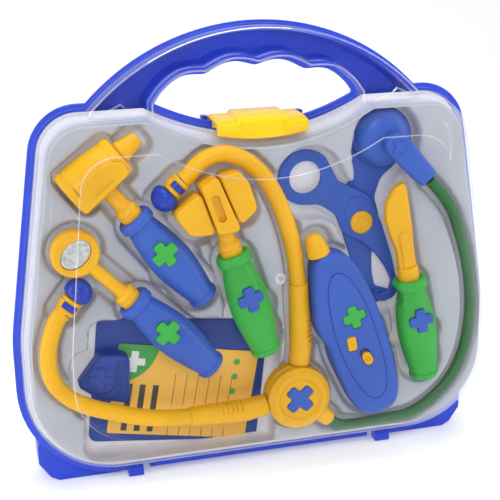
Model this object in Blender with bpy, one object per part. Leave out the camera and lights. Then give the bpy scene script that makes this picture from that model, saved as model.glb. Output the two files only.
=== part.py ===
"""Toy doctor case: blue back shell, hinged clear lid, formed tray and the instruments that it holds.

Metres. X runs to the right, Y into the case (the lid faces -Y) and Z up.
The origin lies under the middle of the case, where it stands. Depths below are measured from the
plane that parts lid and shell; the finished case is moved so that its own middle lies over the origin.
"""

import math

import bmesh
import bpy
from mathutils import Vector

# Fits and clearances
GAP = 0.0003
RUNNING_GAP = 0.0004
SEAT_GAP = 0.0004
OVERRUN = 0.002
ARC_STEPS = 2
ROUND_SIDES = 10
WIDE_SIDES = 14
TUBE_SIDES = 8
TUBE_POINTS = 16
SOFT_EDGE_FROM = 0.0018
EDGE_SHARE = 0.3

# Case outline at the plane where lid and shell part
CASE_HALF_WIDTH = 0.1445
CASE_WAIST_HEIGHT = 0.095
CASE_BOTTOM = 0.0054
CASE_LOWER_RADIUS = 0.058
CASE_WAIST_RADIUS = 0.120
CASE_TOP_HALF_WIDTH = 0.1245
CASE_TOP = 0.2265
CASE_UPPER_RADIUS = 0.026
DIP_HALF_WIDTH = 0.0645
DIP_BOTTOM = 0.2090
DIP_STEPS = 8
CASE_CORNER_STEPS = 4
CASE_WAIST_STEPS = 1
RIM_WIDTH = 0.0015
RIM_THICKNESS = 0.0018

# Clear lid
LID_DEPTH = 0.0360
LID_WALL = 0.0013
SHOULDER_DEPTH = 0.0160
SHOULDER_SIDE_IN = 0.0033
SHOULDER_HALF_WIDTH = CASE_HALF_WIDTH - SHOULDER_SIDE_IN
SHOULDER_BOTTOM = 0.0150
SHOULDER_LOWER_RADIUS = 0.050
SHOULDER_TOP_IN = 0.0030
SHOULDER_TOP_HALF_WIDTH = CASE_TOP_HALF_WIDTH - SHOULDER_TOP_IN
SHOULDER_TOP = 0.2225
SHOULDER_UPPER_RADIUS = 0.024
SHOULDER_DIP = 0.2040
PANEL_SIDE_IN = 0.0275
PANEL_HALF_WIDTH = CASE_HALF_WIDTH - PANEL_SIDE_IN
PANEL_BOTTOM = 0.0400
PANEL_LOWER_RADIUS = 0.034
PANEL_TOP_IN = 0.0195
PANEL_TOP_HALF_WIDTH = CASE_TOP_HALF_WIDTH - PANEL_TOP_IN
PANEL_TOP = 0.2055
PANEL_UPPER_RADIUS = 0.020
PANEL_DIP = 0.1870
PANEL_RISE = 0.0012
PANEL_EDGE = 0.0008
LID_CURVE_SHARES = ((0.44, 0.19), (0.80, 0.58), (1.0, 1.0))
MOULD_MARK_X = 0.0030
MOULD_MARK_HEIGHT = 0.1285
MOULD_MARK_RADIUS = 0.0034
MOULD_MARK_RISE = 0.0005
MOULD_MARK_BORE = 0.0018
GUSSET_X = 0.0800
GUSSET_OUT = 0.0140
GUSSET_IN = 0.0150
GUSSET_TOP = 0.2380
GUSSET_FRONT_TOP = 0.2285
GUSSET_BACK = 0.0112
GUSSET_FRONT = 0.0166

# Carrying handle, moulded half on the lid and half on the shell
HANDLE_TOP = 0.2677
HANDLE_FOOT_HALF_WIDTH = 0.0970
HANDLE_FOOT_HEIGHT = 0.2255
HANDLE_DEPTH = 0.0120
HANDLE_EDGE = 0.0025
HANDLE_ROOT = 0.0090
HANDLE_ARC_STEPS = 12
HANDLE_RIM = 0.0010
HANDLE_WALL = 0.0018
GRIP_END_HALF_WIDTH = 0.0610
GRIP_TOP = 0.2509
GRIP_RADIUS = 0.1215
FINGER_PITCH = 0.0300
FINGER_RISE = 0.0037
FINGER_HALF_SPAN = 0.0450
FINGER_STEPS = 3
GRIP_END_SHARES = ((0.35, 0.80), (0.72, 0.48), (1.0, 0.12))

# Blue back shell
SHELL_DEPTH = 0.0280
SHELL_WALL = 0.0030
SHELL_RIM_OUT = 0.0025
SHELL_SIDE_IN = 0.0010
SHELL_DRAFT = 0.0040
SHELL_EDGE = 0.0040
LEDGE_OUT = 0.0018
SHELL_RIM_THICKNESS = 0.0021
LEDGE_DEPTH = 0.0020
FOOT_OUTLINE_SHARES = (
    (0.60, 0.18),
    (0.950, 0.27),
    (0.950, 0.13),
    (0.905, 0.03),
    (0.870, 0.0),
    (0.60, 0.0),
)
FOOT_START = 0.0050
FOOT_END = 0.0265

# Lid hinge
HINGE_HEIGHT = 0.0025
HINGE_X = 0.0800
HINGE_PIN_RADIUS = 0.0011
HINGE_KNUCKLE_WIDTH = 0.0090
HINGE_LUG_WIDTH = 0.0040
HINGE_NECK = 0.0044
HINGE_LUG_RADIUS = 0.0021
HINGE_KNUCKLE_RADIUS = 0.0041
HINGE_KNUCKLE_WALL = 0.0012
HINGE_ROOM = 0.0032
HINGE_SIDES = 10

# Latch
LATCH_HALF_WIDTH = 0.0265
LATCH_PIVOT_Y = 0.0095
LATCH_PIVOT_HEIGHT = 0.2140
LATCH_BARREL_RADIUS = 0.0026
LATCH_PIN_RADIUS = 0.0012
LATCH_EAR_WIDTH = 0.0035
LATCH_EAR_WALL = 0.0010
LATCH_RISE = 0.0054
LATCH_SIDE_DROP = 0.0019
LATCH_STEP_HALF_WIDTH = 0.0150
LATCH_STEP_WIDTH = 0.0016
LATCH_FRONT = -0.0180
LATCH_LIP_BOTTOM = 0.2058
LATCH_LIP_THICKNESS = 0.0026
LATCH_UNDERSIDE = 0.2120
LATCH_FRONT_UNDERSIDE = 0.2096
LATCH_TOOTH_BOTTOM = 0.2084
LATCH_TOOTH_THICKNESS = 0.0022
LATCH_RECESS_HALF_WIDTH = 0.0145
LATCH_RECESS_DEPTH = 0.0014

# Formed tray
TRAY_FACE_DEPTH = 0.0180
TRAY_SHEET = 0.0007
TRAY_INSET = 0.0030
TRAY_FLANGE_IN = 0.0023
TRAY_FLANGE_BACK = 0.0017
POCKET_ARC_STEPS = 3
POCKET_SIDE = 0.0020
POCKET_DRAFT = 0.0008
POCKET_CORNER = 0.0045
TUBE_POCKET_SIDE = 0.0012
SCISSORS_SIDE = 0.0042
TRAY_EDGE = 0.0015
TRAY_SKIRT_IN = 0.0047
TRAY_FLANGE_FRONT = 0.0009
FINGER_NOTCH_RADIUS = 0.0075
FINGER_NOTCH_HALF_WIDTH = 0.0150
FINGER_NOTCH_DEPTH = 0.0120


# Handles of the four hand instruments
GRIP_LENGTH = 0.0660
GRIP_BODY_RADIUS = 0.0104
GRIP_PROFILE_SHARES = (
    (0.0, 0.74),
    (0.020, 0.87),
    (0.060, 0.86),
    (0.080, 0.81),
    (0.48, 1.0),
    (0.90, 0.82),
    (0.925, 1.0),
    (1.0, 0.88),
)
COLLAR_RADIUS = 0.0066
COLLAR_LENGTH = 0.0072
CROSS_SPAN = 0.0150
CROSS_ARM = 0.0062
CROSS_CORNER = 0.0016
CROSS_HEIGHT = 0.0400
CROSS_THICKNESS = 0.0024
CROSS_PROUD = 0.0010
CROSS_EDGE = 0.0006
GRIP_BORE_SHARE = 0.72
GRIP_FLOOR = 0.0060

# Otoscope
OTOSCOPE_X = -0.0366
OTOSCOPE_Z = 0.1148
OTOSCOPE_Y = -0.0166
OTOSCOPE_TILT = math.radians(-37.6)
OTOSCOPE_AXIS_HEIGHT = 0.0980
OTOSCOPE_HEAD_LENGTH = 0.0356
OTOSCOPE_EYE_RADIUS = 0.0137
OTOSCOPE_NOSE_RADIUS = 0.0116
OTOSCOPE_BAND = 0.0030
OTOSCOPE_BAND_RISE = 0.0004
OTOSCOPE_LENS_RADIUS = 0.0095
OTOSCOPE_LENS_RECESS = 0.0020
OTOSCOPE_NECK_RADIUS = 0.0044
SPECULUM_LENGTH = 0.0130
SPECULUM_BASE_RADIUS = 0.0066
SPECULUM_TIP_RADIUS = 0.0040
SPECULUM_BORE = 0.0025
SPECULUM_SPIGOT = 0.0040
SPECULUM_SPIGOT_RADIUS = 0.0042

# Reflex hammer
HAMMER_X = -0.0016
HAMMER_Z = 0.0788
HAMMER_Y = -0.0210
HAMMER_TILT = math.radians(-17.3)
HAMMER_HEAD_CENTRE = 0.0965
HAMMER_HEAD_HALF_HEIGHT = 0.0165
HAMMER_LEFT_REACH = 0.0250
HAMMER_RIGHT_REACH = 0.0212
HAMMER_LOBE_HALF_DEPTH = 0.0080
HAMMER_BAND_HALF_WIDTH = 0.0068
HAMMER_BAND_HALF_HEIGHT = 0.0175
HAMMER_BAND_HALF_DEPTH = 0.0100
HAMMER_SLOT_WIDTH = 0.0058
HAMMER_SLOT_LENGTH = 0.0125
HAMMER_SLOT_DEPTH = 0.0030
HAMMER_CORNER = 0.0026
HAMMER_EDGE = 0.0014

# Dental mirror
MIRROR_X = -0.0340
MIRROR_Z = 0.0730
MIRROR_Y = -0.0210
MIRROR_TILT = math.radians(-44.6)
MIRROR_HEAD_CENTRE = 0.1085
MIRROR_HEAD_RADIUS = 0.0137
MIRROR_GLASS_RADIUS = 0.0102
MIRROR_HEAD_THICKNESS = 0.0080
MIRROR_GLASS_THICKNESS = 0.0014
MIRROR_GLASS_RECESS = 0.0006
MIRROR_OVAL_SHARE = 0.72
MIRROR_STEM_RADIUS = 0.0036
MIRROR_TURN = math.radians(24)

# Scalpel
SCALPEL_X = 0.1000
SCALPEL_Z = 0.0505
SCALPEL_Y = -0.0210
SCALPEL_TILT = math.radians(-10.4)
SCALPEL_STEM_WIDTH = 0.0110
SCALPEL_STEM_END = 0.0890
SCALPEL_BLADE_END = 0.1262
SCALPEL_BLADE_LEFT = 0.0098
SCALPEL_BLADE_RIGHT = 0.0070
SCALPEL_THICKNESS = 0.0056
SCALPEL_CORNER = 0.0018
SCALPEL_EDGE = 0.0010
SCALPEL_RIBS = 3

# Ear thermometer
THERMOMETER_X = 0.0680
THERMOMETER_Z = 0.0330
THERMOMETER_Y = -0.0210
THERMOMETER_TILT = math.radians(-19)
THERMOMETER_LENGTH = 0.1080
THERMOMETER_HALF_WIDTH = 0.0185
THERMOMETER_HALF_DEPTH = 0.0085
THERMOMETER_EDGE = 0.0034
THERMOMETER_OUTLINE_POINTS = 20
THERMOMETER_SHARES = (
    (0.000, 0.10),
    (0.58, 0.00),
    (0.84, 0.07),
    (1.08, 0.22),
    (1.18, 0.42),
    (1.12, 0.64),
    (0.86, 0.86),
    (0.46, 0.985),
    (0.10, 1.01),
    (-0.30, 0.965),
    (-0.60, 0.84),
    (-0.86, 0.66),
    (-0.90, 0.50),
    (-0.82, 0.34),
    (-0.78, 0.18),
    (-0.56, 0.03),
)
THERMOMETER_TIP_RADIUS = 0.0068
THERMOMETER_TIP_LENGTH = 0.0145
THERMOMETER_TIP_X = -0.0010
FACE_LINE_INSET = 0.0052
FACE_LINE_WIDTH = 0.0010
FACE_LINE_DEPTH = 0.0006
WINDOW_X = -0.0024
WINDOW_HEIGHT = 0.0512
WINDOW_WIDTH = 0.0058
WINDOW_LENGTH = 0.0090
SWITCH_X = 0.0034
SWITCH_HEIGHT = 0.0395
SWITCH_SLOT_LENGTH = 0.0125
SWITCH_SLOT_WIDTH = 0.0066
SWITCH_TRAVEL = 0.0030
SWITCH_TURN = math.radians(-12)
SWITCH_DEPTH = 0.0024
THERMOMETER_WALL = 0.0018
THERMOMETER_FACE_WALL = 0.0030
THERMOMETER_TIP_GAP = 0.0014
THERMOMETER_CROSS_X = 0.0042
THERMOMETER_CROSS_HEIGHT = 0.0668
FACE_PIECE_THICKNESS = 0.0022
FACE_PIECE_PROUD = 0.0008

# Scissors
SCISSORS_X = 0.0622
SCISSORS_Z = 0.1490
SCISSORS_Y = -0.0046
SCISSORS_TILT = math.radians(-18)
SCISSORS_THICKNESS = 0.0026
RING_X = 0.0238
RING_Z = 0.0392
RING_RADIUS = 0.0166
RING_HOLE_RADIUS = 0.0099
SCISSORS_HUB_RADIUS = 0.0092
SCISSORS_PIVOT_RADIUS = 0.0069
SCISSORS_RIVET_RADIUS = 0.0030
RIVET_HEAD = 0.0016
ARM_WIDTH = 0.0110
BLADE_LENGTH = 0.0520
BLADE_BOW = 0.0110
BLADE_WIDTH = 0.0050
BLADE_TIP_RADIUS = 0.0058

# Stethoscope
TUBE_RADIUS = 0.0049
TUBE_Y = -0.0205
UPPER_TUBE_Y = -0.0172
SLEEVE_RADIUS = 0.0056
UPPER_SLEEVE_END = (0.0210, 0.0786)
LOWER_SLEEVE_END = (-0.0150, 0.0425)
SLEEVE_SHARES = (
    (0.01, 1.0),
    (0.12, 1.12),
    (0.30, 1.14),
    (0.44, 1.0),
    (0.47, 0.8),
)
RIB_START_SHARE = 0.50
RIB_FOOT_SHARE = 0.15
RIB_RISE_SHARE = 0.35
RIB_END_SHARE = 0.80
HUB_NECK_RADIUS = 0.0044
RIB_RADIUS = 0.0067
RIB_COUNT = 6
HUB_X = 0.0172
HUB_Z = 0.0481
HUB_RADIUS = 0.0193
HUB_FACE_RADIUS = 0.0136
HUB_HALF_DEPTH = 0.0082
HUB_RIM_RISE = 0.0014
HUB_CROSS_SPAN = 0.0180
HUB_CROSS_ARM = 0.0066
NOZZLE_RADIUS = 0.0052
NOZZLE_END = 0.0279
NOZZLE_TURN = math.radians(131.7)
UPPER_TUBE = (
    (-0.0478, 0.1858),
    (-0.0446, 0.1882),
    (-0.0410, 0.1920),
    (-0.0335, 0.1974),
    (-0.0240, 0.1991),
    (-0.0130, 0.1954),
    (-0.0030, 0.1870),
    (0.0045, 0.1757),
    (0.0105, 0.1620),
    (0.0148, 0.1480),
    (0.0178, 0.1330),
    (0.0196, 0.1180),
)
LOWER_TUBE = (
    (-0.1184, 0.1166),
    (-0.1216, 0.1138),
    (-0.1254, 0.1060),
    (-0.1284, 0.0950),
    (-0.1288, 0.0835),
    (-0.1254, 0.0725),
    (-0.1170, 0.0632),
    (-0.1056, 0.0566),
    (-0.0928, 0.0518),
    (-0.0790, 0.0472),
    (-0.0640, 0.0442),
    (-0.0490, 0.0430),
)
EAR_RADIUS = 0.0082
EAR_LENGTH = 0.0120
EAR_TIP_SHARES = (
    (0.0, 0.60),
    (0.12, 0.95),
    (0.34, 1.0),
    (0.68, 0.84),
    (0.93, 0.50),
    (1.0, 0.28),
)
EAR_SLEEVE_RADIUS = 0.0062
EAR_SLEEVE_LENGTH = 0.0090
HOSE_RADIUS = 0.0033
HOSE_POINTS = 30
HOSE_ROUTE = (
    (0.0385, -0.0205, 0.0291),
    (0.0420, -0.0205, 0.0260),
    (0.0464, -0.0202, 0.0241),
    (0.0535, -0.0190, 0.0228),
    (0.0630, -0.0178, 0.0224),
    (0.0760, -0.0172, 0.0228),
    (0.0900, -0.0175, 0.0240),
    (0.1030, -0.0172, 0.0296),
    (0.1140, -0.0170, 0.0384),
    (0.1220, -0.0170, 0.0490),
    (0.1275, -0.0170, 0.0620),
    (0.1304, -0.0170, 0.0770),
    (0.1312, -0.0170, 0.0930),
    (0.1298, -0.0170, 0.1090),
    (0.1268, -0.0172, 0.1240),
    (0.1222, -0.0176, 0.1390),
    (0.1166, -0.0184, 0.1530),
    (0.1108, -0.0196, 0.1620),
    (0.1048, -0.0214, 0.1690),
    (0.0986, -0.0230, 0.1754),
)
CHEST_X = 0.0742
CHEST_Z = 0.2005
CHEST_BACK = -0.0052
CHEST_RADIUS = 0.0166
CHEST_RING_DEPTH = 0.0050
CHEST_DOME_DEPTH = 0.0090
CHEST_FRONT_RADIUS = 0.0128
CHEST_PLATE_THICKNESS = 0.0010
CONNECTOR_X = 0.0782
CONNECTOR_Y = -0.0234
CONNECTOR_Z = 0.1973
CONNECTOR_TILT = math.radians(137.1)
CONNECTOR_LENGTH = 0.0290
CONNECTOR_HEAD_HALF_WIDTH = 0.0080
CONNECTOR_END_HALF_WIDTH = 0.0060
CONNECTOR_HALF_DEPTH = 0.0038
CONNECTOR_CORNER = 0.0022
CONNECTOR_EDGE = 0.0012
CONNECTOR_CROSS_SPAN = 0.0086
CONNECTOR_CROSS_ARM = 0.0028
CONNECTOR_CROSS_RISE = 0.0007

# Clipboard and record card
BOARD_X = -0.0515
BOARD_Z = 0.0600
BOARD_TILT = math.radians(7)
BOARD_LENGTH = 0.1040
BOARD_WIDTH = 0.0780
BOARD_THICKNESS = 0.0020
BOARD_CORNER = 0.0050
BOARD_FACE_Y = -0.0046
RECESS_X = -0.0510
RECESS_LENGTH = 0.1120
RECESS_WIDTH = 0.0840
RECESS_TILT = math.radians(5)
RECESS_CORNER = 0.0070
CARD_X = -0.0495
CARD_Z = 0.0525
CARD_LENGTH = 0.0860
CARD_WIDTH = 0.0570
CARD_THICKNESS = 0.0005
CARD_CORNER = 0.0015
CARD_TILT = math.radians(10.5)
CLIP_X = -0.0960
CLIP_Z = 0.0690
CLIP_LENGTH = 0.0320
CLIP_SHARES = (
    (0.40, -0.50, 0.10),
    (0.45, 0.46, 0.16),
    (-0.10, 0.52, 0.20),
    (-0.54, -0.04, 0.10),
    (-0.14, -0.36, 0.16),
)
CLIP_HEIGHT = 0.0085
CLIP_EDGE = 0.0014
CLIP_RIDGES = 3
CLIP_RIDGE_WIDTH = 0.0012
CLIP_RIDGE_RISE = 0.0007
CLIP_EMBLEM_RADIUS = 0.0048
CLIP_EMBLEM_RISE = 0.0006


def clear_scene():
    """Remove whatever the new file holds."""
    for item in list(bpy.data.objects):
        bpy.data.objects.remove(item, do_unlink=True)


def material(name, colour, roughness, metallic=0.0, alpha=1.0):
    """A plain surface with its colour, roughness, metallic and alpha values."""
    finish = bpy.data.materials.new(name)
    finish.use_nodes = True
    shader = finish.node_tree.nodes["Principled BSDF"]
    shader.inputs["Base Color"].default_value = (*colour, 1.0)
    shader.inputs["Roughness"].default_value = roughness
    shader.inputs["Metallic"].default_value = metallic
    shader.inputs["Alpha"].default_value = alpha
    finish.diffuse_color = (*colour, alpha)
    return finish


def frame(name, x, y, z, tilt=0.0, parent=None):
    """An empty that carries the pieces of one toy; tilt turns it in the plane of the tray."""
    holder = bpy.data.objects.new(name, None)
    bpy.context.collection.objects.link(holder)
    holder.location = (x, y, z)
    holder.rotation_euler = (0.0, tilt, 0.0)
    holder.parent = parent
    return holder


def loft(rings):
    """Closed mesh through rings of equal counts, capped at both ends."""
    mesh = bmesh.new()
    loops = [[mesh.verts.new(point) for point in ring] for ring in rings]
    count = len(loops[0])
    for lower, upper in zip(loops, loops[1:]):
        for index in range(count):
            after = (index + 1) % count
            mesh.faces.new((lower[index], lower[after], upper[after], upper[index]))
    mesh.faces.new(list(reversed(loops[0])))
    mesh.faces.new(loops[-1])
    bmesh.ops.recalc_face_normals(mesh, faces=mesh.faces)
    return mesh


def solid(name, rings, finish=None, parent=None, smooth=0.0):
    """An object lofted through rings; smooth gives the angle in degrees up to which faces blend."""
    data = bpy.data.meshes.new(name)
    mesh = loft(rings)
    mesh.to_mesh(data)
    mesh.free()
    item = bpy.data.objects.new(name, data)
    bpy.context.collection.objects.link(item)
    item.parent = parent
    if finish is not None:
        data.materials.append(finish)
    if smooth > 0:
        blend_faces(item, smooth)
    return item


def blend_faces(item, angle):
    """Smooth shading across edges flatter than an angle in degrees."""
    data = item.data
    data.polygons.foreach_set("use_smooth", [True] * len(data.polygons))
    data.set_sharp_from_angle(angle=math.radians(angle))


def combine(target, tool, operation, angle=0.0):
    """Add, cut or keep the tool's body on the target, then drop the tool."""
    step = target.modifiers.new("step", "BOOLEAN")
    step.operation = operation
    step.solver = "EXACT"
    step.object = tool
    bpy.context.view_layer.update()
    evaluated = target.evaluated_get(bpy.context.evaluated_depsgraph_get())
    result = bpy.data.meshes.new_from_object(evaluated)
    target.modifiers.remove(step)
    finish = target.data.materials[0] if target.data.materials else None
    target.data = result
    result.name = target.name
    result.materials.clear()
    if finish is not None:
        result.materials.append(finish)
    bpy.data.objects.remove(tool, do_unlink=True)
    if angle > 0:
        blend_faces(target, angle)


def add(target, rings, angle=0.0):
    """Join a lofted body to the target."""
    combine(target, solid("tool", rings, parent=target.parent), "UNION", angle)


def cut(target, rings, angle=0.0):
    """Take a lofted body out of the target."""
    combine(target, solid("tool", rings, parent=target.parent), "DIFFERENCE", angle)


def arc(x, z, radius, start, end, steps):
    """Points on an arc round a centre, both ends included."""
    angles = [start + (end - start) * step / steps for step in range(steps + 1)]
    return [Vector((x + radius * math.cos(a), z + radius * math.sin(a))) for a in angles]


def circle(x, z, radius, sides=ROUND_SIDES):
    """A round outline."""
    return arc(x, z, radius, 0.0, math.tau * (sides - 1) / sides, sides - 1)


def ellipse(x, z, half_width, half_height, turn, sides=ROUND_SIDES):
    """An oval outline turned in its plane."""
    points = []
    for point in circle(0.0, 0.0, 1.0, sides):
        across = point.x * half_width
        along = point.y * half_height
        points.append(
            Vector(
                (
                    x + across * math.cos(turn) + along * math.sin(turn),
                    z - across * math.sin(turn) + along * math.cos(turn),
                )
            )
        )
    return points


def rounded(corners, steps=ARC_STEPS):
    """Outline through (x, z, radius) corners, each radius an arc; a fourth value sets its own steps."""
    points = []
    count = len(corners)
    for index, (x, z, radius, *own) in enumerate(corners):
        corner = Vector((x, z))
        if radius <= 0:
            points.append(corner)
            continue
        before = (Vector(corners[index - 1][:2]) - corner).normalized()
        after = (Vector(corners[(index + 1) % count][:2]) - corner).normalized()
        half = before.angle(after) / 2
        centre = corner + (before + after).normalized() * (radius / math.sin(half))
        reach = radius / math.tan(half)
        first = corner + before * reach - centre
        last = corner + after * reach - centre
        start = math.atan2(first.y, first.x)
        sweep = math.atan2(first.x * last.y - first.y * last.x, first.dot(last))
        points.extend(arc(centre.x, centre.y, radius, start, start + sweep, own[0] if own else steps))
    return points


def box(x, z, width, height, corner, steps=ARC_STEPS):
    """A rounded rectangle round a centre."""
    across = width / 2
    along = height / 2
    corners = (
        (x + across, z - along, corner),
        (x + across, z + along, corner),
        (x - across, z + along, corner),
        (x - across, z - along, corner),
    )
    return rounded(corners, steps)


def capsule(x, low, high, radius, steps=POCKET_ARC_STEPS):
    """A slot outline along Z with round ends."""
    top = arc(x, high, radius, 0.0, math.pi, steps)
    foot = arc(x, low, radius, math.pi, math.tau, steps)
    return top + foot


def plus(x, z, span, arm, corner, turn=0.0):
    """A cross outline with rounded arm ends."""
    half = span / 2
    side = arm / 2
    corners = []
    for quarter in range(4):
        angle = quarter * math.pi / 2 - turn
        for across, along, radius in ((half, -side, corner), (half, side, corner), (side, side, 0.0)):
            corners.append(
                (
                    x + across * math.cos(angle) - along * math.sin(angle),
                    z + across * math.sin(angle) + along * math.cos(angle),
                    radius,
                )
            )
    return rounded(corners, 1)


def grow(points, distance):
    """The outline moved outward by a distance, inward when it is negative."""
    moved = []
    count = len(points)
    for index, point in enumerate(points):
        before = (point - points[index - 1]).normalized()
        after = (points[(index + 1) % count] - point).normalized()
        first = Vector((before.y, -before.x))
        second = Vector((after.y, -after.x))
        moved.append(point + (first + second) * (distance / (1 + first.dot(second))))
    return moved


def between(first, second, share):
    """The outline part of the way from one outline to another."""
    return [a.lerp(b, share) for a, b in zip(first, second)]


def turned_in_plane(points, x, z, tilt):
    """Points of a tilted toy's own frame in the frame of the case."""
    cosine = math.cos(tilt)
    sine = math.sin(tilt)
    return [Vector((x + p.x * cosine + p.y * sine, z - p.x * sine + p.y * cosine)) for p in points]


def ring(points, depth):
    """An outline laid in the plane of one depth."""
    return [Vector((point.x, depth, point.y)) for point in points]


def rim_rings(points, face, edge, inward):
    """Rings that round the rim of a plate from its face inward; a narrow edge is one chamfer."""
    rings = [ring(grow(points, -edge), face)]
    if edge >= SOFT_EDGE_FROM:
        rings.append(ring(grow(points, -EDGE_SHARE * edge), face + inward * EDGE_SHARE * edge))
    rings.append(ring(points, face + inward * edge))
    return rings


def slab(points, front, back, edge=0.0, rear=0.0):
    """Rings of a plate between two depths; edge rounds its front rim, rear its back rim."""
    rings = rim_rings(points, front, edge, 1) if edge > 0 else [ring(points, front)]
    if rear > 0:
        rings.extend(reversed(rim_rings(points, back, rear, -1)))
    else:
        rings.append(ring(points, back))
    return rings


def spun(profile, sides=ROUND_SIDES, x=0.0, y=0.0):
    """Rings round the Z axis from (height, radius) pairs."""
    turns = [math.tau * (side + 0.5) / sides for side in range(sides)]
    return [[Vector((x + r * math.cos(a), y + r * math.sin(a), h)) for a in turns] for h, r in profile]


def spun_across(profile, height, sides=ROUND_SIDES, y=0.0):
    """Rings round an axis along X at a height from (position, radius) pairs."""
    turns = [math.tau * (side + 0.5) / sides for side in range(sides)]
    return [[Vector((p, y + r * math.cos(a), height + r * math.sin(a))) for a in turns] for p, r in profile]


def spun_deep(profile, x, z, sides=ROUND_SIDES):
    """Rings round an axis along Y from (depth, radius) pairs."""
    turns = [math.tau * (side + 0.5) / sides for side in range(sides)]
    return [[Vector((x + r * math.cos(a), p, z + r * math.sin(a))) for a in turns] for p, r in profile]


def smooth_route(places, count):
    """Evenly spread points of a smooth curve through the places of a route."""
    places = [Vector(place) for place in places]
    ends = [places[0] * 2 - places[1]] + places + [places[-1] * 2 - places[-2]]
    fine = []
    for a, b, c, d in zip(ends, ends[1:], ends[2:], ends[3:]):
        for step in range(8):
            t = step / 8
            fine.append(0.5 * (2 * b + (c - a) * t + (2 * a - 5 * b + 4 * c - d) * t ** 2
                               + (3 * b - a - 3 * c + d) * t ** 3))
    fine.append(places[-1])
    run = [0.0]
    for a, b in zip(fine, fine[1:]):
        run.append(run[-1] + (b - a).length)
    points = []
    at = 0
    for index in range(count):
        goal = run[-1] * index / (count - 1)
        while at < len(fine) - 2 and run[at + 1] < goal:
            at += 1
        share = (goal - run[at]) / (run[at + 1] - run[at])
        points.append(fine[at].lerp(fine[at + 1], min(max(share, 0.0), 1.0)))
    return points


def swept(points, radii, sides=TUBE_SIDES):
    """Round rings along points in space, one radius for each point."""
    rings = []
    side = Vector((0.0, 1.0, 0.0))
    for index, (point, radius) in enumerate(zip(points, radii)):
        before = points[max(index - 1, 0)]
        after = points[min(index + 1, len(points) - 1)]
        along = (after - before).normalized()
        side = (side - along * side.dot(along)).normalized()
        other = along.cross(side)
        turns = [math.tau * (turn + 0.5) / sides for turn in range(sides)]
        rings.append([point + side * radius * math.cos(a) + other * radius * math.sin(a) for a in turns])
    return rings


def channel(points, half_width):
    """Outline of a groove that follows points in the plane of the tray."""
    left = []
    right = []
    for index, point in enumerate(points):
        before = points[max(index - 1, 0)]
        after = points[min(index + 1, len(points) - 1)]
        along = (after - before).normalized()
        across = Vector((along.y, -along.x))
        left.append(point - across * half_width)
        right.append(point + across * half_width)
    return right + list(reversed(left))


def case_outline(half_width, bottom, lower, top_half_width, top, upper, dip, dip_half=DIP_HALF_WIDTH):
    """The case seen from the front, its top edge dipping under the handle."""
    corners = [
        (half_width, bottom, lower),
        (half_width, CASE_WAIST_HEIGHT, CASE_WAIST_RADIUS, CASE_WAIST_STEPS),
        (top_half_width, top, upper),
    ]
    for step in range(DIP_STEPS + 1):
        share = 1 - 2 * step / DIP_STEPS
        corners.append((dip_half * share, dip + (top - dip) * share ** 2, 0.0))
    corners += [
        (-top_half_width, top, upper),
        (-half_width, CASE_WAIST_HEIGHT, CASE_WAIST_RADIUS, CASE_WAIST_STEPS),
        (-half_width, bottom, lower),
    ]
    return rounded(corners, CASE_CORNER_STEPS)


def rim_outline():
    """Outline of the lid's rim on the parting plane."""
    return case_outline(
        CASE_HALF_WIDTH,
        CASE_BOTTOM,
        CASE_LOWER_RADIUS,
        CASE_TOP_HALF_WIDTH,
        CASE_TOP,
        CASE_UPPER_RADIUS,
        DIP_BOTTOM,
    )


def shoulder_outline():
    """Outline of the lid where its front starts to curve in."""
    return case_outline(
        SHOULDER_HALF_WIDTH,
        SHOULDER_BOTTOM,
        SHOULDER_LOWER_RADIUS,
        SHOULDER_TOP_HALF_WIDTH,
        SHOULDER_TOP,
        SHOULDER_UPPER_RADIUS,
        SHOULDER_DIP,
    )


def panel_outline():
    """Outline of the lid's raised front panel."""
    return case_outline(
        PANEL_HALF_WIDTH,
        PANEL_BOTTOM,
        PANEL_LOWER_RADIUS,
        PANEL_TOP_HALF_WIDTH,
        PANEL_TOP,
        PANEL_UPPER_RADIUS,
        PANEL_DIP,
    )


def arch_outline():
    """The carrying handle seen from the front, with finger grips along its lower edge."""
    rise = HANDLE_TOP - HANDLE_FOOT_HEIGHT
    radius = (HANDLE_FOOT_HALF_WIDTH ** 2 + rise ** 2) / (2 * rise)
    centre = HANDLE_TOP - radius
    start = math.atan2(HANDLE_FOOT_HEIGHT - centre, HANDLE_FOOT_HALF_WIDTH)
    points = arc(0.0, centre, radius, start, math.pi - start, HANDLE_ARC_STEPS)
    root = HANDLE_FOOT_HEIGHT - HANDLE_ROOT
    points.append(Vector((-HANDLE_FOOT_HALF_WIDTH, root)))
    lower = grip_points()
    end = Vector((lower[0].x, root))
    points.append(end)
    points.extend(lower)
    points.append(Vector((-end.x, root)))
    points.append(Vector((HANDLE_FOOT_HALF_WIDTH, root)))
    return points


def grip_height(x):
    """Height of the handle's lower edge, scalloped for the fingers."""
    scallop = 1 - abs(math.sin(math.pi * x / FINGER_PITCH))
    return GRIP_TOP - x ** 2 / (2 * GRIP_RADIUS) - FINGER_RISE * scallop


def grip_points():
    """Lower edge of the handle from its left end to its right end."""
    span = FINGER_HALF_SPAN
    steps = 3 * FINGER_STEPS
    middle = []
    for step in range(steps + 1):
        x = span * (2 * step / steps - 1)
        middle.append(Vector((x, grip_height(x))))
    side = []
    reach = GRIP_END_HALF_WIDTH - span
    for across, along in GRIP_END_SHARES:
        drop = grip_height(span) - HANDLE_FOOT_HEIGHT
        side.append(Vector((span + reach * across, HANDLE_FOOT_HEIGHT + drop * along)))
    left = [Vector((-point.x, point.y)) for point in reversed(side)]
    return left + middle + side


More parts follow.
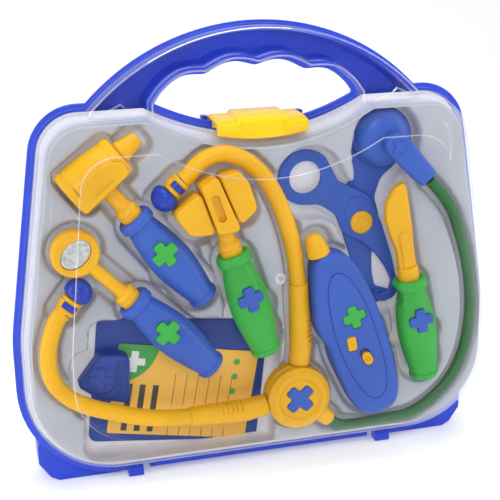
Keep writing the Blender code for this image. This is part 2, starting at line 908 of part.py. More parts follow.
def arch_rings(extra, depth, start, inset):
    """Rings of one half of the handle, from the parting plane out to its face."""
    outline = arch_outline()
    direction = 1 if depth > 0 else -1
    return [
        ring(grow(outline, extra), start),
        ring(grow(outline, extra), direction * RIM_THICKNESS),
        ring(outline, direction * RIM_THICKNESS),
        ring(outline, depth - direction * inset),
        ring(grow(outline, -inset), depth),
    ]


def arch_hollow(depth, wall, start, inset):
    """Rings of the hollow inside one half of the handle."""
    outline = arch_outline()
    direction = 1 if depth > 0 else -1
    floor = depth - direction * wall
    return [
        ring(grow(outline, -wall), start),
        ring(grow(outline, -wall - 0.2 * inset), floor - direction * inset),
        ring(grow(outline, -wall - inset), floor),
    ]


def lid_rings(inset, start):
    """Rings down the lid from the parting plane to its front; inset gives its inner face."""
    rim = rim_outline()
    shoulder = shoulder_outline()
    panel = panel_outline()
    base = LID_DEPTH - PANEL_RISE
    rings = []
    if inset > 0:
        rings.append(ring(grow(rim, -RIM_WIDTH - inset), start))
    else:
        rings.append(ring(rim, start))
        rings.append(ring(rim, -RIM_THICKNESS))
        rings.append(ring(grow(rim, -RIM_WIDTH), -RIM_THICKNESS))
    rings.append(ring(grow(shoulder, -inset), -SHOULDER_DEPTH))
    for depth_share, inset_share in LID_CURVE_SHARES:
        depth = SHOULDER_DEPTH + (base - SHOULDER_DEPTH) * depth_share - inset * depth_share
        outline = grow(between(shoulder, panel, inset_share), -inset)
        rings.append(ring(outline, -depth))
    rings.append(ring(grow(panel, -inset - PANEL_EDGE), inset - LID_DEPTH))
    return rings


def hinge_places():
    """Middle of each hinge knuckle across the case."""
    return (-HINGE_X, HINGE_X)


def lug_middle(x):
    """Middle of the lid's lug beside a knuckle, on its inner side."""
    offset = HINGE_KNUCKLE_WIDTH / 2 + GAP + HINGE_LUG_WIDTH / 2
    return x - math.copysign(offset, x)


def build_lid(finish):
    """Clear lid with its half of the handle, hinge lugs and stub pins."""
    lid = solid("front_lid", lid_rings(0.0, -GAP / 2), finish)
    add(lid, arch_rings(HANDLE_RIM, -HANDLE_DEPTH, -GAP / 2, HANDLE_EDGE))
    cut(lid, lid_rings(LID_WALL, OVERRUN))
    cut(lid, arch_hollow(-HANDLE_DEPTH, HANDLE_WALL, OVERRUN, HANDLE_EDGE))
    for x in hinge_places():
        width = HINGE_KNUCKLE_WIDTH + 2 * GAP
        notch = box(x, CASE_BOTTOM, width, 2 * RIM_WIDTH, 0.0)
        cut(lid, slab(notch, -RIM_THICKNESS, OVERRUN))
        add_lid_lug(lid, x)
    for hand in (-1, 1):
        add_gusset(lid, hand)
    mark_lid(lid)
    blend_faces(lid, 32)
    lid.parent = frame("lid_hinge_line", 0.0, 0.0, HINGE_HEIGHT)
    lid.location.z = -HINGE_HEIGHT
    return lid


def add_lid_lug(lid, x):
    """One lug with its pin, reaching from the lid's rim down to the hinge axis."""
    middle = lug_middle(x)
    half = HINGE_LUG_WIDTH / 2
    profile = ((middle - half, HINGE_LUG_RADIUS), (middle + half, HINGE_LUG_RADIUS))
    add(lid, spun_across(profile, HINGE_HEIGHT, HINGE_SIDES))
    neck_top = CASE_BOTTOM + RIM_WIDTH + LID_WALL / 2
    neck = box(middle, (HINGE_HEIGHT + neck_top) / 2, HINGE_LUG_WIDTH, neck_top - HINGE_HEIGHT, 0.0)
    add(lid, slab(neck, -HINGE_LUG_RADIUS * 0.9, -GAP / 2))
    outward = math.copysign(1, x)
    inner = middle
    outer = x + outward * (HINGE_KNUCKLE_WIDTH / 2 - HINGE_KNUCKLE_WALL)
    ends = sorted((inner, outer))
    pin = tuple((end, HINGE_PIN_RADIUS) for end in ends)
    add(lid, spun_across(pin, HINGE_HEIGHT, HINGE_SIDES))


def mark_lid(lid):
    """Small ringed moulding mark on the lid's front."""
    face = -LID_DEPTH
    rise = MOULD_MARK_RISE
    profile = (
        (face + LID_WALL / 2, MOULD_MARK_RADIUS),
        (face - rise / 2, MOULD_MARK_RADIUS),
        (face - rise, MOULD_MARK_RADIUS - rise),
        (face - rise, MOULD_MARK_BORE),
        (face - rise / 4, MOULD_MARK_BORE - rise / 2),
    )
    add(lid, spun_deep(profile, MOULD_MARK_X, MOULD_MARK_HEIGHT))


def add_gusset(lid, hand):
    """Triangular rib where the handle's foot meets the lid's shoulder."""
    low = SHOULDER_TOP - LID_WALL / 2
    rings = []
    for top, depth in ((GUSSET_FRONT_TOP, GUSSET_FRONT), (GUSSET_TOP, GUSSET_BACK)):
        outline = [
            Vector((hand * GUSSET_X, top)),
            Vector((hand * (GUSSET_X - GUSSET_IN), low)),
            Vector((hand * (GUSSET_X + GUSSET_OUT), low)),
        ]
        rings.append(ring(outline, -depth))
    add(lid, rings)


def shell_rings(inset, start):
    """Rings down the back shell from the parting plane to its back; inset gives its inner face."""
    rim = rim_outline()
    side = SHELL_SIDE_IN + inset
    if inset > 0:
        return [
            ring(grow(rim, -LEDGE_OUT), start),
            ring(grow(rim, -LEDGE_OUT), LEDGE_DEPTH),
            ring(grow(rim, -side), LEDGE_DEPTH),
            ring(grow(rim, -side - SHELL_DRAFT), SHELL_DEPTH - inset - SHELL_EDGE),
            ring(grow(rim, -side - SHELL_DRAFT - SHELL_EDGE * 0.8), SHELL_DEPTH - inset),
        ]
    return [
        ring(grow(rim, SHELL_RIM_OUT), start),
        ring(grow(rim, SHELL_RIM_OUT), SHELL_RIM_THICKNESS),
        ring(grow(rim, -side), SHELL_RIM_THICKNESS),
        ring(grow(rim, -side - SHELL_DRAFT), SHELL_DEPTH - SHELL_EDGE),
        ring(grow(rim, -side - SHELL_DRAFT - SHELL_EDGE * EDGE_SHARE), SHELL_DEPTH - SHELL_EDGE * EDGE_SHARE),
        ring(grow(rim, -side - SHELL_DRAFT - SHELL_EDGE), SHELL_DEPTH),
    ]


def foot_outline(hand):
    """One lower corner foot seen from the front."""
    shares = FOOT_OUTLINE_SHARES if hand < 0 else tuple(reversed(FOOT_OUTLINE_SHARES))
    return [Vector((hand * a * CASE_HALF_WIDTH, b * CASE_WAIST_HEIGHT)) for a, b in shares]


def build_shell(finish):
    """Blue back shell with its half of the handle, feet, hinge knuckles and latch ears."""
    shell = solid("back_shell", shell_rings(0.0, GAP / 2), finish)
    add(shell, arch_rings(SHELL_RIM_OUT, HANDLE_DEPTH, GAP / 2, HANDLE_EDGE))
    for hand in (-1, 1):
        outline = foot_outline(hand)
        rim = grow(outline, -SHELL_EDGE / 2)
        rings = [ring(outline, FOOT_START), ring(outline, FOOT_END - SHELL_EDGE / 2), ring(rim, FOOT_END)]
        add(shell, rings)
    cut(shell, shell_rings(SHELL_WALL, -OVERRUN))
    cut(shell, arch_hollow(HANDLE_DEPTH, HANDLE_WALL, -OVERRUN, HANDLE_EDGE))
    for hand in (-1, 1):
        hollow = grow(foot_outline(hand), -SHELL_WALL)
        cut(shell, slab(hollow, FOOT_START + SHELL_WALL, FOOT_END - SHELL_WALL))
    for x in hinge_places():
        add_knuckle(shell, x)
    for hand in (-1, 1):
        add_latch_ear(shell, hand)
    blend_faces(shell, 32)
    return shell


def add_knuckle(shell, x):
    """One hinge knuckle with a bore, and room beside it for the lid's lug."""
    half = HINGE_KNUCKLE_WIDTH / 2
    ends = (x - half, x + half)
    tab = spun_across(tuple((end, HINGE_KNUCKLE_RADIUS) for end in ends), HINGE_HEIGHT, 2 * HINGE_SIDES)
    for points in tab:
        for point in points:
            point.z = max(point.z, 0.0)
    web = box(x, HINGE_HEIGHT + HINGE_NECK / 2, HINGE_KNUCKLE_WIDTH, HINGE_NECK, 0.0)
    lug_x = lug_middle(x)
    room = box(lug_x, HINGE_HEIGHT, HINGE_LUG_WIDTH + 2 * GAP, 2 * HINGE_ROOM, 0.0)
    cut(shell, slab(room, -OVERRUN, HINGE_LUG_RADIUS + RUNNING_GAP))
    add(shell, slab(web, GAP / 2, HINGE_KNUCKLE_RADIUS))
    add(shell, tab)
    outward = math.copysign(1, x)
    inner = x - outward * (half + OVERRUN)
    outer = x + outward * (half - HINGE_KNUCKLE_WALL + GAP)
    bore = tuple((end, HINGE_PIN_RADIUS + RUNNING_GAP) for end in sorted((inner, outer)))
    cut(shell, spun_across(bore, HINGE_HEIGHT, HINGE_SIDES))


def add_latch_ear(shell, hand):
    """One ear beside the latch with a bore for its stub pin."""
    inner = LATCH_HALF_WIDTH + RUNNING_GAP
    middle = hand * (inner + LATCH_EAR_WIDTH / 2)
    foot = DIP_BOTTOM - SHELL_SIDE_IN - SHELL_WALL / 2
    top = LATCH_PIVOT_HEIGHT + LATCH_BARREL_RADIUS
    outline = box(middle, (foot + top) / 2, LATCH_EAR_WIDTH, top - foot, 0.0)
    add(shell, slab(outline, LATCH_PIVOT_Y - LATCH_BARREL_RADIUS, LATCH_PIVOT_Y + LATCH_BARREL_RADIUS))
    ends = sorted((hand * (inner - OVERRUN), hand * (inner + LATCH_EAR_WIDTH - LATCH_EAR_WALL)))
    bore = tuple((end, LATCH_PIN_RADIUS + RUNNING_GAP) for end in ends)
    cut(shell, spun_across(bore, LATCH_PIVOT_HEIGHT, HINGE_SIDES, LATCH_PIVOT_Y))


def latch_section(x, half_width):
    """Outline of the latch in depth and height at one place across it."""
    lift = (CASE_TOP - DIP_BOTTOM) * (x / DIP_HALF_WIDTH) ** 2
    wide = abs(x) > LATCH_STEP_HALF_WIDTH
    top = LATCH_RISE - (LATCH_SIDE_DROP if wide else 0.0)
    recess = 0.0 if abs(x) > LATCH_RECESS_HALF_WIDTH else LATCH_RECESS_DEPTH
    back = LATCH_BARREL_RADIUS
    front = LATCH_FRONT - LATCH_PIVOT_Y
    tooth = -RIM_THICKNESS - RUNNING_GAP - LATCH_PIVOT_Y
    lip = LATCH_LIP_BOTTOM - LATCH_PIVOT_HEIGHT + lift
    under = LATCH_UNDERSIDE - LATCH_PIVOT_HEIGHT + lift
    ahead = LATCH_FRONT_UNDERSIDE - LATCH_PIVOT_HEIGHT + lift
    hook = LATCH_TOOTH_BOTTOM - LATCH_PIVOT_HEIGHT + lift
    tail = SHELL_RIM_THICKNESS + RUNNING_GAP - LATCH_PIVOT_Y
    face = front + recess
    if abs(x) > half_width - LATCH_STEP_WIDTH:
        top -= LATCH_STEP_WIDTH
        face += LATCH_STEP_WIDTH
    return (
        (0.1 * front, top),
        (0.7 * front, top),
        (0.9 * front, top - 0.3 * LATCH_SIDE_DROP),
        (face, 0.35 * top),
        (face, ahead),
        (front + LATCH_RECESS_DEPTH, lip),
        (front + LATCH_RECESS_DEPTH + LATCH_LIP_THICKNESS, lip),
        (front + LATCH_RECESS_DEPTH + LATCH_LIP_THICKNESS + RUNNING_GAP, ahead),
        (tooth - LATCH_TOOTH_THICKNESS, ahead + RUNNING_GAP),
        (tooth - LATCH_TOOTH_THICKNESS, hook),
        (tooth, hook),
        (tooth, under),
        (tail, under),
        (-0.7 * back, -0.8 * back),
        (0.0, -back),
        (0.8 * back, -0.6 * back),
        (back, 0.0),
        (0.7 * back, 0.8 * back),
    )


def build_latch(finish):
    """Yellow snap latch on stub pins, its hook over the lid's rim."""
    pivot = frame("latch_pivot", 0.0, LATCH_PIVOT_Y, LATCH_PIVOT_HEIGHT)
    step = LATCH_STEP_HALF_WIDTH
    edge = LATCH_HALF_WIDTH
    right = (
        LATCH_RECESS_HALF_WIDTH - LATCH_STEP_WIDTH,
        LATCH_RECESS_HALF_WIDTH + RUNNING_GAP,
        step + LATCH_STEP_WIDTH,
        (step + edge) / 2,
        edge - LATCH_STEP_WIDTH - RUNNING_GAP,
        edge,
    )
    places = [-x for x in reversed(right)] + [0.0] + list(right)
    rings = [[Vector((x, y, z)) for y, z in latch_section(x, edge)] for x in places]
    latch = solid("latch", rings, finish, pivot)
    reach = edge + RUNNING_GAP + LATCH_EAR_WIDTH - LATCH_EAR_WALL - RUNNING_GAP
    for hand in (-1, 1):
        ends = sorted((hand * (edge - LATCH_STEP_WIDTH), hand * reach))
        add(latch, spun_across(tuple((end, LATCH_PIN_RADIUS) for end in ends), 0.0, HINGE_SIDES))
    blend_faces(latch, 40)
    return latch


def grip_profile(radius, length):
    """Heights and radii of a hand grip from its tail to its top ring."""
    return [(length * a, radius * b) for a, b in GRIP_PROFILE_SHARES]


def build_grip(name, holder, finish, cross_finish, cross_height, cross_x=0.0, length=GRIP_LENGTH):
    """Hollow hand grip with a cross let into its front; returns both."""
    profile = grip_profile(GRIP_BODY_RADIUS, length)
    inner = GRIP_BODY_RADIUS * GRIP_BORE_SHARE
    profile += [(length, inner), (GRIP_FLOOR, inner)]
    grip = solid(name + "_grip", spun(profile), finish, holder)
    front = -GRIP_BODY_RADIUS - CROSS_PROUD
    back = front + CROSS_THICKNESS
    outline = plus(cross_x, cross_height, CROSS_SPAN, CROSS_ARM, CROSS_CORNER)
    cut(grip, slab(grow(outline, GAP), front - OVERRUN, back + GAP))
    blend_faces(grip, 40)
    solid(name + "_cross", slab(outline, front, back, CROSS_EDGE), cross_finish, holder)
    return grip


def collar_profile(neck_radius, neck_end):
    """Heights and radii of the collar that stands on a grip and narrows to a neck."""
    base = GRIP_LENGTH + SEAT_GAP
    top = base + COLLAR_LENGTH
    return (
        (base, COLLAR_RADIUS * 0.9),
        (base + COLLAR_LENGTH * 0.15, COLLAR_RADIUS),
        (base + COLLAR_LENGTH * 0.75, COLLAR_RADIUS),
        (top, COLLAR_RADIUS * 0.85),
        (top, neck_radius),
        (neck_end, neck_radius),
    )


def build_otoscope(head_finish, grip_finish, cross_finish):
    """Otoscope: hollow viewing barrel on a neck, ear cone and grip."""
    holder = frame("otoscope", OTOSCOPE_X, OTOSCOPE_Y, OTOSCOPE_Z, OTOSCOPE_TILT)
    build_grip("otoscope", holder, grip_finish, cross_finish, CROSS_HEIGHT)
    half = OTOSCOPE_HEAD_LENGTH / 2
    eye = OTOSCOPE_EYE_RADIUS
    nose = OTOSCOPE_NOSE_RADIUS
    rise = OTOSCOPE_BAND_RISE
    band = OTOSCOPE_BAND
    bore = OTOSCOPE_LENS_RADIUS - OTOSCOPE_LENS_RECESS
    socket = SPECULUM_SPIGOT_RADIUS + RUNNING_GAP
    profile = (
        (half - 2 * band, bore),
        (-half + OTOSCOPE_LENS_RECESS, bore),
        (-half + OTOSCOPE_LENS_RECESS, OTOSCOPE_LENS_RADIUS),
        (-half, OTOSCOPE_LENS_RADIUS),
        (-half, eye - rise),
        (-half + rise, eye),
        (-half + band, eye),
        (-half + band, eye - rise),
        (0.0, (eye + nose) / 2),
        (half - band, nose + rise / 2),
        (half - band, nose + rise),
        (half - rise, nose + rise),
        (half, nose - rise),
        (half, socket),
        (half - SPECULUM_SPIGOT - GAP, socket),
    )
    head = solid("otoscope_head", spun_across(profile, OTOSCOPE_AXIS_HEIGHT, WIDE_SIDES), head_finish, holder)
    neck_end = OTOSCOPE_AXIS_HEIGHT - (eye + bore) / 2
    add(head, spun(collar_profile(OTOSCOPE_NECK_RADIUS, neck_end)))
    blend_faces(head, 35)
    start = half + GAP
    cone = (
        (half - SPECULUM_SPIGOT, SPECULUM_SPIGOT_RADIUS),
        (start, SPECULUM_SPIGOT_RADIUS),
        (start, SPECULUM_BASE_RADIUS),
        (start + SPECULUM_LENGTH * 0.15, SPECULUM_BASE_RADIUS),
        (start + SPECULUM_LENGTH * 0.25, SPECULUM_BASE_RADIUS * 0.9),
        (start + SPECULUM_LENGTH, SPECULUM_TIP_RADIUS),
        (start + SPECULUM_LENGTH, SPECULUM_BORE),
        (start, SPECULUM_BORE),
    )
    solid("otoscope_speculum", spun_across(cone, OTOSCOPE_AXIS_HEIGHT), head_finish, holder, 35)


def build_hammer(head_finish, grip_finish, cross_finish):
    """Reflex hammer: banded yoke on a stem with a soft block on each side."""
    holder = frame("reflex_hammer", HAMMER_X, HAMMER_Y, HAMMER_Z, HAMMER_TILT)
    build_grip("hammer", holder, grip_finish, cross_finish, CROSS_HEIGHT - CROSS_PROUD)
    centre = HAMMER_HEAD_CENTRE
    high = HAMMER_BAND_HALF_HEIGHT
    wide = HAMMER_BAND_HALF_WIDTH
    corner = HAMMER_CORNER
    edge = HAMMER_EDGE
    band = rounded(
        (
            (1.2 * wide, centre - high, corner),
            (0.75 * wide, centre + high, corner),
            (-0.85 * wide, centre + 0.85 * high, corner),
            (-0.75 * wide, centre - 0.85 * high, corner),
        )
    )
    deep = HAMMER_BAND_HALF_DEPTH
    yoke = solid("hammer_yoke", slab(band, -deep, deep, edge, edge), head_finish, holder)
    add(yoke, spun(collar_profile(OTOSCOPE_NECK_RADIUS, centre - high + corner * 2)))
    slot = box(0.0, centre, HAMMER_SLOT_WIDTH, HAMMER_SLOT_LENGTH, HAMMER_SLOT_WIDTH * 0.45)
    cut(yoke, slab(slot, -deep - OVERRUN, HAMMER_SLOT_DEPTH - deep))
    blend_faces(yoke, 35)
    half = HAMMER_HEAD_HALF_HEIGHT
    thick = HAMMER_LOBE_HALF_DEPTH
    left = rounded(
        (
            (-0.75 * wide - SEAT_GAP - GAP, centre - 0.88 * half, corner),
            (-0.85 * wide - SEAT_GAP - GAP, centre + 0.70 * half, corner),
            (-HAMMER_LEFT_REACH, centre + 0.32 * half, corner * 1.5),
            (-0.80 * HAMMER_LEFT_REACH, centre - 0.60 * half, corner * 2),
        )
    )
    right = rounded(
        (
            (1.2 * wide + SEAT_GAP + GAP, centre - 0.90 * half, corner),
            (HAMMER_RIGHT_REACH, centre - 0.58 * half, corner * 2),
            (HAMMER_RIGHT_REACH, centre + 0.40 * half, corner),
            (0.85 * HAMMER_RIGHT_REACH, centre + 0.92 * half, corner * 1.5),
            (0.82 * wide + SEAT_GAP + GAP, centre + 0.98 * half, corner),
        )
    )
    solid("hammer_block_left", slab(left, -thick, thick, edge, edge), head_finish, holder, 35)
    solid("hammer_block_right", slab(right, -thick, thick, edge, edge), head_finish, holder, 35)


def build_mirror(frame_finish, glass_finish, grip_finish, cross_finish):
    """Dental mirror: oval glass let into a round head on a stem."""
    holder = frame("dental_mirror", MIRROR_X, MIRROR_Y, MIRROR_Z, MIRROR_TILT)
    build_grip("mirror", holder, grip_finish, cross_finish, CROSS_HEIGHT)
    centre = MIRROR_HEAD_CENTRE
    half = MIRROR_HEAD_THICKNESS / 2
    disc = circle(0.0, centre, MIRROR_HEAD_RADIUS, WIDE_SIDES)
    edge = half * 0.5
    head = solid("mirror_frame", slab(disc, -half, half, edge, edge), frame_finish, holder)
    add(head, spun(collar_profile(MIRROR_STEM_RADIUS, centre - MIRROR_HEAD_RADIUS * 0.8)))
    glass_height = MIRROR_GLASS_RADIUS * MIRROR_OVAL_SHARE
    seat = MIRROR_GLASS_THICKNESS + MIRROR_GLASS_RECESS
    oval = ellipse(0.0, centre, MIRROR_GLASS_RADIUS + GAP, glass_height + GAP, MIRROR_TURN, WIDE_SIDES)
    cut(head, slab(oval, -half - OVERRUN, seat + GAP - half))
    blend_faces(head, 35)
    pane = ellipse(0.0, centre, MIRROR_GLASS_RADIUS, glass_height, MIRROR_TURN, WIDE_SIDES)
    solid("mirror_glass", slab(pane, MIRROR_GLASS_RECESS - half, seat - half), glass_finish, holder)


def build_scalpel(blade_finish, grip_finish, cross_finish):
    """Toy scalpel: blunt blade on a ribbed stem, finger rest cut into the grip."""
    holder = frame("scalpel", SCALPEL_X, SCALPEL_Y, SCALPEL_Z, SCALPEL_TILT)
    grip = build_grip("scalpel", holder, grip_finish, cross_finish, CROSS_HEIGHT + CROSS_PROUD)
    rest = circle(-GRIP_BODY_RADIUS * 1.55, GRIP_LENGTH * 0.86, GRIP_BODY_RADIUS * 0.85, WIDE_SIDES)
    cut(grip, slab(rest, -2 * GRIP_BODY_RADIUS, 2 * GRIP_BODY_RADIUS))
    blend_faces(grip, 40)
    low = SCALPEL_STEM_END
    tall = SCALPEL_BLADE_END - low
    left = SCALPEL_BLADE_LEFT
    right = SCALPEL_BLADE_RIGHT
    edge = SCALPEL_EDGE
    corner = SCALPEL_CORNER
    outline = rounded(
        (
            (right, low, corner),
            (right, low + 0.90 * tall, corner),
            (0.78 * right, low + tall, corner),
            (-0.15 * left, low + 0.90 * tall, 2 * corner),
            (-0.72 * left, low + 0.72 * tall, 2 * corner),
            (-left, low + 0.44 * tall, 2 * corner),
            (-0.80 * left, low + 0.16 * tall, 2 * corner),
            (-0.60 * left, low, corner),
        ),
        2,
    )
    half = SCALPEL_THICKNESS / 2
    blade = solid("scalpel_blade", slab(outline, -half, half, edge, edge), blade_finish, holder)
    base = GRIP_LENGTH + SEAT_GAP
    stem = [(base, COLLAR_RADIUS * 0.9), (base + COLLAR_LENGTH * 0.15, COLLAR_RADIUS)]
    top = base + COLLAR_LENGTH
    stem += [(top, COLLAR_RADIUS), (top, SCALPEL_STEM_WIDTH * 0.42)]
    pitch = (low + 2 * edge - top) / SCALPEL_RIBS
    for rib in range(SCALPEL_RIBS):
        foot = top + rib * pitch
        stem.append((foot + 0.25 * pitch, SCALPEL_STEM_WIDTH * 0.42))
        stem.append((foot + 0.40 * pitch, SCALPEL_STEM_WIDTH * 0.5))
        stem.append((foot + 0.80 * pitch, SCALPEL_STEM_WIDTH * 0.5))
        stem.append((foot + 0.95 * pitch, SCALPEL_STEM_WIDTH * 0.42))
    add(blade, spun(stem))
    blend_faces(blade, 35)


def thermometer_outline():
    """Rounded body outline of the thermometer in its own frame."""
    places = [(THERMOMETER_HALF_WIDTH * a, THERMOMETER_LENGTH * b, 0.0) for a, b in THERMOMETER_SHARES]
    points = smooth_route(places + places[:1], THERMOMETER_OUTLINE_POINTS + 1)[:-1]
    return [Vector((point.x, point.y)) for point in points]


def build_thermometer(body_finish, tip_finish, cross_finish):
    """Ear thermometer: two hollow shells, tip, window, sliding switch and cross."""
    holder = frame("thermometer", THERMOMETER_X, THERMOMETER_Y, THERMOMETER_Z, THERMOMETER_TILT)
    outline = thermometer_outline()
    deep = THERMOMETER_HALF_DEPTH
    edge = THERMOMETER_EDGE
    front = solid("thermometer_front", slab(outline, -deep, -GAP / 2, edge), body_finish, holder)
    back = solid("thermometer_back", slab(outline, GAP / 2, deep, 0.0, edge), body_finish, holder)
    hollow = grow(outline, -THERMOMETER_WALL)
    wall = THERMOMETER_FACE_WALL
    cut(front, slab(hollow, wall - deep, OVERRUN, edge * 0.6))
    cut(back, slab(hollow, -OVERRUN, deep - THERMOMETER_WALL, 0.0, edge * 0.6))
    line = grow(outline, -FACE_LINE_INSET)
    groove = solid("tool", slab(line, -deep - OVERRUN, FACE_LINE_DEPTH - deep), parent=holder)
    cut(groove, slab(grow(line, -FACE_LINE_WIDTH), -deep - 2 * OVERRUN, OVERRUN))
    combine(front, groove, "DIFFERENCE")
    inset = FACE_PIECE_THICKNESS - FACE_PIECE_PROUD
    window = box(0.0, 0.0, WINDOW_WIDTH, WINDOW_LENGTH, CROSS_CORNER)
    window = turned_in_plane(window, WINDOW_X, WINDOW_HEIGHT, -THERMOMETER_TILT / 2)
    cut(front, slab(grow(window, GAP), -deep - OVERRUN, inset + GAP - deep))
    solid("thermometer_window", slab(window, -deep - FACE_PIECE_PROUD, inset - deep, CROSS_EDGE),
          tip_finish, holder)
    cross = plus(THERMOMETER_CROSS_X, THERMOMETER_CROSS_HEIGHT, CROSS_SPAN * 0.95, CROSS_ARM * 0.95,
                 CROSS_CORNER)
    cut(front, slab(grow(cross, GAP), -deep - OVERRUN, inset + GAP - deep))
    solid("thermometer_cross", slab(cross, -deep - FACE_PIECE_PROUD, inset - deep, CROSS_EDGE),
          cross_finish, holder)
    build_switch(front, holder, tip_finish)
    tip = THERMOMETER_LENGTH
    radius = THERMOMETER_TIP_RADIUS
    profile = (
        (tip + THERMOMETER_TIP_GAP, radius * 0.9),
        (tip + THERMOMETER_TIP_GAP + 0.12 * THERMOMETER_TIP_LENGTH, radius),
        (tip + 0.25 * THERMOMETER_TIP_LENGTH, radius * 0.92),
        (tip + 0.70 * THERMOMETER_TIP_LENGTH, radius * 0.70),
        (tip + 0.92 * THERMOMETER_TIP_LENGTH, radius * 0.52),
        (tip + THERMOMETER_TIP_LENGTH, radius * 0.30),
    )
    solid("thermometer_tip", spun(profile, ROUND_SIDES, THERMOMETER_TIP_X), tip_finish, holder, 35)
    for piece in (front, back):
        blend_faces(piece, 35)


def build_switch(front, holder, finish):
    """Sliding switch in an oval slot of the thermometer's face."""
    deep = THERMOMETER_HALF_DEPTH
    straight = SWITCH_SLOT_LENGTH / 2 - SWITCH_SLOT_WIDTH / 2
    slot = capsule(0.0, -straight, straight, SWITCH_SLOT_WIDTH / 2)
    slot = turned_in_plane(slot, SWITCH_X, SWITCH_HEIGHT, SWITCH_TURN)
    cut(front, slab(slot, -deep - OVERRUN, SWITCH_DEPTH - deep))
    rail = frame("switch_rail", SWITCH_X, 0.0, SWITCH_HEIGHT, SWITCH_TURN, holder)
    short = straight - SWITCH_TRAVEL / 2
    button = capsule(0.0, -short - SWITCH_TRAVEL / 2, short - SWITCH_TRAVEL / 2,
                     SWITCH_SLOT_WIDTH / 2 - RUNNING_GAP)
    face = -deep - FACE_PIECE_PROUD
    solid("thermometer_switch", slab(button, face, SWITCH_DEPTH - SEAT_GAP - deep, CROSS_EDGE), finish, rail)


def scissor_outline():
    """One half of the scissors: ring at the left, arm, hub and blade at the right."""
    away = math.atan2(-RING_Z, RING_X)
    spread = math.asin(ARM_WIDTH / 2 / RING_RADIUS)
    points = arc(-RING_X, RING_Z, RING_RADIUS, away + spread, away - spread + math.tau, WIDE_SIDES)
    hub = SCISSORS_HUB_RADIUS
    wide = BLADE_WIDTH
    bow = BLADE_BOW
    length = BLADE_LENGTH
    tip = BLADE_TIP_RADIUS
    blade = rounded(
        (
            (-0.95 * hub, 0.50 * hub, hub * 0.5),
            (-0.80 * hub, -0.75 * hub, hub * 0.5),
            (0.10 * bow, -0.30 * length, wide * 0.5),
            (0.16 * bow, -0.60 * length, wide * 0.5),
            (-0.30 * bow, -0.86 * length, wide * 0.5),
            (-0.40 * bow, -length - 0.1 * tip, tip * 0.4),
            (0.32 * bow, -length - 0.5 * tip, tip * 0.6),
            (0.92 * bow, -0.70 * length, wide),
            (bow, -0.32 * length, wide),
            (0.98 * hub, 0.25 * hub, hub * 0.5),
        )
    )
    return points + blade


def mirrored(points):
    """An outline reflected left to right, still running the same way round."""
    return [Vector((-point.x, point.y)) for point in reversed(points)]


def build_scissors(finish, rivet_finish):
    """Two scissor halves, one behind the other, turning on a rivet with a round head."""
    holder = frame("scissors", SCISSORS_X, SCISSORS_Y, SCISSORS_Z, SCISSORS_TILT)
    outline = scissor_outline()
    thick = SCISSORS_THICKNESS
    edge = CROSS_EDGE
    bore = circle(0.0, 0.0, SCISSORS_RIVET_RADIUS + RUNNING_GAP)
    near = solid("scissors_near", slab(outline, -GAP / 2 - thick, -GAP / 2, edge, edge), finish, holder)
    far = solid("scissors_far", slab(mirrored(outline), GAP / 2, GAP / 2 + thick, edge, edge), finish, holder)
    for piece, hand in ((near, -1), (far, 1)):
        cut(piece, slab(circle(hand * RING_X, RING_Z, RING_HOLE_RADIUS, WIDE_SIDES), -2 * thick, 2 * thick))
        cut(piece, slab(bore, -2 * thick, 2 * thick))
        blend_faces(piece, 35)
    head = -GAP / 2 - thick - RUNNING_GAP
    profile = (
        (head - RIVET_HEAD, SCISSORS_PIVOT_RADIUS * 0.8),
        (head - RIVET_HEAD * 0.6, SCISSORS_PIVOT_RADIUS),
        (head, SCISSORS_PIVOT_RADIUS),
        (head, SCISSORS_RIVET_RADIUS),
        (GAP / 2 + thick * 0.9, SCISSORS_RIVET_RADIUS),
    )
    rivet = solid("scissors_rivet", spun_deep(profile, 0.0, 0.0, WIDE_SIDES), rivet_finish, holder)
    raised = plus(0.0, 0.0, SCISSORS_PIVOT_RADIUS * 1.2, SCISSORS_PIVOT_RADIUS * 0.42, CROSS_EDGE)
    add(rivet, slab(raised, head - RIVET_HEAD - CROSS_EDGE, head - RIVET_HEAD / 2))
    blend_faces(rivet, 35)


def tube_with_sleeve(route, depth, sleeve_end, hub_gap):
    """Centres and radii of a tube, its ribbed sleeve and the neck that meets the hub."""
    points = smooth_route([(x, depth, z) for x, z in route], TUBE_POINTS)
    radii = [TUBE_RADIUS] * len(points)
    start = points[-1]
    end = Vector((sleeve_end[0], depth, sleeve_end[1]))
    for share, scale in SLEEVE_SHARES:
        points.append(start.lerp(end, share))
        radii.append(SLEEVE_RADIUS * scale)
    pitch = (1 - RIB_START_SHARE) / RIB_COUNT
    for rib in range(RIB_COUNT):
        foot = RIB_START_SHARE + rib * pitch
        places = ((RIB_FOOT_SHARE, TUBE_RADIUS), (RIB_RISE_SHARE, RIB_RADIUS), (RIB_END_SHARE, RIB_RADIUS))
        for place, radius in places:
            points.append(start.lerp(end, foot + place * pitch))
            radii.append(radius)
    hub = Vector((HUB_X, depth, HUB_Z))
    reach = (end - hub).normalized() * hub_gap
    points.append(end)
    radii.append(HUB_NECK_RADIUS)
    points.append(hub + reach)
    radii.append(HUB_NECK_RADIUS)
    return points, radii


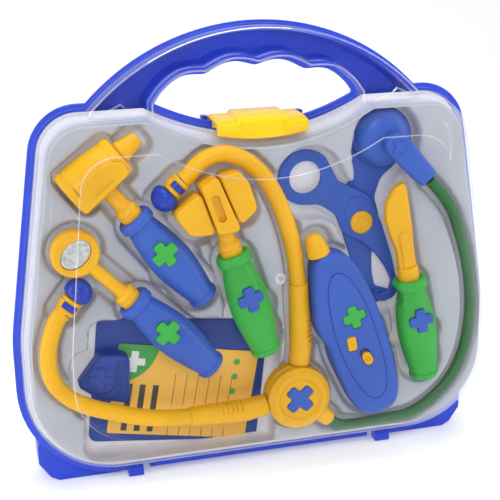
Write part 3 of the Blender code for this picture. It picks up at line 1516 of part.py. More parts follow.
def build_stethoscope(tube_finish, blue_finish, hose_finish):
    """Stethoscope: two ear tubes on a hub, a soft hose and the chest piece."""
    gap = HUB_RADIUS + SEAT_GAP
    points, radii = tube_with_sleeve(UPPER_TUBE, UPPER_TUBE_Y, UPPER_SLEEVE_END, gap)
    solid("stethoscope_tube_upper", swept(points, radii), tube_finish, smooth=40)
    points, radii = tube_with_sleeve(LOWER_TUBE, TUBE_Y, LOWER_SLEEVE_END, gap)
    solid("stethoscope_tube_lower", swept(points, radii), tube_finish, smooth=40)
    build_hub(tube_finish, blue_finish)
    build_ear("upper", UPPER_TUBE, UPPER_TUBE_Y, tube_finish, blue_finish)
    build_ear("lower", LOWER_TUBE, TUBE_Y, tube_finish, blue_finish)
    build_hose(hose_finish)
    build_chest_piece(blue_finish)


def build_hub(hub_finish, cross_finish):
    """Round hub with a raised rim, a hose nozzle and a diagonal cross let into its face."""
    holder = frame("stethoscope_hub_place", HUB_X, TUBE_Y, HUB_Z)
    deep = HUB_HALF_DEPTH
    rise = HUB_RIM_RISE
    profile = (
        (rise - deep, HUB_FACE_RADIUS - rise),
        (-deep, HUB_FACE_RADIUS),
        (-deep - rise / 2, HUB_FACE_RADIUS + rise),
        (-deep, HUB_FACE_RADIUS + 2 * rise),
        (rise - deep, HUB_RADIUS - rise),
        (2 * rise - deep, HUB_RADIUS),
        (deep - rise, HUB_RADIUS),
        (deep, HUB_RADIUS - rise),
        (deep, HUB_FACE_RADIUS),
        (rise, HUB_FACE_RADIUS),
    )
    hub = solid("stethoscope_hub", spun_deep(profile, 0.0, 0.0, WIDE_SIDES), hub_finish, holder)
    start = HUB_RADIUS * 0.8
    nozzle = (
        (start, NOZZLE_RADIUS),
        (NOZZLE_END * 0.8, NOZZLE_RADIUS),
        (NOZZLE_END * 0.8, NOZZLE_RADIUS * 1.15),
        (NOZZLE_END * 0.9, NOZZLE_RADIUS * 1.15),
        (NOZZLE_END * 0.9, NOZZLE_RADIUS),
        (NOZZLE_END, NOZZLE_RADIUS * 0.9),
    )
    tool = solid("tool", spun(nozzle), parent=holder)
    tool.rotation_euler = (0.0, NOZZLE_TURN, 0.0)
    combine(hub, tool, "UNION")
    cross = plus(0.0, 0.0, HUB_CROSS_SPAN, HUB_CROSS_ARM, CROSS_CORNER, math.pi / 4)
    face = rise - deep
    cut(hub, slab(grow(cross, GAP), -2 * deep, face + CROSS_THICKNESS / 2 + GAP))
    blend_faces(hub, 35)
    solid("stethoscope_hub_cross", slab(cross, face - CROSS_EDGE, face + CROSS_THICKNESS / 2, CROSS_EDGE),
          cross_finish, holder)


def ear_tilt(route):
    """Turn that points the Z axis along a tube, out of its ear end."""
    first, second = flat_route(route, TUBE_POINTS)[:2]
    return math.atan2(first.x - second.x, first.y - second.y)


def build_ear(side, route, depth, sleeve_finish, tip_finish):
    """Sleeve and rounded ear tip at the end of one tube."""
    holder = frame("ear_" + side, route[0][0], depth, route[0][1], ear_tilt(route))
    base = SEAT_GAP
    top = base + EAR_SLEEVE_LENGTH
    radius = EAR_SLEEVE_RADIUS
    profile = (
        (base, radius * 0.88),
        (base + EAR_SLEEVE_LENGTH * 0.12, radius),
        (base + EAR_SLEEVE_LENGTH * 0.80, radius),
        (top, radius * 0.90),
    )
    solid("ear_sleeve_" + side, spun(profile), sleeve_finish, holder, 35)
    start = top + SEAT_GAP
    tip = [(start + EAR_LENGTH * a, EAR_RADIUS * b) for a, b in EAR_TIP_SHARES]
    solid("ear_tip_" + side, spun(tip), tip_finish, holder, 50)


def build_hose(finish):
    """Soft hose from the hub to the chest piece, laid along its groove."""
    data = bpy.data.curves.new("stethoscope_hose", "CURVE")
    data.dimensions = "3D"
    data.bevel_depth = HOSE_RADIUS
    data.bevel_resolution = 2
    data.use_fill_caps = True
    points = smooth_route(HOSE_ROUTE, HOSE_POINTS)
    line = data.splines.new("POLY")
    line.points.add(len(points) - 1)
    for slot, point in zip(line.points, points):
        slot.co = (*point, 1.0)
    hose = bpy.data.objects.new("stethoscope_hose", data)
    bpy.context.collection.objects.link(hose)
    data.materials.append(finish)


def build_chest_piece(finish):
    """Chest piece: flat disc, dome and the connector that takes the hose."""
    holder = frame("chest_piece", CHEST_X, CHEST_BACK, CHEST_Z)
    ring_deep = CHEST_RING_DEPTH
    edge = CHEST_PLATE_THICKNESS
    radius = CHEST_RADIUS
    disc = (
        (0.0, radius - edge),
        (-edge / 2, radius),
        (edge - ring_deep, radius),
        (-ring_deep, radius - edge),
    )
    solid("chest_disc", spun_deep(disc, 0.0, 0.0, WIDE_SIDES), finish, holder, 35)
    start = -ring_deep - GAP
    low = start - CHEST_DOME_DEPTH + GAP
    front = CHEST_FRONT_RADIUS
    dome = (
        (start, radius * 0.9),
        (start - edge, radius * 0.92),
        (start - 2 * edge, front),
        (low + 3 * edge, front),
        (low + edge, front * 0.92),
        (low, front * 0.78),
    )
    solid("chest_dome", spun_deep(dome, 0.0, 0.0, WIDE_SIDES), finish, holder, 35)
    mount = frame("connector_place", CONNECTOR_X, CONNECTOR_Y, CONNECTOR_Z, CONNECTOR_TILT)
    head = CONNECTOR_HEAD_HALF_WIDTH
    end = CONNECTOR_END_HALF_WIDTH
    outline = rounded(
        (
            (-head, -head, head * 0.8),
            (head, -head, head * 0.8),
            (end, CONNECTOR_LENGTH, CONNECTOR_CORNER),
            (-end, CONNECTOR_LENGTH, CONNECTOR_CORNER),
        )
    )
    deep = CONNECTOR_HALF_DEPTH
    edge = CONNECTOR_EDGE
    body = solid("chest_connector", slab(outline, -deep, deep, edge, edge), finish, mount)
    relief = plus(0.0, 0.0, CONNECTOR_CROSS_SPAN, CONNECTOR_CROSS_ARM, CROSS_EDGE)
    add(body, slab(relief, -deep - CONNECTOR_CROSS_RISE, -deep / 2))
    blend_faces(body, 35)


def build_clipboard(board_finish, card_finish):
    """Clipboard with its clip and a record card."""
    holder = frame("clipboard", BOARD_X, BOARD_FACE_Y, BOARD_Z, BOARD_TILT)
    outline = box(0.0, 0.0, BOARD_LENGTH, BOARD_WIDTH, BOARD_CORNER)
    edge = BOARD_THICKNESS / 4
    solid("clipboard_board", slab(outline, 0.0, BOARD_THICKNESS, edge, edge), board_finish, holder)
    place = frame("card_place", CARD_X, BOARD_FACE_Y, CARD_Z, CARD_TILT)
    card = box(0.0, 0.0, CARD_LENGTH, CARD_WIDTH, CARD_CORNER)
    solid("record_card", slab(card, -GAP - CARD_THICKNESS, -GAP), card_finish, place)
    back = BOARD_FACE_Y - CARD_THICKNESS - 2 * GAP
    mount = frame("clip_place", CLIP_X, back, CLIP_Z, 0.0)
    size = CLIP_LENGTH
    outline = rounded([(size * a, size * b, size * c) for a, b, c in CLIP_SHARES])
    clip = solid("clipboard_clip", slab(outline, -CLIP_HEIGHT, 0.0, CLIP_EDGE, 0.0), board_finish, mount)
    for ridge in range(CLIP_RIDGES):
        x = size * 0.40 - (2 * ridge + 1) * CLIP_RIDGE_WIDTH
        bar = box(x, 0.0, CLIP_RIDGE_WIDTH, size * 0.72, 0.0)
        add(clip, slab(bar, -CLIP_HEIGHT - CLIP_RIDGE_RISE, -CLIP_HEIGHT / 2))
    emblem = circle(-size * 0.04, size * 0.06, CLIP_EMBLEM_RADIUS, WIDE_SIDES)
    front = -CLIP_HEIGHT - CLIP_EMBLEM_RISE
    add(clip, slab(emblem, front, -CLIP_HEIGHT / 2))
    span = CLIP_EMBLEM_RADIUS * 1.4
    relief = plus(-size * 0.04, size * 0.06, span, CLIP_EMBLEM_RADIUS * 0.45, CROSS_EDGE * 0.3)
    cut(clip, slab(relief, front - OVERRUN, -CLIP_HEIGHT - CLIP_EMBLEM_RISE / 4))
    blend_faces(clip, 35)


def grip_pocket(x, z, tilt, y):
    """Pocket under one hand grip: outline in the case frame and depth of its floor."""
    radius = GRIP_BODY_RADIUS
    outline = capsule(0.0, radius * 0.8, GRIP_LENGTH - radius * 0.6, radius + POCKET_SIDE)
    return turned_in_plane(outline, x, z, tilt), y + radius + SEAT_GAP


def stem_pocket(x, z, tilt, y, low, high, radius):
    """Pocket under a neck or stem."""
    outline = capsule(0.0, low, high, radius + POCKET_SIDE)
    return turned_in_plane(outline, x, z, tilt), y + radius + SEAT_GAP


def pockets():
    """Every pocket of the tray as an outline and the depth of its floor."""
    side = POCKET_SIDE
    corner = POCKET_CORNER
    found = []
    place = (OTOSCOPE_X, OTOSCOPE_Z, OTOSCOPE_TILT)
    found.append(grip_pocket(*place, OTOSCOPE_Y))
    low = GRIP_LENGTH * 0.8
    found.append(stem_pocket(*place, OTOSCOPE_Y, low, OTOSCOPE_AXIS_HEIGHT * 0.9, COLLAR_RADIUS))
    length = OTOSCOPE_HEAD_LENGTH + side
    height = 2 * OTOSCOPE_EYE_RADIUS + side
    barrel = box(0.0, OTOSCOPE_AXIS_HEIGHT, length, height, corner)
    found.append((turned_in_plane(barrel, *place), OTOSCOPE_Y + OTOSCOPE_EYE_RADIUS + SEAT_GAP))
    reach = SPECULUM_LENGTH + 2 * side
    cone = box((OTOSCOPE_HEAD_LENGTH + reach) / 2, OTOSCOPE_AXIS_HEIGHT, reach,
               2 * (SPECULUM_BASE_RADIUS + side), corner)
    found.append((turned_in_plane(cone, *place), OTOSCOPE_Y + SPECULUM_BASE_RADIUS + SEAT_GAP))
    place = (HAMMER_X, HAMMER_Z, HAMMER_TILT)
    found.append(grip_pocket(*place, HAMMER_Y))
    found.append(stem_pocket(*place, HAMMER_Y, low, HAMMER_HEAD_CENTRE, COLLAR_RADIUS))
    across = (HAMMER_RIGHT_REACH - HAMMER_LEFT_REACH) / 2
    head = box(across, HAMMER_HEAD_CENTRE, HAMMER_LEFT_REACH + HAMMER_RIGHT_REACH + 2 * side,
               2 * (HAMMER_BAND_HALF_HEIGHT + side), 2 * corner)
    found.append((turned_in_plane(head, *place), HAMMER_Y + HAMMER_BAND_HALF_DEPTH + SEAT_GAP))
    place = (MIRROR_X, MIRROR_Z, MIRROR_TILT)
    found.append(grip_pocket(*place, MIRROR_Y))
    found.append(stem_pocket(*place, MIRROR_Y, low, MIRROR_HEAD_CENTRE, COLLAR_RADIUS))
    head = circle(0.0, MIRROR_HEAD_CENTRE, MIRROR_HEAD_RADIUS + side, WIDE_SIDES)
    found.append((turned_in_plane(head, *place), MIRROR_Y + COLLAR_RADIUS + SEAT_GAP))
    place = (SCALPEL_X, SCALPEL_Z, SCALPEL_TILT)
    found.append(grip_pocket(*place, SCALPEL_Y))
    found.append(stem_pocket(*place, SCALPEL_Y, low, SCALPEL_STEM_END, COLLAR_RADIUS))
    wide = SCALPEL_BLADE_LEFT + SCALPEL_BLADE_RIGHT
    middle = (SCALPEL_BLADE_RIGHT - SCALPEL_BLADE_LEFT) / 2
    blade = box(middle, (SCALPEL_STEM_END + SCALPEL_BLADE_END) / 2, wide + 2 * side,
                SCALPEL_BLADE_END - SCALPEL_STEM_END + 2 * side, corner)
    found.append((turned_in_plane(blade, *place), SCALPEL_Y + COLLAR_RADIUS + SEAT_GAP))
    place = (THERMOMETER_X, THERMOMETER_Z, THERMOMETER_TILT)
    body = turned_in_plane(grow(thermometer_outline(), side), *place)
    found.append((body, THERMOMETER_Y + THERMOMETER_HALF_DEPTH + SEAT_GAP))
    tip_low = THERMOMETER_LENGTH * 0.9
    tip_high = THERMOMETER_LENGTH + THERMOMETER_TIP_LENGTH - THERMOMETER_TIP_RADIUS
    found.append(stem_pocket(*place, THERMOMETER_Y, tip_low, tip_high, THERMOMETER_TIP_RADIUS))
    found.extend(scissor_pockets())
    found.extend(stethoscope_pockets())
    recess = box(0.0, 0.0, RECESS_LENGTH, RECESS_WIDTH, RECESS_CORNER)
    floor = BOARD_FACE_Y + BOARD_THICKNESS + SEAT_GAP
    found.append((turned_in_plane(recess, RECESS_X, BOARD_Z, RECESS_TILT), floor))
    room = CLIP_LENGTH * 0.56 + side
    found.append((box(CLIP_X, CLIP_Z, 2 * room, 2 * room, room * 0.5), floor))
    found.extend(finger_notches())
    return found


def scissor_pockets():
    """Pockets under both rings, the arms and the blades of the scissors."""
    place = (SCISSORS_X, SCISSORS_Z, SCISSORS_TILT)
    floor = SCISSORS_Y + SCISSORS_THICKNESS + GAP / 2 + SEAT_GAP
    side = SCISSORS_SIDE
    found = []
    for hand in (-1, 1):
        outline = circle(hand * RING_X, RING_Z, RING_RADIUS + side, WIDE_SIDES)
        found.append((turned_in_plane(outline, *place), floor))
    low = -BLADE_LENGTH - BLADE_TIP_RADIUS
    body = rounded(
        (
            (0.7 * BLADE_BOW + side, low - side, BLADE_TIP_RADIUS),
            (BLADE_BOW + side, 0.0, 2 * BLADE_TIP_RADIUS),
            (RING_X, RING_Z, 0.0),
            (-RING_X, RING_Z, 0.0),
            (-BLADE_BOW - side, 0.0, 2 * BLADE_TIP_RADIUS),
            (-0.7 * BLADE_BOW - side, low - side, BLADE_TIP_RADIUS),
        )
    )
    found.append((turned_in_plane(body, *place), floor))
    return found


def flat_route(places, count):
    """Points of a smooth route in the plane of the tray."""
    route = [(place[0], 0.0, place[-1]) for place in places]
    return [Vector((point.x, point.z)) for point in smooth_route(route, count)]


def stethoscope_pockets():
    """Grooves under the tubes and the hose, and pockets under the hub, ears and chest piece."""
    found = []
    width = TUBE_RADIUS + TUBE_POCKET_SIDE
    reach = EAR_SLEEVE_LENGTH + EAR_LENGTH
    routes = (
        (UPPER_TUBE, UPPER_TUBE_Y, UPPER_SLEEVE_END),
        (LOWER_TUBE, TUBE_Y, LOWER_SLEEVE_END),
    )
    for route, depth, end in routes:
        sleeve_floor = depth + RIB_RADIUS + SEAT_GAP
        found.append((channel(flat_route(route, 11), width), depth + TUBE_RADIUS + SEAT_GAP))
        outline = capsule(0.0, 0.0, reach - EAR_RADIUS * 0.6, EAR_RADIUS + TUBE_POCKET_SIDE)
        outline = turned_in_plane(outline, *route[0], ear_tilt(route))
        found.append((outline, depth + EAR_RADIUS + SEAT_GAP))
        ends = [Vector(route[-1]), Vector(end)]
        hub = Vector((HUB_X, HUB_Z))
        path = [ends[0], ends[1], ends[1].lerp(hub, 0.5)]
        found.append((channel(path, RIB_RADIUS + TUBE_POCKET_SIDE), sleeve_floor))
    hub_floor = TUBE_Y + HUB_HALF_DEPTH + SEAT_GAP
    found.append((circle(HUB_X, HUB_Z, HUB_RADIUS + TUBE_POCKET_SIDE, WIDE_SIDES), hub_floor))
    deepest = max(point[1] for point in HOSE_ROUTE)
    found.append((channel(flat_route(HOSE_ROUTE, 16), HOSE_RADIUS + TUBE_POCKET_SIDE),
                  deepest + HOSE_RADIUS + SEAT_GAP))
    nozzle = capsule(0.0, 0.0, NOZZLE_END, NOZZLE_RADIUS * 1.15 + TUBE_POCKET_SIDE)
    found.append((turned_in_plane(nozzle, HUB_X, HUB_Z, NOZZLE_TURN),
                  TUBE_Y + NOZZLE_RADIUS * 1.15 + SEAT_GAP))
    disc = circle(CHEST_X, CHEST_Z, CHEST_RADIUS + POCKET_SIDE * 0.6, WIDE_SIDES)
    found.append((disc, CHEST_BACK + SEAT_GAP))
    return found


def finger_notches():
    """Round notches beside the grips where fingers reach in."""
    found = []
    floor = FINGER_NOTCH_DEPTH - TRAY_FACE_DEPTH
    grips = (
        (OTOSCOPE_X, OTOSCOPE_Z, OTOSCOPE_TILT),
        (HAMMER_X, HAMMER_Z, HAMMER_TILT),
        (SCALPEL_X, SCALPEL_Z, SCALPEL_TILT),
    )
    for place in grips:
        half = FINGER_NOTCH_HALF_WIDTH
        notch = box(0.0, GRIP_LENGTH * 0.42, 2 * half, 2 * FINGER_NOTCH_RADIUS, FINGER_NOTCH_RADIUS * 0.95)
        found.append((turned_in_plane(notch, *place), floor))
    return found


def well_rings(outline, floor):
    """Outer rings of one pocket, from inside the sheet down past its floor."""
    sheet = TRAY_SHEET
    mouth = grow(outline, sheet + POCKET_DRAFT)
    return [ring(mouth, sheet / 2 - TRAY_FACE_DEPTH), ring(grow(outline, sheet), floor + sheet)]


def build_tray(finish):
    """Formed tray: a thin sheet with a pocket under every toy, its rim seated in the shell."""
    rim = rim_outline()
    shoulder = shoulder_outline()
    sheet = TRAY_SHEET
    face = -TRAY_FACE_DEPTH
    edge = TRAY_EDGE
    rings = [
        ring(grow(shoulder, -TRAY_INSET - edge), face),
        ring(grow(shoulder, -TRAY_INSET - 0.3 * edge), face + 0.3 * edge),
        ring(grow(shoulder, -TRAY_INSET), face + edge),
        ring(grow(rim, -TRAY_SKIRT_IN), TRAY_FLANGE_FRONT),
        ring(grow(rim, -TRAY_FLANGE_IN), TRAY_FLANGE_FRONT),
        ring(grow(rim, -TRAY_FLANGE_IN), TRAY_FLANGE_BACK),
        ring(grow(rim, -TRAY_SKIRT_IN - sheet), TRAY_FLANGE_BACK),
        ring(grow(shoulder, -TRAY_INSET - sheet), face + edge + sheet / 2),
        ring(grow(shoulder, -TRAY_INSET - edge - sheet / 2), face + sheet),
    ]
    tray = solid("inner_tray", rings, finish)
    wells = pockets()
    walls = solid("tool", well_rings(*wells[0]))
    for outline, floor in wells[1:]:
        add(walls, well_rings(outline, floor))
    inside = [
        ring(grow(shoulder, -TRAY_INSET - sheet / 2), face - OVERRUN),
        ring(grow(shoulder, -TRAY_INSET - sheet / 2), face + edge),
        ring(grow(rim, -TRAY_SKIRT_IN - sheet / 2), TRAY_FLANGE_BACK),
    ]
    combine(walls, solid("tool", inside), "INTERSECT")
    combine(tray, walls, "UNION")
    for outline, floor in wells:
        wide = grow(outline, POCKET_DRAFT * (1 + OVERRUN / (floor - face)))
        cut(tray, [ring(wide, face - OVERRUN), ring(outline, floor)])
    return tray


def centre_depth():
    """Move what stands on its own so that the middle of the case's depth lies over the origin."""
    middle = (LID_DEPTH + MOULD_MARK_RISE - SHELL_DEPTH) / 2
    for item in bpy.data.objects:
        if item.parent is None:
            item.location.y += middle


def build_all():
    """Build the whole case."""
    clear_scene()
    build_lid(material("clear_lid_plastic", (0.86, 0.90, 0.93), 0.08, 0.0, 0.22))
    build_shell(material("case_blue_plastic", (0.02, 0.06, 0.56), 0.28))
    build_latch(material("latch_yellow_plastic", (0.93, 0.63, 0.01), 0.30))
    build_tray(material("tray_white_sheet", (0.80, 0.81, 0.87), 0.35))
    blue = material("toy_blue_plastic", (0.036, 0.10, 0.42), 0.40)
    green = material("toy_green_plastic", (0.06, 0.50, 0.08), 0.40)
    yellow = material("toy_yellow_plastic", (0.90, 0.52, 0.01), 0.36)
    build_otoscope(yellow, blue, green)
    build_hammer(yellow, green, blue)
    build_mirror(yellow, material("mirror_foil", (0.62, 0.63, 0.62), 0.30, 1.0), blue, green)
    build_scalpel(yellow, green, blue)
    build_thermometer(blue, yellow, green)
    build_scissors(blue, yellow)
    build_stethoscope(yellow, blue, material("hose_green_rubber", (0.03, 0.18, 0.045), 0.45))
    board = material("board_blue_plastic", (0.03, 0.07, 0.32), 0.40)
    build_clipboard(board, material("card_paper", (0.85, 0.48, 0.06), 0.60))
    centre_depth()


build_all()
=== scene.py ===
"""Toy doctor case dressed for its pictures: clear lid, blue shell, formed tray and the toys in it.

Metres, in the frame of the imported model: X runs right, Y into the case and Z up. The lid faces -Y.
"""

import logging
import math
from dataclasses import dataclass
from enum import Enum
from functools import partialmethod
from typing import Callable

import bmesh
import bpy
import numpy as np
from mathutils import Matrix, Vector


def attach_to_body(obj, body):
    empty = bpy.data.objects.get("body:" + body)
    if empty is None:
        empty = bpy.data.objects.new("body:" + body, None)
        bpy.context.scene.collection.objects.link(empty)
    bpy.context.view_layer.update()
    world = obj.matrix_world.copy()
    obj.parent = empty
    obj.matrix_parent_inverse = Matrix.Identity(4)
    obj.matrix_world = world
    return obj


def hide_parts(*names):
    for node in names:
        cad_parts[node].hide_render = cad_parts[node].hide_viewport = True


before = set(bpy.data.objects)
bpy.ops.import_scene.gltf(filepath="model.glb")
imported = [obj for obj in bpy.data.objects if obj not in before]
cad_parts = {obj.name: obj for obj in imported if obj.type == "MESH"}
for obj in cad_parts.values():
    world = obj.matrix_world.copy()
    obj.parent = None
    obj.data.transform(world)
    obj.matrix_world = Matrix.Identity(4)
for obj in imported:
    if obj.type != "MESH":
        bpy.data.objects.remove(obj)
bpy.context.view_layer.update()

LOG = logging.getLogger("toy doctor case")
GAP = 0.0003
SEAT = 0.0004
OVERRUN = 0.002
SHIFT = Matrix.Translation((0.0, 0.00425, 0.0))
HINGE_PLACES = (-0.080, 0.080)
HINGE_HEIGHT = 0.0025
KNUCKLE = 0.0045
LUG = 0.0020
HANDLE_WALL = 0.0018
COLLAR_BASE = 0.0664
COLLAR_RADIUS = 0.0066
STEM_START = 0.0528
POCKET_ROOM = 0.002
TUBE_ROOM = 0.0012
NOTCH_FLOOR = -0.0060
SHARPEST_CORNER = 0.4
ROUTE_STEPS = 12
RIM_STEPS = 6

Outline = list[Vector]
Ring = list[Vector]
Well = tuple[Outline, float]


class Value:
    """A number that varies over a surface; sums and products of values become Math nodes."""

    def __init__(self, graph: "Graph", socket: bpy.types.NodeSocket) -> None:
        """Wrap an output socket of a graph."""
        self.graph = graph
        self.socket = socket

    def _math(self, operation: str, other: object = 0.0) -> "Value":
        """One Math node on the value and another value or number."""
        node = self.graph.node("ShaderNodeMath", {"operation": operation}, {0: self, 1: other})
        return Value(self.graph, node.outputs[0])

    __add__ = __radd__ = partialmethod(_math, "ADD")
    __mul__ = __rmul__ = partialmethod(_math, "MULTIPLY")
    __sub__ = partialmethod(_math, "SUBTRACT")
    __pow__ = partialmethod(_math, "POWER")
    __abs__ = partialmethod(_math, "ABSOLUTE")
    largest = partialmethod(_math, "MAXIMUM")
    below = partialmethod(_math, "LESS_THAN")
    remainder = partialmethod(_math, "FLOORED_MODULO")

    def ramp(self, low: float, high: float) -> "Value":
        """Zero at low, one at high, smooth between and level outside.

        Args:
            low: Value where the ramp starts.
            high: Value where it ends.

        Returns:
            The share along the ramp, from zero to one.
        """
        settings = {"interpolation_type": "SMOOTHSTEP"}
        node = self.graph.node("ShaderNodeMapRange", settings, {0: self, 1: low, 2: high})
        return Value(self.graph, node.outputs[0])


class Graph:
    """The node tree of one material."""

    def __init__(self, name: str) -> None:
        """Start an empty material of that name.

        Args:
            name: The material's name.
        """
        self.material = bpy.data.materials.new(name)
        self.material.use_nodes = True
        self.tree = self.material.node_tree
        self.tree.nodes.clear()
        self._place: bpy.types.NodeSocket | None = None

    def node(self, kind: str, settings: dict | None = None, values: dict | None = None) -> bpy.types.Node:
        """Add one node.

        Args:
            kind: Type of the node.
            settings: Properties of the node, set first.
            values: Number, colour, Value or socket for each input, by name or place.

        Returns:
            The node.
        """
        node = self.tree.nodes.new(kind)
        for key, value in (settings or {}).items():
            setattr(node, key, value)
        for key, value in (values or {}).items():
            entry = node.inputs[key]
            if isinstance(value, Value):
                value = value.socket
            if isinstance(value, bpy.types.NodeSocket):
                self.tree.links.new(value, entry)
            else:
                entry.default_value = value
        return node

    def place(self) -> bpy.types.NodeSocket:
        """Position on the surface, in the piece's own frame.

        Returns:
            The socket with the position in metres.
        """
        if self._place is None:
            self._place = self.node("ShaderNodeTexCoord").outputs["Object"]
        return self._place

    def axes(self) -> tuple[Value, Value, Value]:
        """The three coordinates of the place on the surface."""
        parts = self.node("ShaderNodeSeparateXYZ", None, {0: self.place()})
        return tuple(Value(self, parts.outputs[at]) for at in range(3))

    def noise(self, size: float, detail: float = 2.0) -> Value:
        """Soft noise round one half, its blotches of a size in metres, with finer octaves."""
        values = {"Vector": self.place(), "Scale": 1.0 / size, "Detail": detail}
        return Value(self, self.node("ShaderNodeTexNoise", None, values).outputs[0])

    def cells(self, size: float) -> Value:
        """Distance to the nearest point of a scatter with a given spacing."""
        values = {"Vector": self.place(), "Scale": 1.0 / size}
        return Value(self, self.node("ShaderNodeTexVoronoi", None, values).outputs["Distance"])

    def mixed(self, share: object, first: object, second: object) -> bpy.types.NodeSocket:
        """A colour between two colours or sockets; a share of one gives the second.

        Args:
            share: How much of the second colour shows, from zero to one.
            first: Colour at zero.
            second: Colour at one.

        Returns:
            The socket with the mixed colour.
        """
        ends = [(*part, 1.0) if isinstance(part, tuple) else part for part in (first, second)]
        node = self.node("ShaderNodeMix", {"data_type": "RGBA"}, {0: share, 6: ends[0], 7: ends[1]})
        return node.outputs[2]

    def bump(self, height: Value, rise: float) -> bpy.types.NodeSocket:
        """A normal from a height that runs from zero to one, one standing for a rise in metres."""
        return self.node("ShaderNodeBump", None, {"Distance": rise, "Height": height}).outputs[0]

    def principled(self, values: dict) -> bpy.types.NodeSocket:
        """A shader with the given inputs."""
        return self.node("ShaderNodeBsdfPrincipled", None, values).outputs[0]

    def finish(self, shader: bpy.types.NodeSocket) -> bpy.types.Material:
        """Send a shader to the surface and return the material."""
        self.node("ShaderNodeOutputMaterial", None, {"Surface": shader})
        return self.material


def shade(colour: tuple, share: float) -> tuple:
    """A colour made darker or lighter by a share."""
    return tuple(min(1.0, part * share) for part in colour)


def clamped(value: float) -> float:
    """A number held between zero and one."""
    return min(max(value, 0.0), 1.0)


def smoothed(share: float | np.ndarray) -> float | np.ndarray:
    """Shares from zero to one, eased at both ends."""
    return share * share * (3 - 2 * share)


@dataclass(frozen=True)
class Look:
    """A look of a surface: its material's name and the name of its slot in the record."""

    name: str
    slot: str


@dataclass(frozen=True)
class MouldedPlastic(Look):
    """Moulded toy plastic: faint flow marks in the colour, fine grain and rubbed patches."""

    colour: tuple
    roughness: float = 0.34
    grain: float = 0.00002
    drift: float = 0.10
    glow: float = 0.0

    def material(self) -> bpy.types.Material:
        """The plastic's material.

        Returns:
            The finished material.
        """
        graph = Graph(self.name)
        flow = graph.noise(0.045, 3.0).ramp(0.3, 0.7)
        fine = graph.noise(0.0016, 2.0)
        rubbed = graph.noise(0.012, 4.0).ramp(0.45, 0.75)
        low = shade(self.colour, 1 - self.drift)
        high = shade(self.colour, 1 + self.drift)
        colour = graph.mixed(flow * 0.8 + fine * 0.2, low, high)
        return graph.finish(graph.principled({
            "Base Color": colour,
            "Roughness": self.roughness + rubbed * 0.07 + fine * 0.04,
            "Normal": graph.bump(fine, self.grain),
            "Subsurface Weight": self.glow,
            "Subsurface Scale": 0.004,
            "Specular IOR Level": 0.28,
            "Coat Weight": 0.08,
            "Coat Roughness": 0.12,
        }))


@dataclass(frozen=True)
class ClearPlastic(Look):
    """Thin clear moulding: see-through face on, whiter edge on, with painted highlight lines in thin bands of depth
    along its moulded steps and edges.
    """

    tint: tuple = (0.80, 0.83, 0.90)
    haze: float = 0.003
    edge: float = 0.66
    blur: float = 0.0001
    # Painted highlights: bands of depth (first, last, strength) drawn whiter as thin lines of light along the lid's
    # steps and edges.
    lines: tuple = ((-0.0319, -0.0324, 0.20), (-0.03065, -0.03165, 0.42), (-0.0112, -0.0120, 0.25),
                    (-0.0066, -0.0074, 0.40), (0.0022, 0.0013, 0.35))

    def material(self) -> bpy.types.Material:
        """The clear plastic's material.

        Returns:
            The finished material.
        """
        graph = Graph(self.name)
        ripple = graph.noise(0.020, 2.0)
        smear = graph.noise(0.050, 4.0).ramp(0.50, 0.80)
        facing = Value(graph, graph.node("ShaderNodeLayerWeight", None, {"Blend": 0.5}).outputs["Facing"])
        cover = facing ** 4.0 * self.edge + self.haze + smear * 0.001
        _, depth, _ = graph.axes()
        # Painted highlights: each band of depth is made whiter, as a thin line of light.
        for first, last, share in self.lines:
            cover = cover + depth.ramp(first, first - self.blur) * depth.ramp(last, last + self.blur) * share
        gloss = graph.principled({
            "Base Color": graph.mixed(smear, self.tint, shade(self.tint, 0.96)),
            "Roughness": 0.05 + smear * 0.03,
            "Normal": graph.bump(ripple, 0.00012),
            "Specular IOR Level": 1.0,
            "IOR": 3.0,
        })
        clear = graph.node("ShaderNodeBsdfTransparent", None, {"Color": (0.985, 0.99, 1.0, 1.0)})
        mix = graph.node("ShaderNodeMixShader", None, {0: cover, 1: clear.outputs[0], 2: gloss})
        return graph.finish(mix.outputs[0])


@dataclass(frozen=True)
class FormedSheet(Look):
    """Vacuum-formed white sheet: satin, faintly uneven, with painted light in its pockets: a lighter colour and a faint
    glow deeper down that lift their shade.
    """

    colour: tuple
    # deep is a lighter colour painted deeper in the pockets, as painted light against their shade.
    deep: tuple
    face: float
    floor: float

    def material(self) -> bpy.types.Material:
        """The sheet's material.

        Returns:
            The finished material.
        """
        graph = Graph(self.name)
        _, depth, _ = graph.axes()
        # Painted light: deeper into the pockets the colour turns lighter and the sheet glows, lifting the shade there.
        drawn = depth.ramp(self.face, self.floor)
        cloud = graph.noise(0.030, 3.0).ramp(0.3, 0.7)
        fine = graph.noise(0.0022, 2.0)
        colour = graph.mixed(drawn * 0.8 + cloud * 0.15, self.colour, self.deep)
        return graph.finish(graph.principled({
            "Base Color": colour,
            # Painted glow in the pockets, deepest on their floors.
            "Emission Color": graph.mixed(drawn, (0.0, 0.0, 0.0), (0.50, 0.46, 0.45)),
            "Emission Strength": 0.38,
            "Roughness": 0.33 + cloud * 0.10,
            "Normal": graph.bump(fine * 0.2 + graph.noise(0.018, 1.0), 0.00015),
            "Subsurface Weight": 0.1,
            "Subsurface Scale": 0.003,
        }))


@dataclass(frozen=True)
class CrinkledFoil(Look):
    """Silver foil of a toy mirror, crinkled under its clear film."""

    def material(self) -> bpy.types.Material:
        """The foil's material.

        Returns:
            The finished material.
        """
        graph = Graph(self.name)
        crease = graph.cells(0.0024)
        wave = graph.noise(0.0030, 4.0)
        tone = (crease * 0.6 + wave * 0.6).ramp(0.2, 0.9)
        return graph.finish(graph.principled({
            "Base Color": graph.mixed(tone, (0.36, 0.38, 0.34), (0.58, 0.60, 0.56)),
            "Metallic": 0.75,
            "Roughness": 0.30 + wave * 0.15,
            "Normal": graph.bump(crease + wave, 0.00025),
        }))


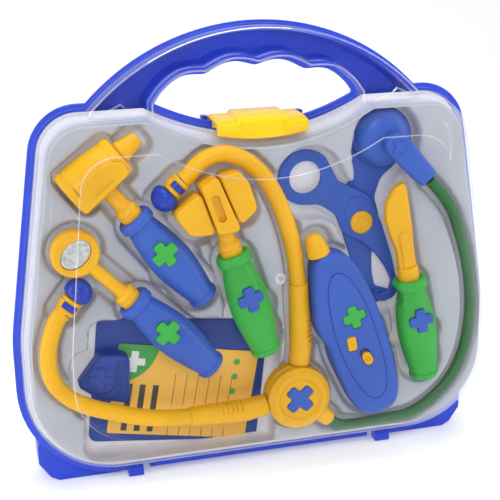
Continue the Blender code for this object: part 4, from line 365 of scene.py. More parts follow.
@dataclass(frozen=True)
class PrintedCard(Look):
    """Record card: ochre stock with ruled lines, a green corner with a white cross and round marks."""

    x: float
    z: float
    tilt: float
    length: float
    width: float
    corner: float = 0.0245
    cross: tuple = (0.0105, -0.0108)
    arm: tuple = (0.0022, 0.0066)
    ink: tuple = (0.05, 0.05, 0.04)
    green: tuple = (0.055, 0.33, 0.055)
    white: tuple = (0.78, 0.78, 0.74)
    mark: tuple = (0.08, 0.36, 0.08)

    def material(self) -> bpy.types.Material:
        """The card's material.

        Returns:
            The finished material.
        """
        graph = Graph(self.name)
        x, _, z = graph.axes()
        cosine, sine = math.cos(math.radians(self.tilt)), math.sin(math.radians(self.tilt))
        across = (x - self.x) * cosine - (z - self.z) * sine
        along = (x - self.x) * sine + (z - self.z) * cosine
        ochre = graph.mixed(graph.noise(0.02, 3.0), (0.80, 0.43, 0.05), (0.90, 0.52, 0.08))
        print_lines = self.ruled(across, along).largest(self.bars(across, along))
        colour = graph.mixed(print_lines, ochre, self.ink)
        corner_x = across + self.length / 2
        corner_z = along - self.width / 2
        radius = (corner_x * corner_x + corner_z * corner_z) ** 0.5
        colour = graph.mixed(radius.below(self.corner), colour, self.green)
        cross_x, cross_z = abs(corner_x - self.cross[0]), abs(corner_z - self.cross[1])
        thin, far = self.arm
        upright, level = cross_x.below(thin) * cross_z.below(far), cross_z.below(thin) * cross_x.below(far)
        colour = graph.mixed(upright.largest(level), colour, self.white)
        colour = graph.mixed(self.marks(across, along), colour, self.mark)
        return graph.finish(graph.principled({
            "Base Color": colour,
            "Roughness": 0.55 + graph.noise(0.004, 2.0) * 0.1,
            "Normal": graph.bump(graph.noise(0.0012, 3.0), 0.00003),
        }))

    def ruled(self, across: Value, along: Value) -> Value:
        """Thin upright rules in the right-hand part of the card.

        Args:
            across: Place across the card.
            along: Place along the card.

        Returns:
            One on a rule, zero beside it.
        """
        line = (across + 0.0764).remainder(0.0070).below(0.0004)
        block = abs(across - 0.0111).below(0.0180)
        ends = abs(along - 0.0015).below(0.0100).largest(abs(along + 0.0262).below(0.0036))
        return line * block * ends

    def bars(self, across: Value, along: Value) -> Value:
        """Plain heading bars beside the green corner.

        Args:
            across: Place across the card.
            along: Place along the card.

        Returns:
            One on a bar, zero beside it.
        """
        bar = (across + 0.1150).remainder(0.0080).below(0.0036)
        block = abs(across + 0.0246).below(0.0105)
        ends = abs(along + 0.0115).below(0.0150)
        return bar * block * ends

    def marks(self, across: Value, along: Value) -> Value:
        """A row of small round marks near the right-hand edge.

        Args:
            across: Place across the card.
            along: Place along the card.

        Returns:
            One on a mark, zero beside it.
        """
        step = (along + 0.0989).remainder(0.0096) - 0.0048
        side = across - 0.0302
        return (step * step + side * side).below(0.0000042) * abs(along - 0.0115).below(0.0130)


class Finish(Enum):
    """The finishes of the case and its toys."""

    CLEAR = ClearPlastic("clear_lid_plastic", "clear_lid")
    CASE_BLUE = MouldedPlastic("case_blue_plastic", "case_blue", (0.022, 0.060, 0.56), 0.26, glow=0.15)
    LATCH_YELLOW = MouldedPlastic("latch_yellow_plastic", "latch_yellow", (0.92, 0.52, 0.002), 0.30, glow=0.1)
    # The tray's second colour is painted light: lighter deep in the pockets against their shade.
    SHEET = FormedSheet("tray_white_sheet", "tray_white", (0.375, 0.385, 0.42), (0.60, 0.59, 0.61), -0.0138, 0.0022)
    BLUE = MouldedPlastic("toy_blue_plastic", "toy_blue", (0.031, 0.092, 0.41), 0.42, 0.00004)
    EAR_BLUE = MouldedPlastic("ear_blue_plastic", "toy_blue", (0.010, 0.040, 0.36), 0.16, 0.00001)
    GREEN = MouldedPlastic("toy_green_plastic", "toy_green", (0.034, 0.36, 0.042), 0.42, 0.00004)
    YELLOW = MouldedPlastic("toy_yellow_plastic", "toy_yellow", (0.75, 0.385, 0.0015), 0.36, 0.00003, glow=0.1)
    FOIL = CrinkledFoil("mirror_foil", "mirror_foil")
    HOSE = MouldedPlastic("hose_green_rubber", "hose_green", (0.012, 0.112, 0.021), 0.45, 0.00003)
    BOARD = MouldedPlastic("board_blue_plastic", "board_blue", (0.018, 0.050, 0.27), 0.40, 0.00004)
    CARD = PrintedCard("printed_card", "card_paper", -0.0495, 0.0525, 10.5, 0.086, 0.057)

    def material(self) -> bpy.types.Material:
        """The finish's material, made once; a packed material of its name steps aside.

        Returns:
            The finish's only material.
        """
        made = bpy.data.materials.get(self.value.name)
        if made is None or not made.get("dressed"):
            if made is not None:
                made.name = "packed_" + made.name
            made = self.value.material()
            made["dressed"] = True
        return made


def arc(x: float, z: float, radius: float, start: float, end: float, steps: int) -> Outline:
    """Points on an arc round a centre, both ends included."""
    angles = [start + (end - start) * step / steps for step in range(steps + 1)]
    return [Vector((x + radius * math.cos(a), z + radius * math.sin(a))) for a in angles]


def circle(x: float, z: float, radius: float, sides: int = 56) -> Outline:
    """A round outline."""
    return arc(x, z, radius, 0.0, math.tau * (sides - 1) / sides, sides - 1)


def ellipse(x: float, z: float, half_width: float, half_height: float, turn: float) -> Outline:
    """An oval outline turned in its plane by an angle in degrees."""
    rest = [Vector((p.x * half_width, p.y * half_height)) for p in circle(0.0, 0.0, 1.0)]
    return turned(rest, x, z, turn)


def rounded(corners: list, steps: int = 7) -> Outline:
    """Outline through (x, z, radius) corners; each corner with a radius becomes an arc.

    Args:
        corners: Corners in order, each with its radius.
        steps: Sides of each arc.

    Returns:
        The outline's points.
    """
    points = []
    count = len(corners)
    for index, (x, z, radius) in enumerate(corners):
        corner = Vector((x, z))
        if radius <= 0:
            points.append(corner)
            continue
        before = (Vector(corners[index - 1][:2]) - corner).normalized()
        after = (Vector(corners[(index + 1) % count][:2]) - corner).normalized()
        half = before.angle(after) / 2
        centre = corner + (before + after).normalized() * (radius / math.sin(half))
        reach = radius / math.tan(half)
        first = corner + before * reach - centre
        last = corner + after * reach - centre
        start = math.atan2(first.y, first.x)
        sweep = math.atan2(first.x * last.y - first.y * last.x, first.dot(last))
        points.extend(arc(centre.x, centre.y, radius, start, start + sweep, steps))
    return points


def box(x: float, z: float, width: float, height: float, corner: float) -> Outline:
    """A rounded rectangle round a centre."""
    signs = ((1, -1), (1, 1), (-1, 1), (-1, -1))
    return rounded([(x + a * width / 2, z + b * height / 2, corner) for a, b in signs])


def capsule(x: float, low: float, high: float, radius: float) -> Outline:
    """A slot outline along Z with round ends."""
    return arc(x, high, radius, 0.0, math.pi, 16) + arc(x, low, radius, math.pi, math.tau, 16)


def plus(x: float, z: float, span: float, arm: float, corner: float, turn: float = 0.0) -> Outline:
    """A cross outline with rounded arm ends, turned by an angle in degrees.

    Args:
        x: Middle of the cross.
        z: Height of its middle.
        span: Length from arm end to arm end.
        arm: Width of an arm.
        corner: Radius of the arm ends' corners.
        turn: Angle in degrees.

    Returns:
        The outline's points.
    """
    half, side = span / 2, arm / 2
    corners = []
    for quarter in range(4):
        angle = quarter * math.pi / 2 - math.radians(turn)
        cosine, sine = math.cos(angle), math.sin(angle)
        for a, b, radius in ((half, -side, corner), (half, side, corner), (side, side, corner * 0.35)):
            corners.append((x + a * cosine - b * sine, z + a * sine + b * cosine, radius))
    return rounded(corners, 4)


def grown(points: Outline, distance: float) -> Outline:
    """The outline moved outward by a distance, inward when it is negative.

    Args:
        points: Outline to move.
        distance: How far it moves.

    Returns:
        The moved outline, point for point.
    """
    moved = []
    count = len(points)
    for index, point in enumerate(points):
        before = (point - points[index - 1]).normalized()
        after = (points[(index + 1) % count] - point).normalized()
        first, second = Vector((before.y, -before.x)), Vector((after.y, -after.x))
        moved.append(point + (first + second) * (distance / max(SHARPEST_CORNER, 1 + first.dot(second))))
    return moved


def between(first: Outline, second: Outline, share: float) -> Outline:
    """The outline part of the way from one outline to another."""
    return [a.lerp(b, share) for a, b in zip(first, second)]


def scaled(shares: tuple, wide: float, high: float, corner: float = 0.0, shift: float = 0.0) -> list:
    """(x, z, radius) corners from shares of a width, a height and a radius, shifted along X."""
    return [(a * wide + shift, b * high, c * corner) for a, b, c in shares]


def pairs(start: float, wide: float, shares: tuple, high: float = 1.0) -> list:
    """(position, radius) pairs whose positions run from a start and whose radii are shares of a width."""
    return [(start + high * a, wide * b) for a, b in shares]


def turned(points: Outline, x: float, z: float, tilt: float) -> Outline:
    """Points of a tilted toy's frame, the tilt in degrees, in the frame of the case."""
    cosine, sine = math.cos(math.radians(tilt)), math.sin(math.radians(tilt))
    return [Vector((x + p.x * cosine + p.y * sine, z - p.x * sine + p.y * cosine)) for p in points]


def mirrored(points: Outline) -> Outline:
    """An outline reflected left to right, still running the same way round."""
    return [Vector((-point.x, point.y)) for point in reversed(points)]


def ring(points: Outline, depth: float) -> Ring:
    """An outline laid in the plane of one depth."""
    return [Vector((point.x, depth, point.y)) for point in points]


def slab(points: Outline, front: float, back: float, edge: float = 0.0, rear: float = 0.0) -> list[Ring]:
    """Rings of a plate between two depths.

    Args:
        points: The plate's outline.
        front: Depth of its front face.
        back: Depth of its back face.
        edge: Radius of its front rim.
        rear: Radius of its back rim.

    Returns:
        Rings from front to back.
    """
    quarter = [math.pi / 2 * step / 5 for step in range(6)]
    rings = []
    for depth, way, radius, angles in ((front, 1, edge, quarter), (back, -1, rear, quarter[::-1])):
        for a in angles if radius > 0 else (0.0,):
            inset = radius * (math.sin(a) - 1)
            rings.append(ring(grown(points, inset), depth + way * radius * (1 - math.cos(a))))
    return rings


def lip(points: Outline, start: float, depth: float, edge: float, way: float = 1.0) -> list[Ring]:
    """Rings round the rounded rim of a face.

    Args:
        points: Outline that the rim is measured from.
        start: How far out of it the rim begins.
        depth: Depth of the face.
        edge: Radius of the rim.
        way: One for a face that looks back, minus one for one that looks out of the lid.

    Returns:
        Rings from the side to the face.
    """
    rings = []
    for step in range(RIM_STEPS + 1):
        a = math.pi / 2 * step / RIM_STEPS
        inset = start - edge * (1 - math.cos(a))
        rings.append(ring(grown(points, inset), depth - way * edge * (1 - math.sin(a))))
    return rings


def curved(points: list[Vector], steps: int) -> list[Vector]:
    """Points of a smooth curve through others, in steps from each one to the next.

    Args:
        points: Points that the curve passes.
        steps: Steps between two points.

    Returns:
        The curve's points.
    """
    ends = [points[0] * 2 - points[1]] + points + [points[-1] * 2 - points[-2]]
    found = []
    for a, b, c, d in zip(ends, ends[1:], ends[2:], ends[3:]):
        for step in range(steps):
            t = step / steps
            found.append(0.5 * (2 * b + (c - a) * t + (2 * a - 5 * b + 4 * c - d) * t ** 2
                                + (3 * b - a - 3 * c + d) * t ** 3))
    return found + [points[-1]]


def eased(profile: list, steps: int = 5) -> list:
    """A profile of pairs run through a smooth curve, the same ends kept."""
    return [tuple(point) for point in curved([Vector(pair) for pair in profile], steps)]


def softened(profile: list, radius: float, steps: int = 4) -> list:
    """An open profile whose inner corners are rounded to a radius where there is room.

    Args:
        profile: Height and radius pairs.
        radius: Radius of the rounding.
        steps: Sides of each rounding.

    Returns:
        The pairs with their corners rounded.
    """
    points = [Vector(pair) for pair in profile]
    found = [points[0]]
    for before, corner, after in zip(points, points[1:], points[2:]):
        back, ahead = before - corner, after - corner
        room = min(radius, back.length * 0.45, ahead.length * 0.45)
        start, end = corner + back.normalized() * room, corner + ahead.normalized() * room
        for step in range(steps + 1):
            t = step / steps
            found.append(start.lerp(corner, t).lerp(corner.lerp(end, t), t))
    found.append(points[-1])
    return [tuple(point) for point in found]


def wheels(profile: list, sides: int, spot: Callable) -> list[Ring]:
    """Round rings from (position, radius) pairs; spot gives a point from a position and two offsets."""
    turns = [math.tau * (side + 0.5) / sides for side in range(sides)]
    return [[Vector(spot(p, r * math.cos(a), r * math.sin(a))) for a in turns] for p, r in profile]


def spun(profile: list, sides: int = 56, x: float = 0.0) -> list[Ring]:
    """Rings round an axis along Z from (height, radius) pairs."""
    return wheels(profile, sides, lambda p, a, b: (x + a, b, p))


def spun_across(profile: list, height: float, sides: int = 56, y: float = 0.0) -> list[Ring]:
    """Rings round an axis along X at a height from (position, radius) pairs."""
    return wheels(profile, sides, lambda p, a, b: (p, y + a, height + b))


def spun_deep(profile: list, x: float = 0.0, z: float = 0.0, sides: int = 64) -> list[Ring]:
    """Rings round an axis along Y from (depth, radius) pairs."""
    return wheels(profile, sides, lambda p, a, b: (x + a, p, z + b))


def smooth_route(places: list, count: int) -> list[Vector]:
    """Evenly spread points of a smooth curve through the places of a route.

    Args:
        places: Places that the route passes.
        count: How many points the curve gets.

    Returns:
        The curve's points.
    """
    fine = curved([Vector(place) for place in places], ROUTE_STEPS)
    run = [0.0]
    for a, b in zip(fine, fine[1:]):
        run.append(run[-1] + (b - a).length)
    points = []
    at = 0
    for index in range(count):
        goal = run[-1] * index / (count - 1)
        while at < len(fine) - 2 and run[at + 1] < goal:
            at += 1
        share = (goal - run[at]) / (run[at + 1] - run[at])
        points.append(fine[at].lerp(fine[at + 1], clamped(share)))
    return points


def swept(points: list[Vector], radii: list[float], sides: int = 28) -> list[Ring]:
    """Round rings along points in space, one radius for each point.

    Args:
        points: Middles of the rings.
        radii: Their radii.
        sides: Points on each ring.

    Returns:
        The rings in order.
    """
    rings = []
    side = Vector((0.0, 1.0, 0.0))
    for index, (point, radius) in enumerate(zip(points, radii)):
        before = points[max(index - 1, 0)]
        after = points[min(index + 1, len(points) - 1)]
        along = (after - before).normalized()
        side = (side - along * side.dot(along)).normalized()
        other = along.cross(side)
        turns = [math.tau * (turn + 0.5) / sides for turn in range(sides)]
        rings.append([point + side * radius * math.cos(a) + other * radius * math.sin(a) for a in turns])
    return rings


def loft(rings: list[Ring]) -> bmesh.types.BMesh:
    """Closed mesh through rings of equal counts, capped at both ends.

    Args:
        rings: Rings in order, all with the same number of points.

    Returns:
        The mesh, still under construction.
    """
    mesh = bmesh.new()
    loops = [[mesh.verts.new(point) for point in points] for points in rings]
    count = len(loops[0])
    for lower, upper in zip(loops, loops[1:]):
        for index in range(count):
            after = (index + 1) % count
            mesh.faces.new((lower[index], lower[after], upper[after], upper[index]))
    mesh.faces.new(list(reversed(loops[0])))
    mesh.faces.new(loops[-1])
    bmesh.ops.recalc_face_normals(mesh, faces=mesh.faces)
    return mesh


def shown(name: str, data: bpy.types.ID) -> bpy.types.Object:
    """A new object of some data, in the scene.

    Args:
        name: The object's name.
        data: What the object shows.

    Returns:
        The object.
    """
    item = bpy.data.objects.new(name, data)
    bpy.context.scene.collection.objects.link(item)
    return item


def meshed(name: str, mesh: bmesh.types.BMesh, place: Matrix) -> bpy.types.Object:
    """A new object of a mesh moved to its place; the mesh under construction is freed.

    Args:
        name: The object's name.
        mesh: Mesh under construction.
        place: Where it goes.

    Returns:
        The object.
    """
    data = bpy.data.meshes.new(name)
    mesh.to_mesh(data)
    mesh.free()
    data.transform(place)
    return shown(name, data)


def solid(name: str, rings: list[Ring], place: Matrix | None = None) -> bpy.types.Object:
    """An object lofted through rings; place says where the toy's own frame lies in the case."""
    return meshed(name, loft(rings), SHIFT @ place if place is not None else SHIFT)


def settle(item: bpy.types.Object) -> None:
    """Turn a piece's modifiers into its mesh.

    Args:
        item: Piece with modifiers.
    """
    bpy.context.view_layer.update()
    evaluated = item.evaluated_get(bpy.context.evaluated_depsgraph_get())
    data = bpy.data.meshes.new_from_object(evaluated)
    item.modifiers.clear()
    item.data = data


def combine(target: bpy.types.Object, tool: bpy.types.Object, operation: str) -> None:
    """Add, cut or keep the tool's body on the target, then drop the tool.

    Args:
        target: Piece that changes.
        tool: Body that is used up.
        operation: UNION, DIFFERENCE or INTERSECT.
    """
    step = target.modifiers.new("step", "BOOLEAN")
    step.operation = operation
    step.solver = "EXACT"
    step.object = tool
    settle(target)
    bpy.data.objects.remove(tool, do_unlink=True)


def join(target: bpy.types.Object, rings: list[Ring], place: Matrix | None = None) -> None:
    """Add a lofted body to a piece."""
    combine(target, solid("tool", rings, place), "UNION")


def carve(target: bpy.types.Object, rings: list[Ring], place: Matrix | None = None) -> None:
    """Take a lofted body out of a piece."""
    combine(target, solid("tool", rings, place), "DIFFERENCE")


def attach(target: bpy.types.Object, other: bpy.types.Object) -> None:
    """Take the other body's mesh into a piece as it is, then drop the other.

    Args:
        target: Piece that takes the mesh.
        other: Body that is used up.
    """
    mesh = bmesh.new()
    for item in (target, other):
        mesh.from_mesh(item.data)
    mesh.to_mesh(target.data)
    mesh.free()
    bpy.data.objects.remove(other, do_unlink=True)


def dress(item: bpy.types.Object, finish: Finish, *nodes: str, body: str = "case", angle: float = 35.0) -> None:
    """Give a piece its finish and shading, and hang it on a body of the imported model.

    Args:
        item: The piece.
        finish: Its finish.
        nodes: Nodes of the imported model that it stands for.
        body: The body that carries it.
        angle: Edges flatter than this, in degrees, shade smoothly.
    """
    data = item.data
    data.materials.clear()
    data.materials.append(finish.material())
    data.polygons.foreach_set("use_smooth", [True] * len(data.polygons))
    data.set_sharp_from_angle(angle=math.radians(angle))
    item.modifiers.new("even_faces", "WEIGHTED_NORMAL").keep_sharp = True
    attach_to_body(item, body)
    if nodes:
        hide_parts(*nodes)
    LOG.info("%s: %s", item.name, finish.name)


@dataclass(frozen=True)
class Place:
    """Where a toy's own frame lies in the case, its tilt in degrees."""

    x: float
    y: float
    z: float
    tilt: float = 0.0

    def matrix(self) -> Matrix:
        """The place as a matrix."""
        return Matrix.Translation((self.x, self.y, self.z)) @ Matrix.Rotation(math.radians(self.tilt), 4, "Y")

    def inner(self, x: float, z: float, tilt: float) -> Matrix:
        """A place within this one."""
        return self.matrix() @ Place(x, 0.0, z, tilt).matrix()

    def points(self, outline: Outline) -> Outline:
        """An outline of the toy's own frame in the frame of the case."""
        return turned(outline, self.x, self.z, self.tilt)

    def pocket(self, outline: Outline, deep: float) -> Well:
        """Pocket of the tray under an outline of the toy's own frame, down to a depth behind its axis."""
        return self.points(outline), self.y + deep + SEAT


@dataclass(frozen=True)
class CaseOutline:
    """One outline of the case seen from the front, its top edge dipping under the handle."""

    half_width: float
    bottom: float
    lower: float
    top_half_width: float
    top: float
    upper: float
    dip: float
    waist: float = 0.095
    waist_radius: float = 0.120
    dip_half: float = 0.0645
    dip_steps: int = 20

    def points(self) -> Outline:
        """The outline's points.

        Returns:
            Points round the case, the dip under the handle among them.
        """
        side = [(self.half_width, self.bottom, self.lower), (self.half_width, self.waist, self.waist_radius),
                (self.top_half_width, self.top, self.upper)]
        dip = []
        for step in range(2 * self.dip_steps + 1):
            share = 1 - step / self.dip_steps
            dip.append((self.dip_half * share, self.dip + (self.top - self.dip) * share ** 2, 0.0))
        return rounded(side + dip + [(-x, z, radius) for x, z, radius in reversed(side)], 16)


RIM = CaseOutline(0.1445, 0.0054, 0.058, 0.1245, 0.2265, 0.026, 0.2090)
SHOULDER = CaseOutline(0.1412, 0.0150, 0.050, 0.1215, 0.2225, 0.024, 0.2040)
PANEL = CaseOutline(0.1170, 0.0400, 0.034, 0.1050, 0.2055, 0.020, 0.1870)


@dataclass(frozen=True)
class Handle:
    """Carrying handle, half on the lid and half on the shell, scalloped for the fingers."""

    top: float = 0.2677
    foot_half_width: float = 0.0970
    foot_height: float = 0.2255
    depth: float = 0.0120
    edge: float = 0.0025
    root: float = 0.0090
    rim: float = 0.0018
    grip_top: float = 0.2509
    grip_radius: float = 0.1215
    grip_end: float = 0.0610
    pitch: float = 0.0300
    rise: float = 0.0037
    softness: float = 0.02
    span: float = 0.0450
    span_steps: int = 24

    def lower_height(self, x: float) -> float:
        """Height of the scalloped lower edge."""
        scallop = 1 - math.sqrt(math.sin(math.pi * x / self.pitch) ** 2 + self.softness)
        return self.grip_top - x ** 2 / (2 * self.grip_radius) - self.rise * scallop

    def lower_edge(self) -> Outline:
        """Lower edge from the left end to the right end.

        Returns:
            Points of the scalloped edge.
        """
        across = [self.span * (step / self.span_steps - 1) for step in range(2 * self.span_steps + 1)]
        middle = [Vector((x, self.lower_height(x))) for x in across]
        drop = self.lower_height(self.span) - self.foot_height
        shares = eased([(0.0, 1.0), (0.35, 0.80), (0.72, 0.48), (1.0, 0.12)], 4)[1:]
        reach = self.grip_end - self.span
        side = [Vector((self.span + reach * a, self.foot_height + drop * b)) for a, b in shares]
        return [Vector((-p.x, p.y)) for p in reversed(side)] + middle + side

    def points(self) -> Outline:
        """The handle seen from the front.

        Returns:
            Points round the handle.
        """
        lift = self.top - self.foot_height
        radius = (self.foot_half_width ** 2 + lift ** 2) / (2 * lift)
        centre = self.top - radius
        start = math.atan2(self.foot_height - centre, self.foot_half_width)
        outline = arc(0.0, centre, radius, start, math.pi - start, 64)
        root = self.foot_height - self.root
        lower = self.lower_edge()
        outline += [Vector((-self.foot_half_width, root)), Vector((lower[0].x, root)), *lower]
        return outline + [Vector((-lower[0].x, root)), Vector((self.foot_half_width, root))]

    def rings(self, extra: float, depth: float, start: float) -> list[Ring]:
        """Rings of one half, from the parting plane out to its face.

        Args:
            extra: How far the rim stands out.
            depth: Depth of the face, negative on the lid's side.
            start: Depth where the half begins.

        Returns:
            The rings.
        """
        outline = self.points()
        way = math.copysign(1, depth)
        rings = [ring(grown(outline, extra), start), ring(grown(outline, extra), way * self.rim)]
        return rings + [ring(outline, way * self.rim)] + lip(outline, 0.0, depth, self.edge, way)

    def hollow(self, depth: float, start: float) -> list[Ring]:
        """Rings of the hollow inside one half.

        Args:
            depth: How far the hollow reaches.
            start: Depth at which it opens.

        Returns:
            Rings in order.
        """
        outline, way = self.points(), math.copysign(1, depth)
        floor = depth - way * HANDLE_WALL
        steps = ((-HANDLE_WALL, start), (-HANDLE_WALL - 0.2 * self.edge, floor - way * self.edge),
                 (-HANDLE_WALL - self.edge, floor))
        return [ring(grown(outline, out), deep) for out, deep in steps]


def lug_place(x: float) -> float:
    """Middle of the lid's lug beside the shell's knuckle at a place."""
    return x - math.copysign(KNUCKLE + GAP + LUG, x)


@dataclass(frozen=True)
class ClearLid:
    """Clear lid: bowl with a raised front panel, rim, hinge lugs and its half of the handle."""

    handle: Handle
    depth: float = 0.0360
    wall: float = 0.0013
    shoulder_depth: float = 0.0160
    rim_width: float = 0.0015
    rim_thickness: float = 0.0018
    panel_rise: float = 0.0012
    panel_edge: float = 0.0006
    mark_place: tuple = (0.0030, 0.1285)
    mark_radius: float = 0.0034
    gusset_x: float = 0.0800
    gusset_out: float = 0.0140
    gusset_in: float = 0.0150
    gusset_rings: tuple = ((0.2285, -0.0166), (0.2380, -0.0112))
    lug_radius: float = 0.0021
    pin_radius: float = 0.0011
    pin_reach: float = 0.0033

    def gusset(self, hand: int) -> list[Ring]:
        """Rings of the rib where the handle's foot meets the lid's shoulder.

        Args:
            hand: Minus one at the left, one at the right.

        Returns:
            Rings in order.
        """
        low = SHOULDER.top - self.wall / 2
        rings = []
        for top, depth in self.gusset_rings:
            middle = self.gusset_x
            corners = (middle, top), (middle - self.gusset_in, low), (middle + self.gusset_out, low)
            rings.append(ring([Vector((hand * x, z)) for x, z in corners], depth))
        return rings

    def rings(self, inset: float, start: float) -> list[Ring]:
        """Rings down the lid from the parting plane to its front; inset gives its inner face.

        Args:
            inset: Distance inside the outer face.
            start: Depth of the first ring.

        Returns:
            Rings in order.
        """
        rim, shoulder, panel = RIM.points(), SHOULDER.points(), PANEL.points()
        base = self.depth - self.panel_rise
        if inset > 0:
            rings = [ring(grown(rim, -self.rim_width - inset), start)]
        else:
            rings = [ring(rim, start), ring(rim, -self.rim_thickness)]
            rings.append(ring(grown(rim, -self.rim_width), -self.rim_thickness))
        rings.append(ring(grown(shoulder, -inset), -self.shoulder_depth))
        curve = eased([(0.0, 0.0), (0.34, 0.13), (0.64, 0.38), (0.87, 0.72), (1.0, 1.0)], 4)[1:]
        for deep, narrow in curve:
            depth = self.shoulder_depth + (base - self.shoulder_depth) * deep - inset * deep
            rings.append(ring(grown(between(shoulder, panel, narrow), -inset), -depth))
        rings.append(ring(grown(panel, -inset - self.panel_edge), inset - self.depth))
        return rings

    def build(self) -> None:
        """Build and dress the lid."""
        lid = solid("clear_lid", self.rings(0.0, -GAP / 2))
        join(lid, self.handle.rings(0.0010, -self.handle.depth, -GAP / 2))
        carve(lid, self.rings(self.wall, OVERRUN))
        carve(lid, self.handle.hollow(-self.handle.depth, OVERRUN))
        for x in HINGE_PLACES:
            carve(lid, slab(box(x, 0.0054, 0.0096, 0.0030, 0.0), -self.rim_thickness, OVERRUN))
            self.add_lug(lid, x)
        for hand in (-1, 1):
            join(lid, self.gusset(hand))
        face, wide = -self.depth, self.mark_radius
        mark = [(face + 0.0006, wide), (face - 0.0004, wide), (face - 0.0005, wide - 0.0004)]
        mark += [(face - 0.0005, 0.53 * wide), (face - 0.0001, 0.41 * wide)]
        join(lid, spun_deep(softened(mark, 0.0002), *self.mark_place, 40))
        dress(lid, Finish.CLEAR, "front_lid", body="lid", angle=30)

    def add_lug(self, lid: bpy.types.Object, x: float) -> None:
        """Add one hinge lug and its pin.

        Args:
            lid: Piece that gets the lug.
            x: Place of the hinge across the case.
        """
        middle = lug_place(x)
        join(lid, spun_across([(middle - LUG, self.lug_radius), (middle + LUG, self.lug_radius)], HINGE_HEIGHT, 24))
        join(lid, slab(box(middle, 0.0050, 0.0040, 0.0050, 0.0), -0.0019, -GAP / 2))
        ends = sorted((middle, x + math.copysign(self.pin_reach, x)))
        join(lid, spun_across([(end, self.pin_radius) for end in ends], HINGE_HEIGHT, 24))


@dataclass(frozen=True)
class BackShell:
    """Blue back shell with its half of the handle, feet, hinge knuckles and latch ears."""

    handle: Handle
    depth: float = 0.0280
    wall: float = 0.0030
    rim_out: float = 0.0025
    side_in: float = 0.0010
    draft: float = 0.0040
    edge: float = 0.0040
    rim_thickness: float = 0.0021
    seat: float = 0.0018
    seat_depth: float = 0.0020
    foot_front: float = 0.0050
    foot_back: float = 0.0265
    ear_x: float = 0.02865
    ear_z: float = 0.21155
    knuckle_radius: float = 0.0041
    foot_shares: tuple = ((0.60, 0.18), (0.950, 0.27), (0.950, 0.13), (0.905, 0.03), (0.870, 0.0), (0.60, 0.0))

    def outer(self) -> list[Ring]:
        """Rings down the outside of the shell.

        Returns:
            Rings in order.
        """
        rim = RIM.points()
        steps = ((self.rim_out - 0.0004, GAP / 2), (self.rim_out, 0.0006), (self.rim_out, self.rim_thickness),
                 (-self.side_in, self.rim_thickness))
        rings = [ring(grown(rim, out), depth) for out, depth in steps]
        return rings + lip(rim, -self.side_in - self.draft, self.depth, self.edge)

    def inner(self) -> list[Ring]:
        """Rings down the inside of the shell.

        Returns:
            Rings in order.
        """
        side, floor = self.side_in + self.wall, self.depth - self.wall
        steps = ((-self.seat, -OVERRUN), (-self.seat, self.seat_depth), (-side, self.seat_depth),
                 (-side - self.draft, floor - self.edge), (-side - self.draft - self.edge * 0.8, floor))
        return [ring(grown(RIM.points(), out), depth) for out, depth in steps]

    def build(self) -> None:
        """Build and dress the shell."""
        shell = solid("blue_shell", self.outer())
        handle = self.handle
        join(shell, handle.rings(self.rim_out, handle.depth, GAP / 2))
        foot = rounded([(a * RIM.half_width, b * RIM.waist, 0.0022) for a, b in self.foot_shares], 4)
        for outline in (mirrored(foot)[::-1], foot[::-1]):
            join(shell, slab(outline, self.foot_front, self.foot_back, 0.0006, 0.0012))
        carve(shell, self.inner())
        carve(shell, handle.hollow(handle.depth, -OVERRUN))
        for x in HINGE_PLACES:
            self.add_knuckle(shell, x)
        for hand in (-1, 1):
            ear = box(hand * self.ear_x, self.ear_z, 0.0035, 0.0101, 0.0006)
            join(shell, slab(ear, 0.0069, 0.0121, 0.0005, 0.0005))
        dress(shell, Finish.CASE_BLUE, "back_shell", angle=30)

    def add_knuckle(self, shell: bpy.types.Object, x: float) -> None:
        """Add one hinge knuckle and the room beside it.

        Args:
            shell: Piece that gets the knuckle.
            x: Place of the hinge across the case.
        """
        carve(shell, slab(box(lug_place(x), 0.0025, 0.0046, 0.0064, 0.0), -OVERRUN, 0.0025))
        radius = self.knuckle_radius
        tab = spun_across([(x - KNUCKLE, radius), (x + KNUCKLE, radius)], HINGE_HEIGHT, 40)
        for points in tab:
            for point in points:
                point.z = max(point.z, 0.0)
        join(shell, slab(box(x, 0.0047, 0.0090, 0.0044, 0.0), GAP / 2, radius))
        join(shell, tab)


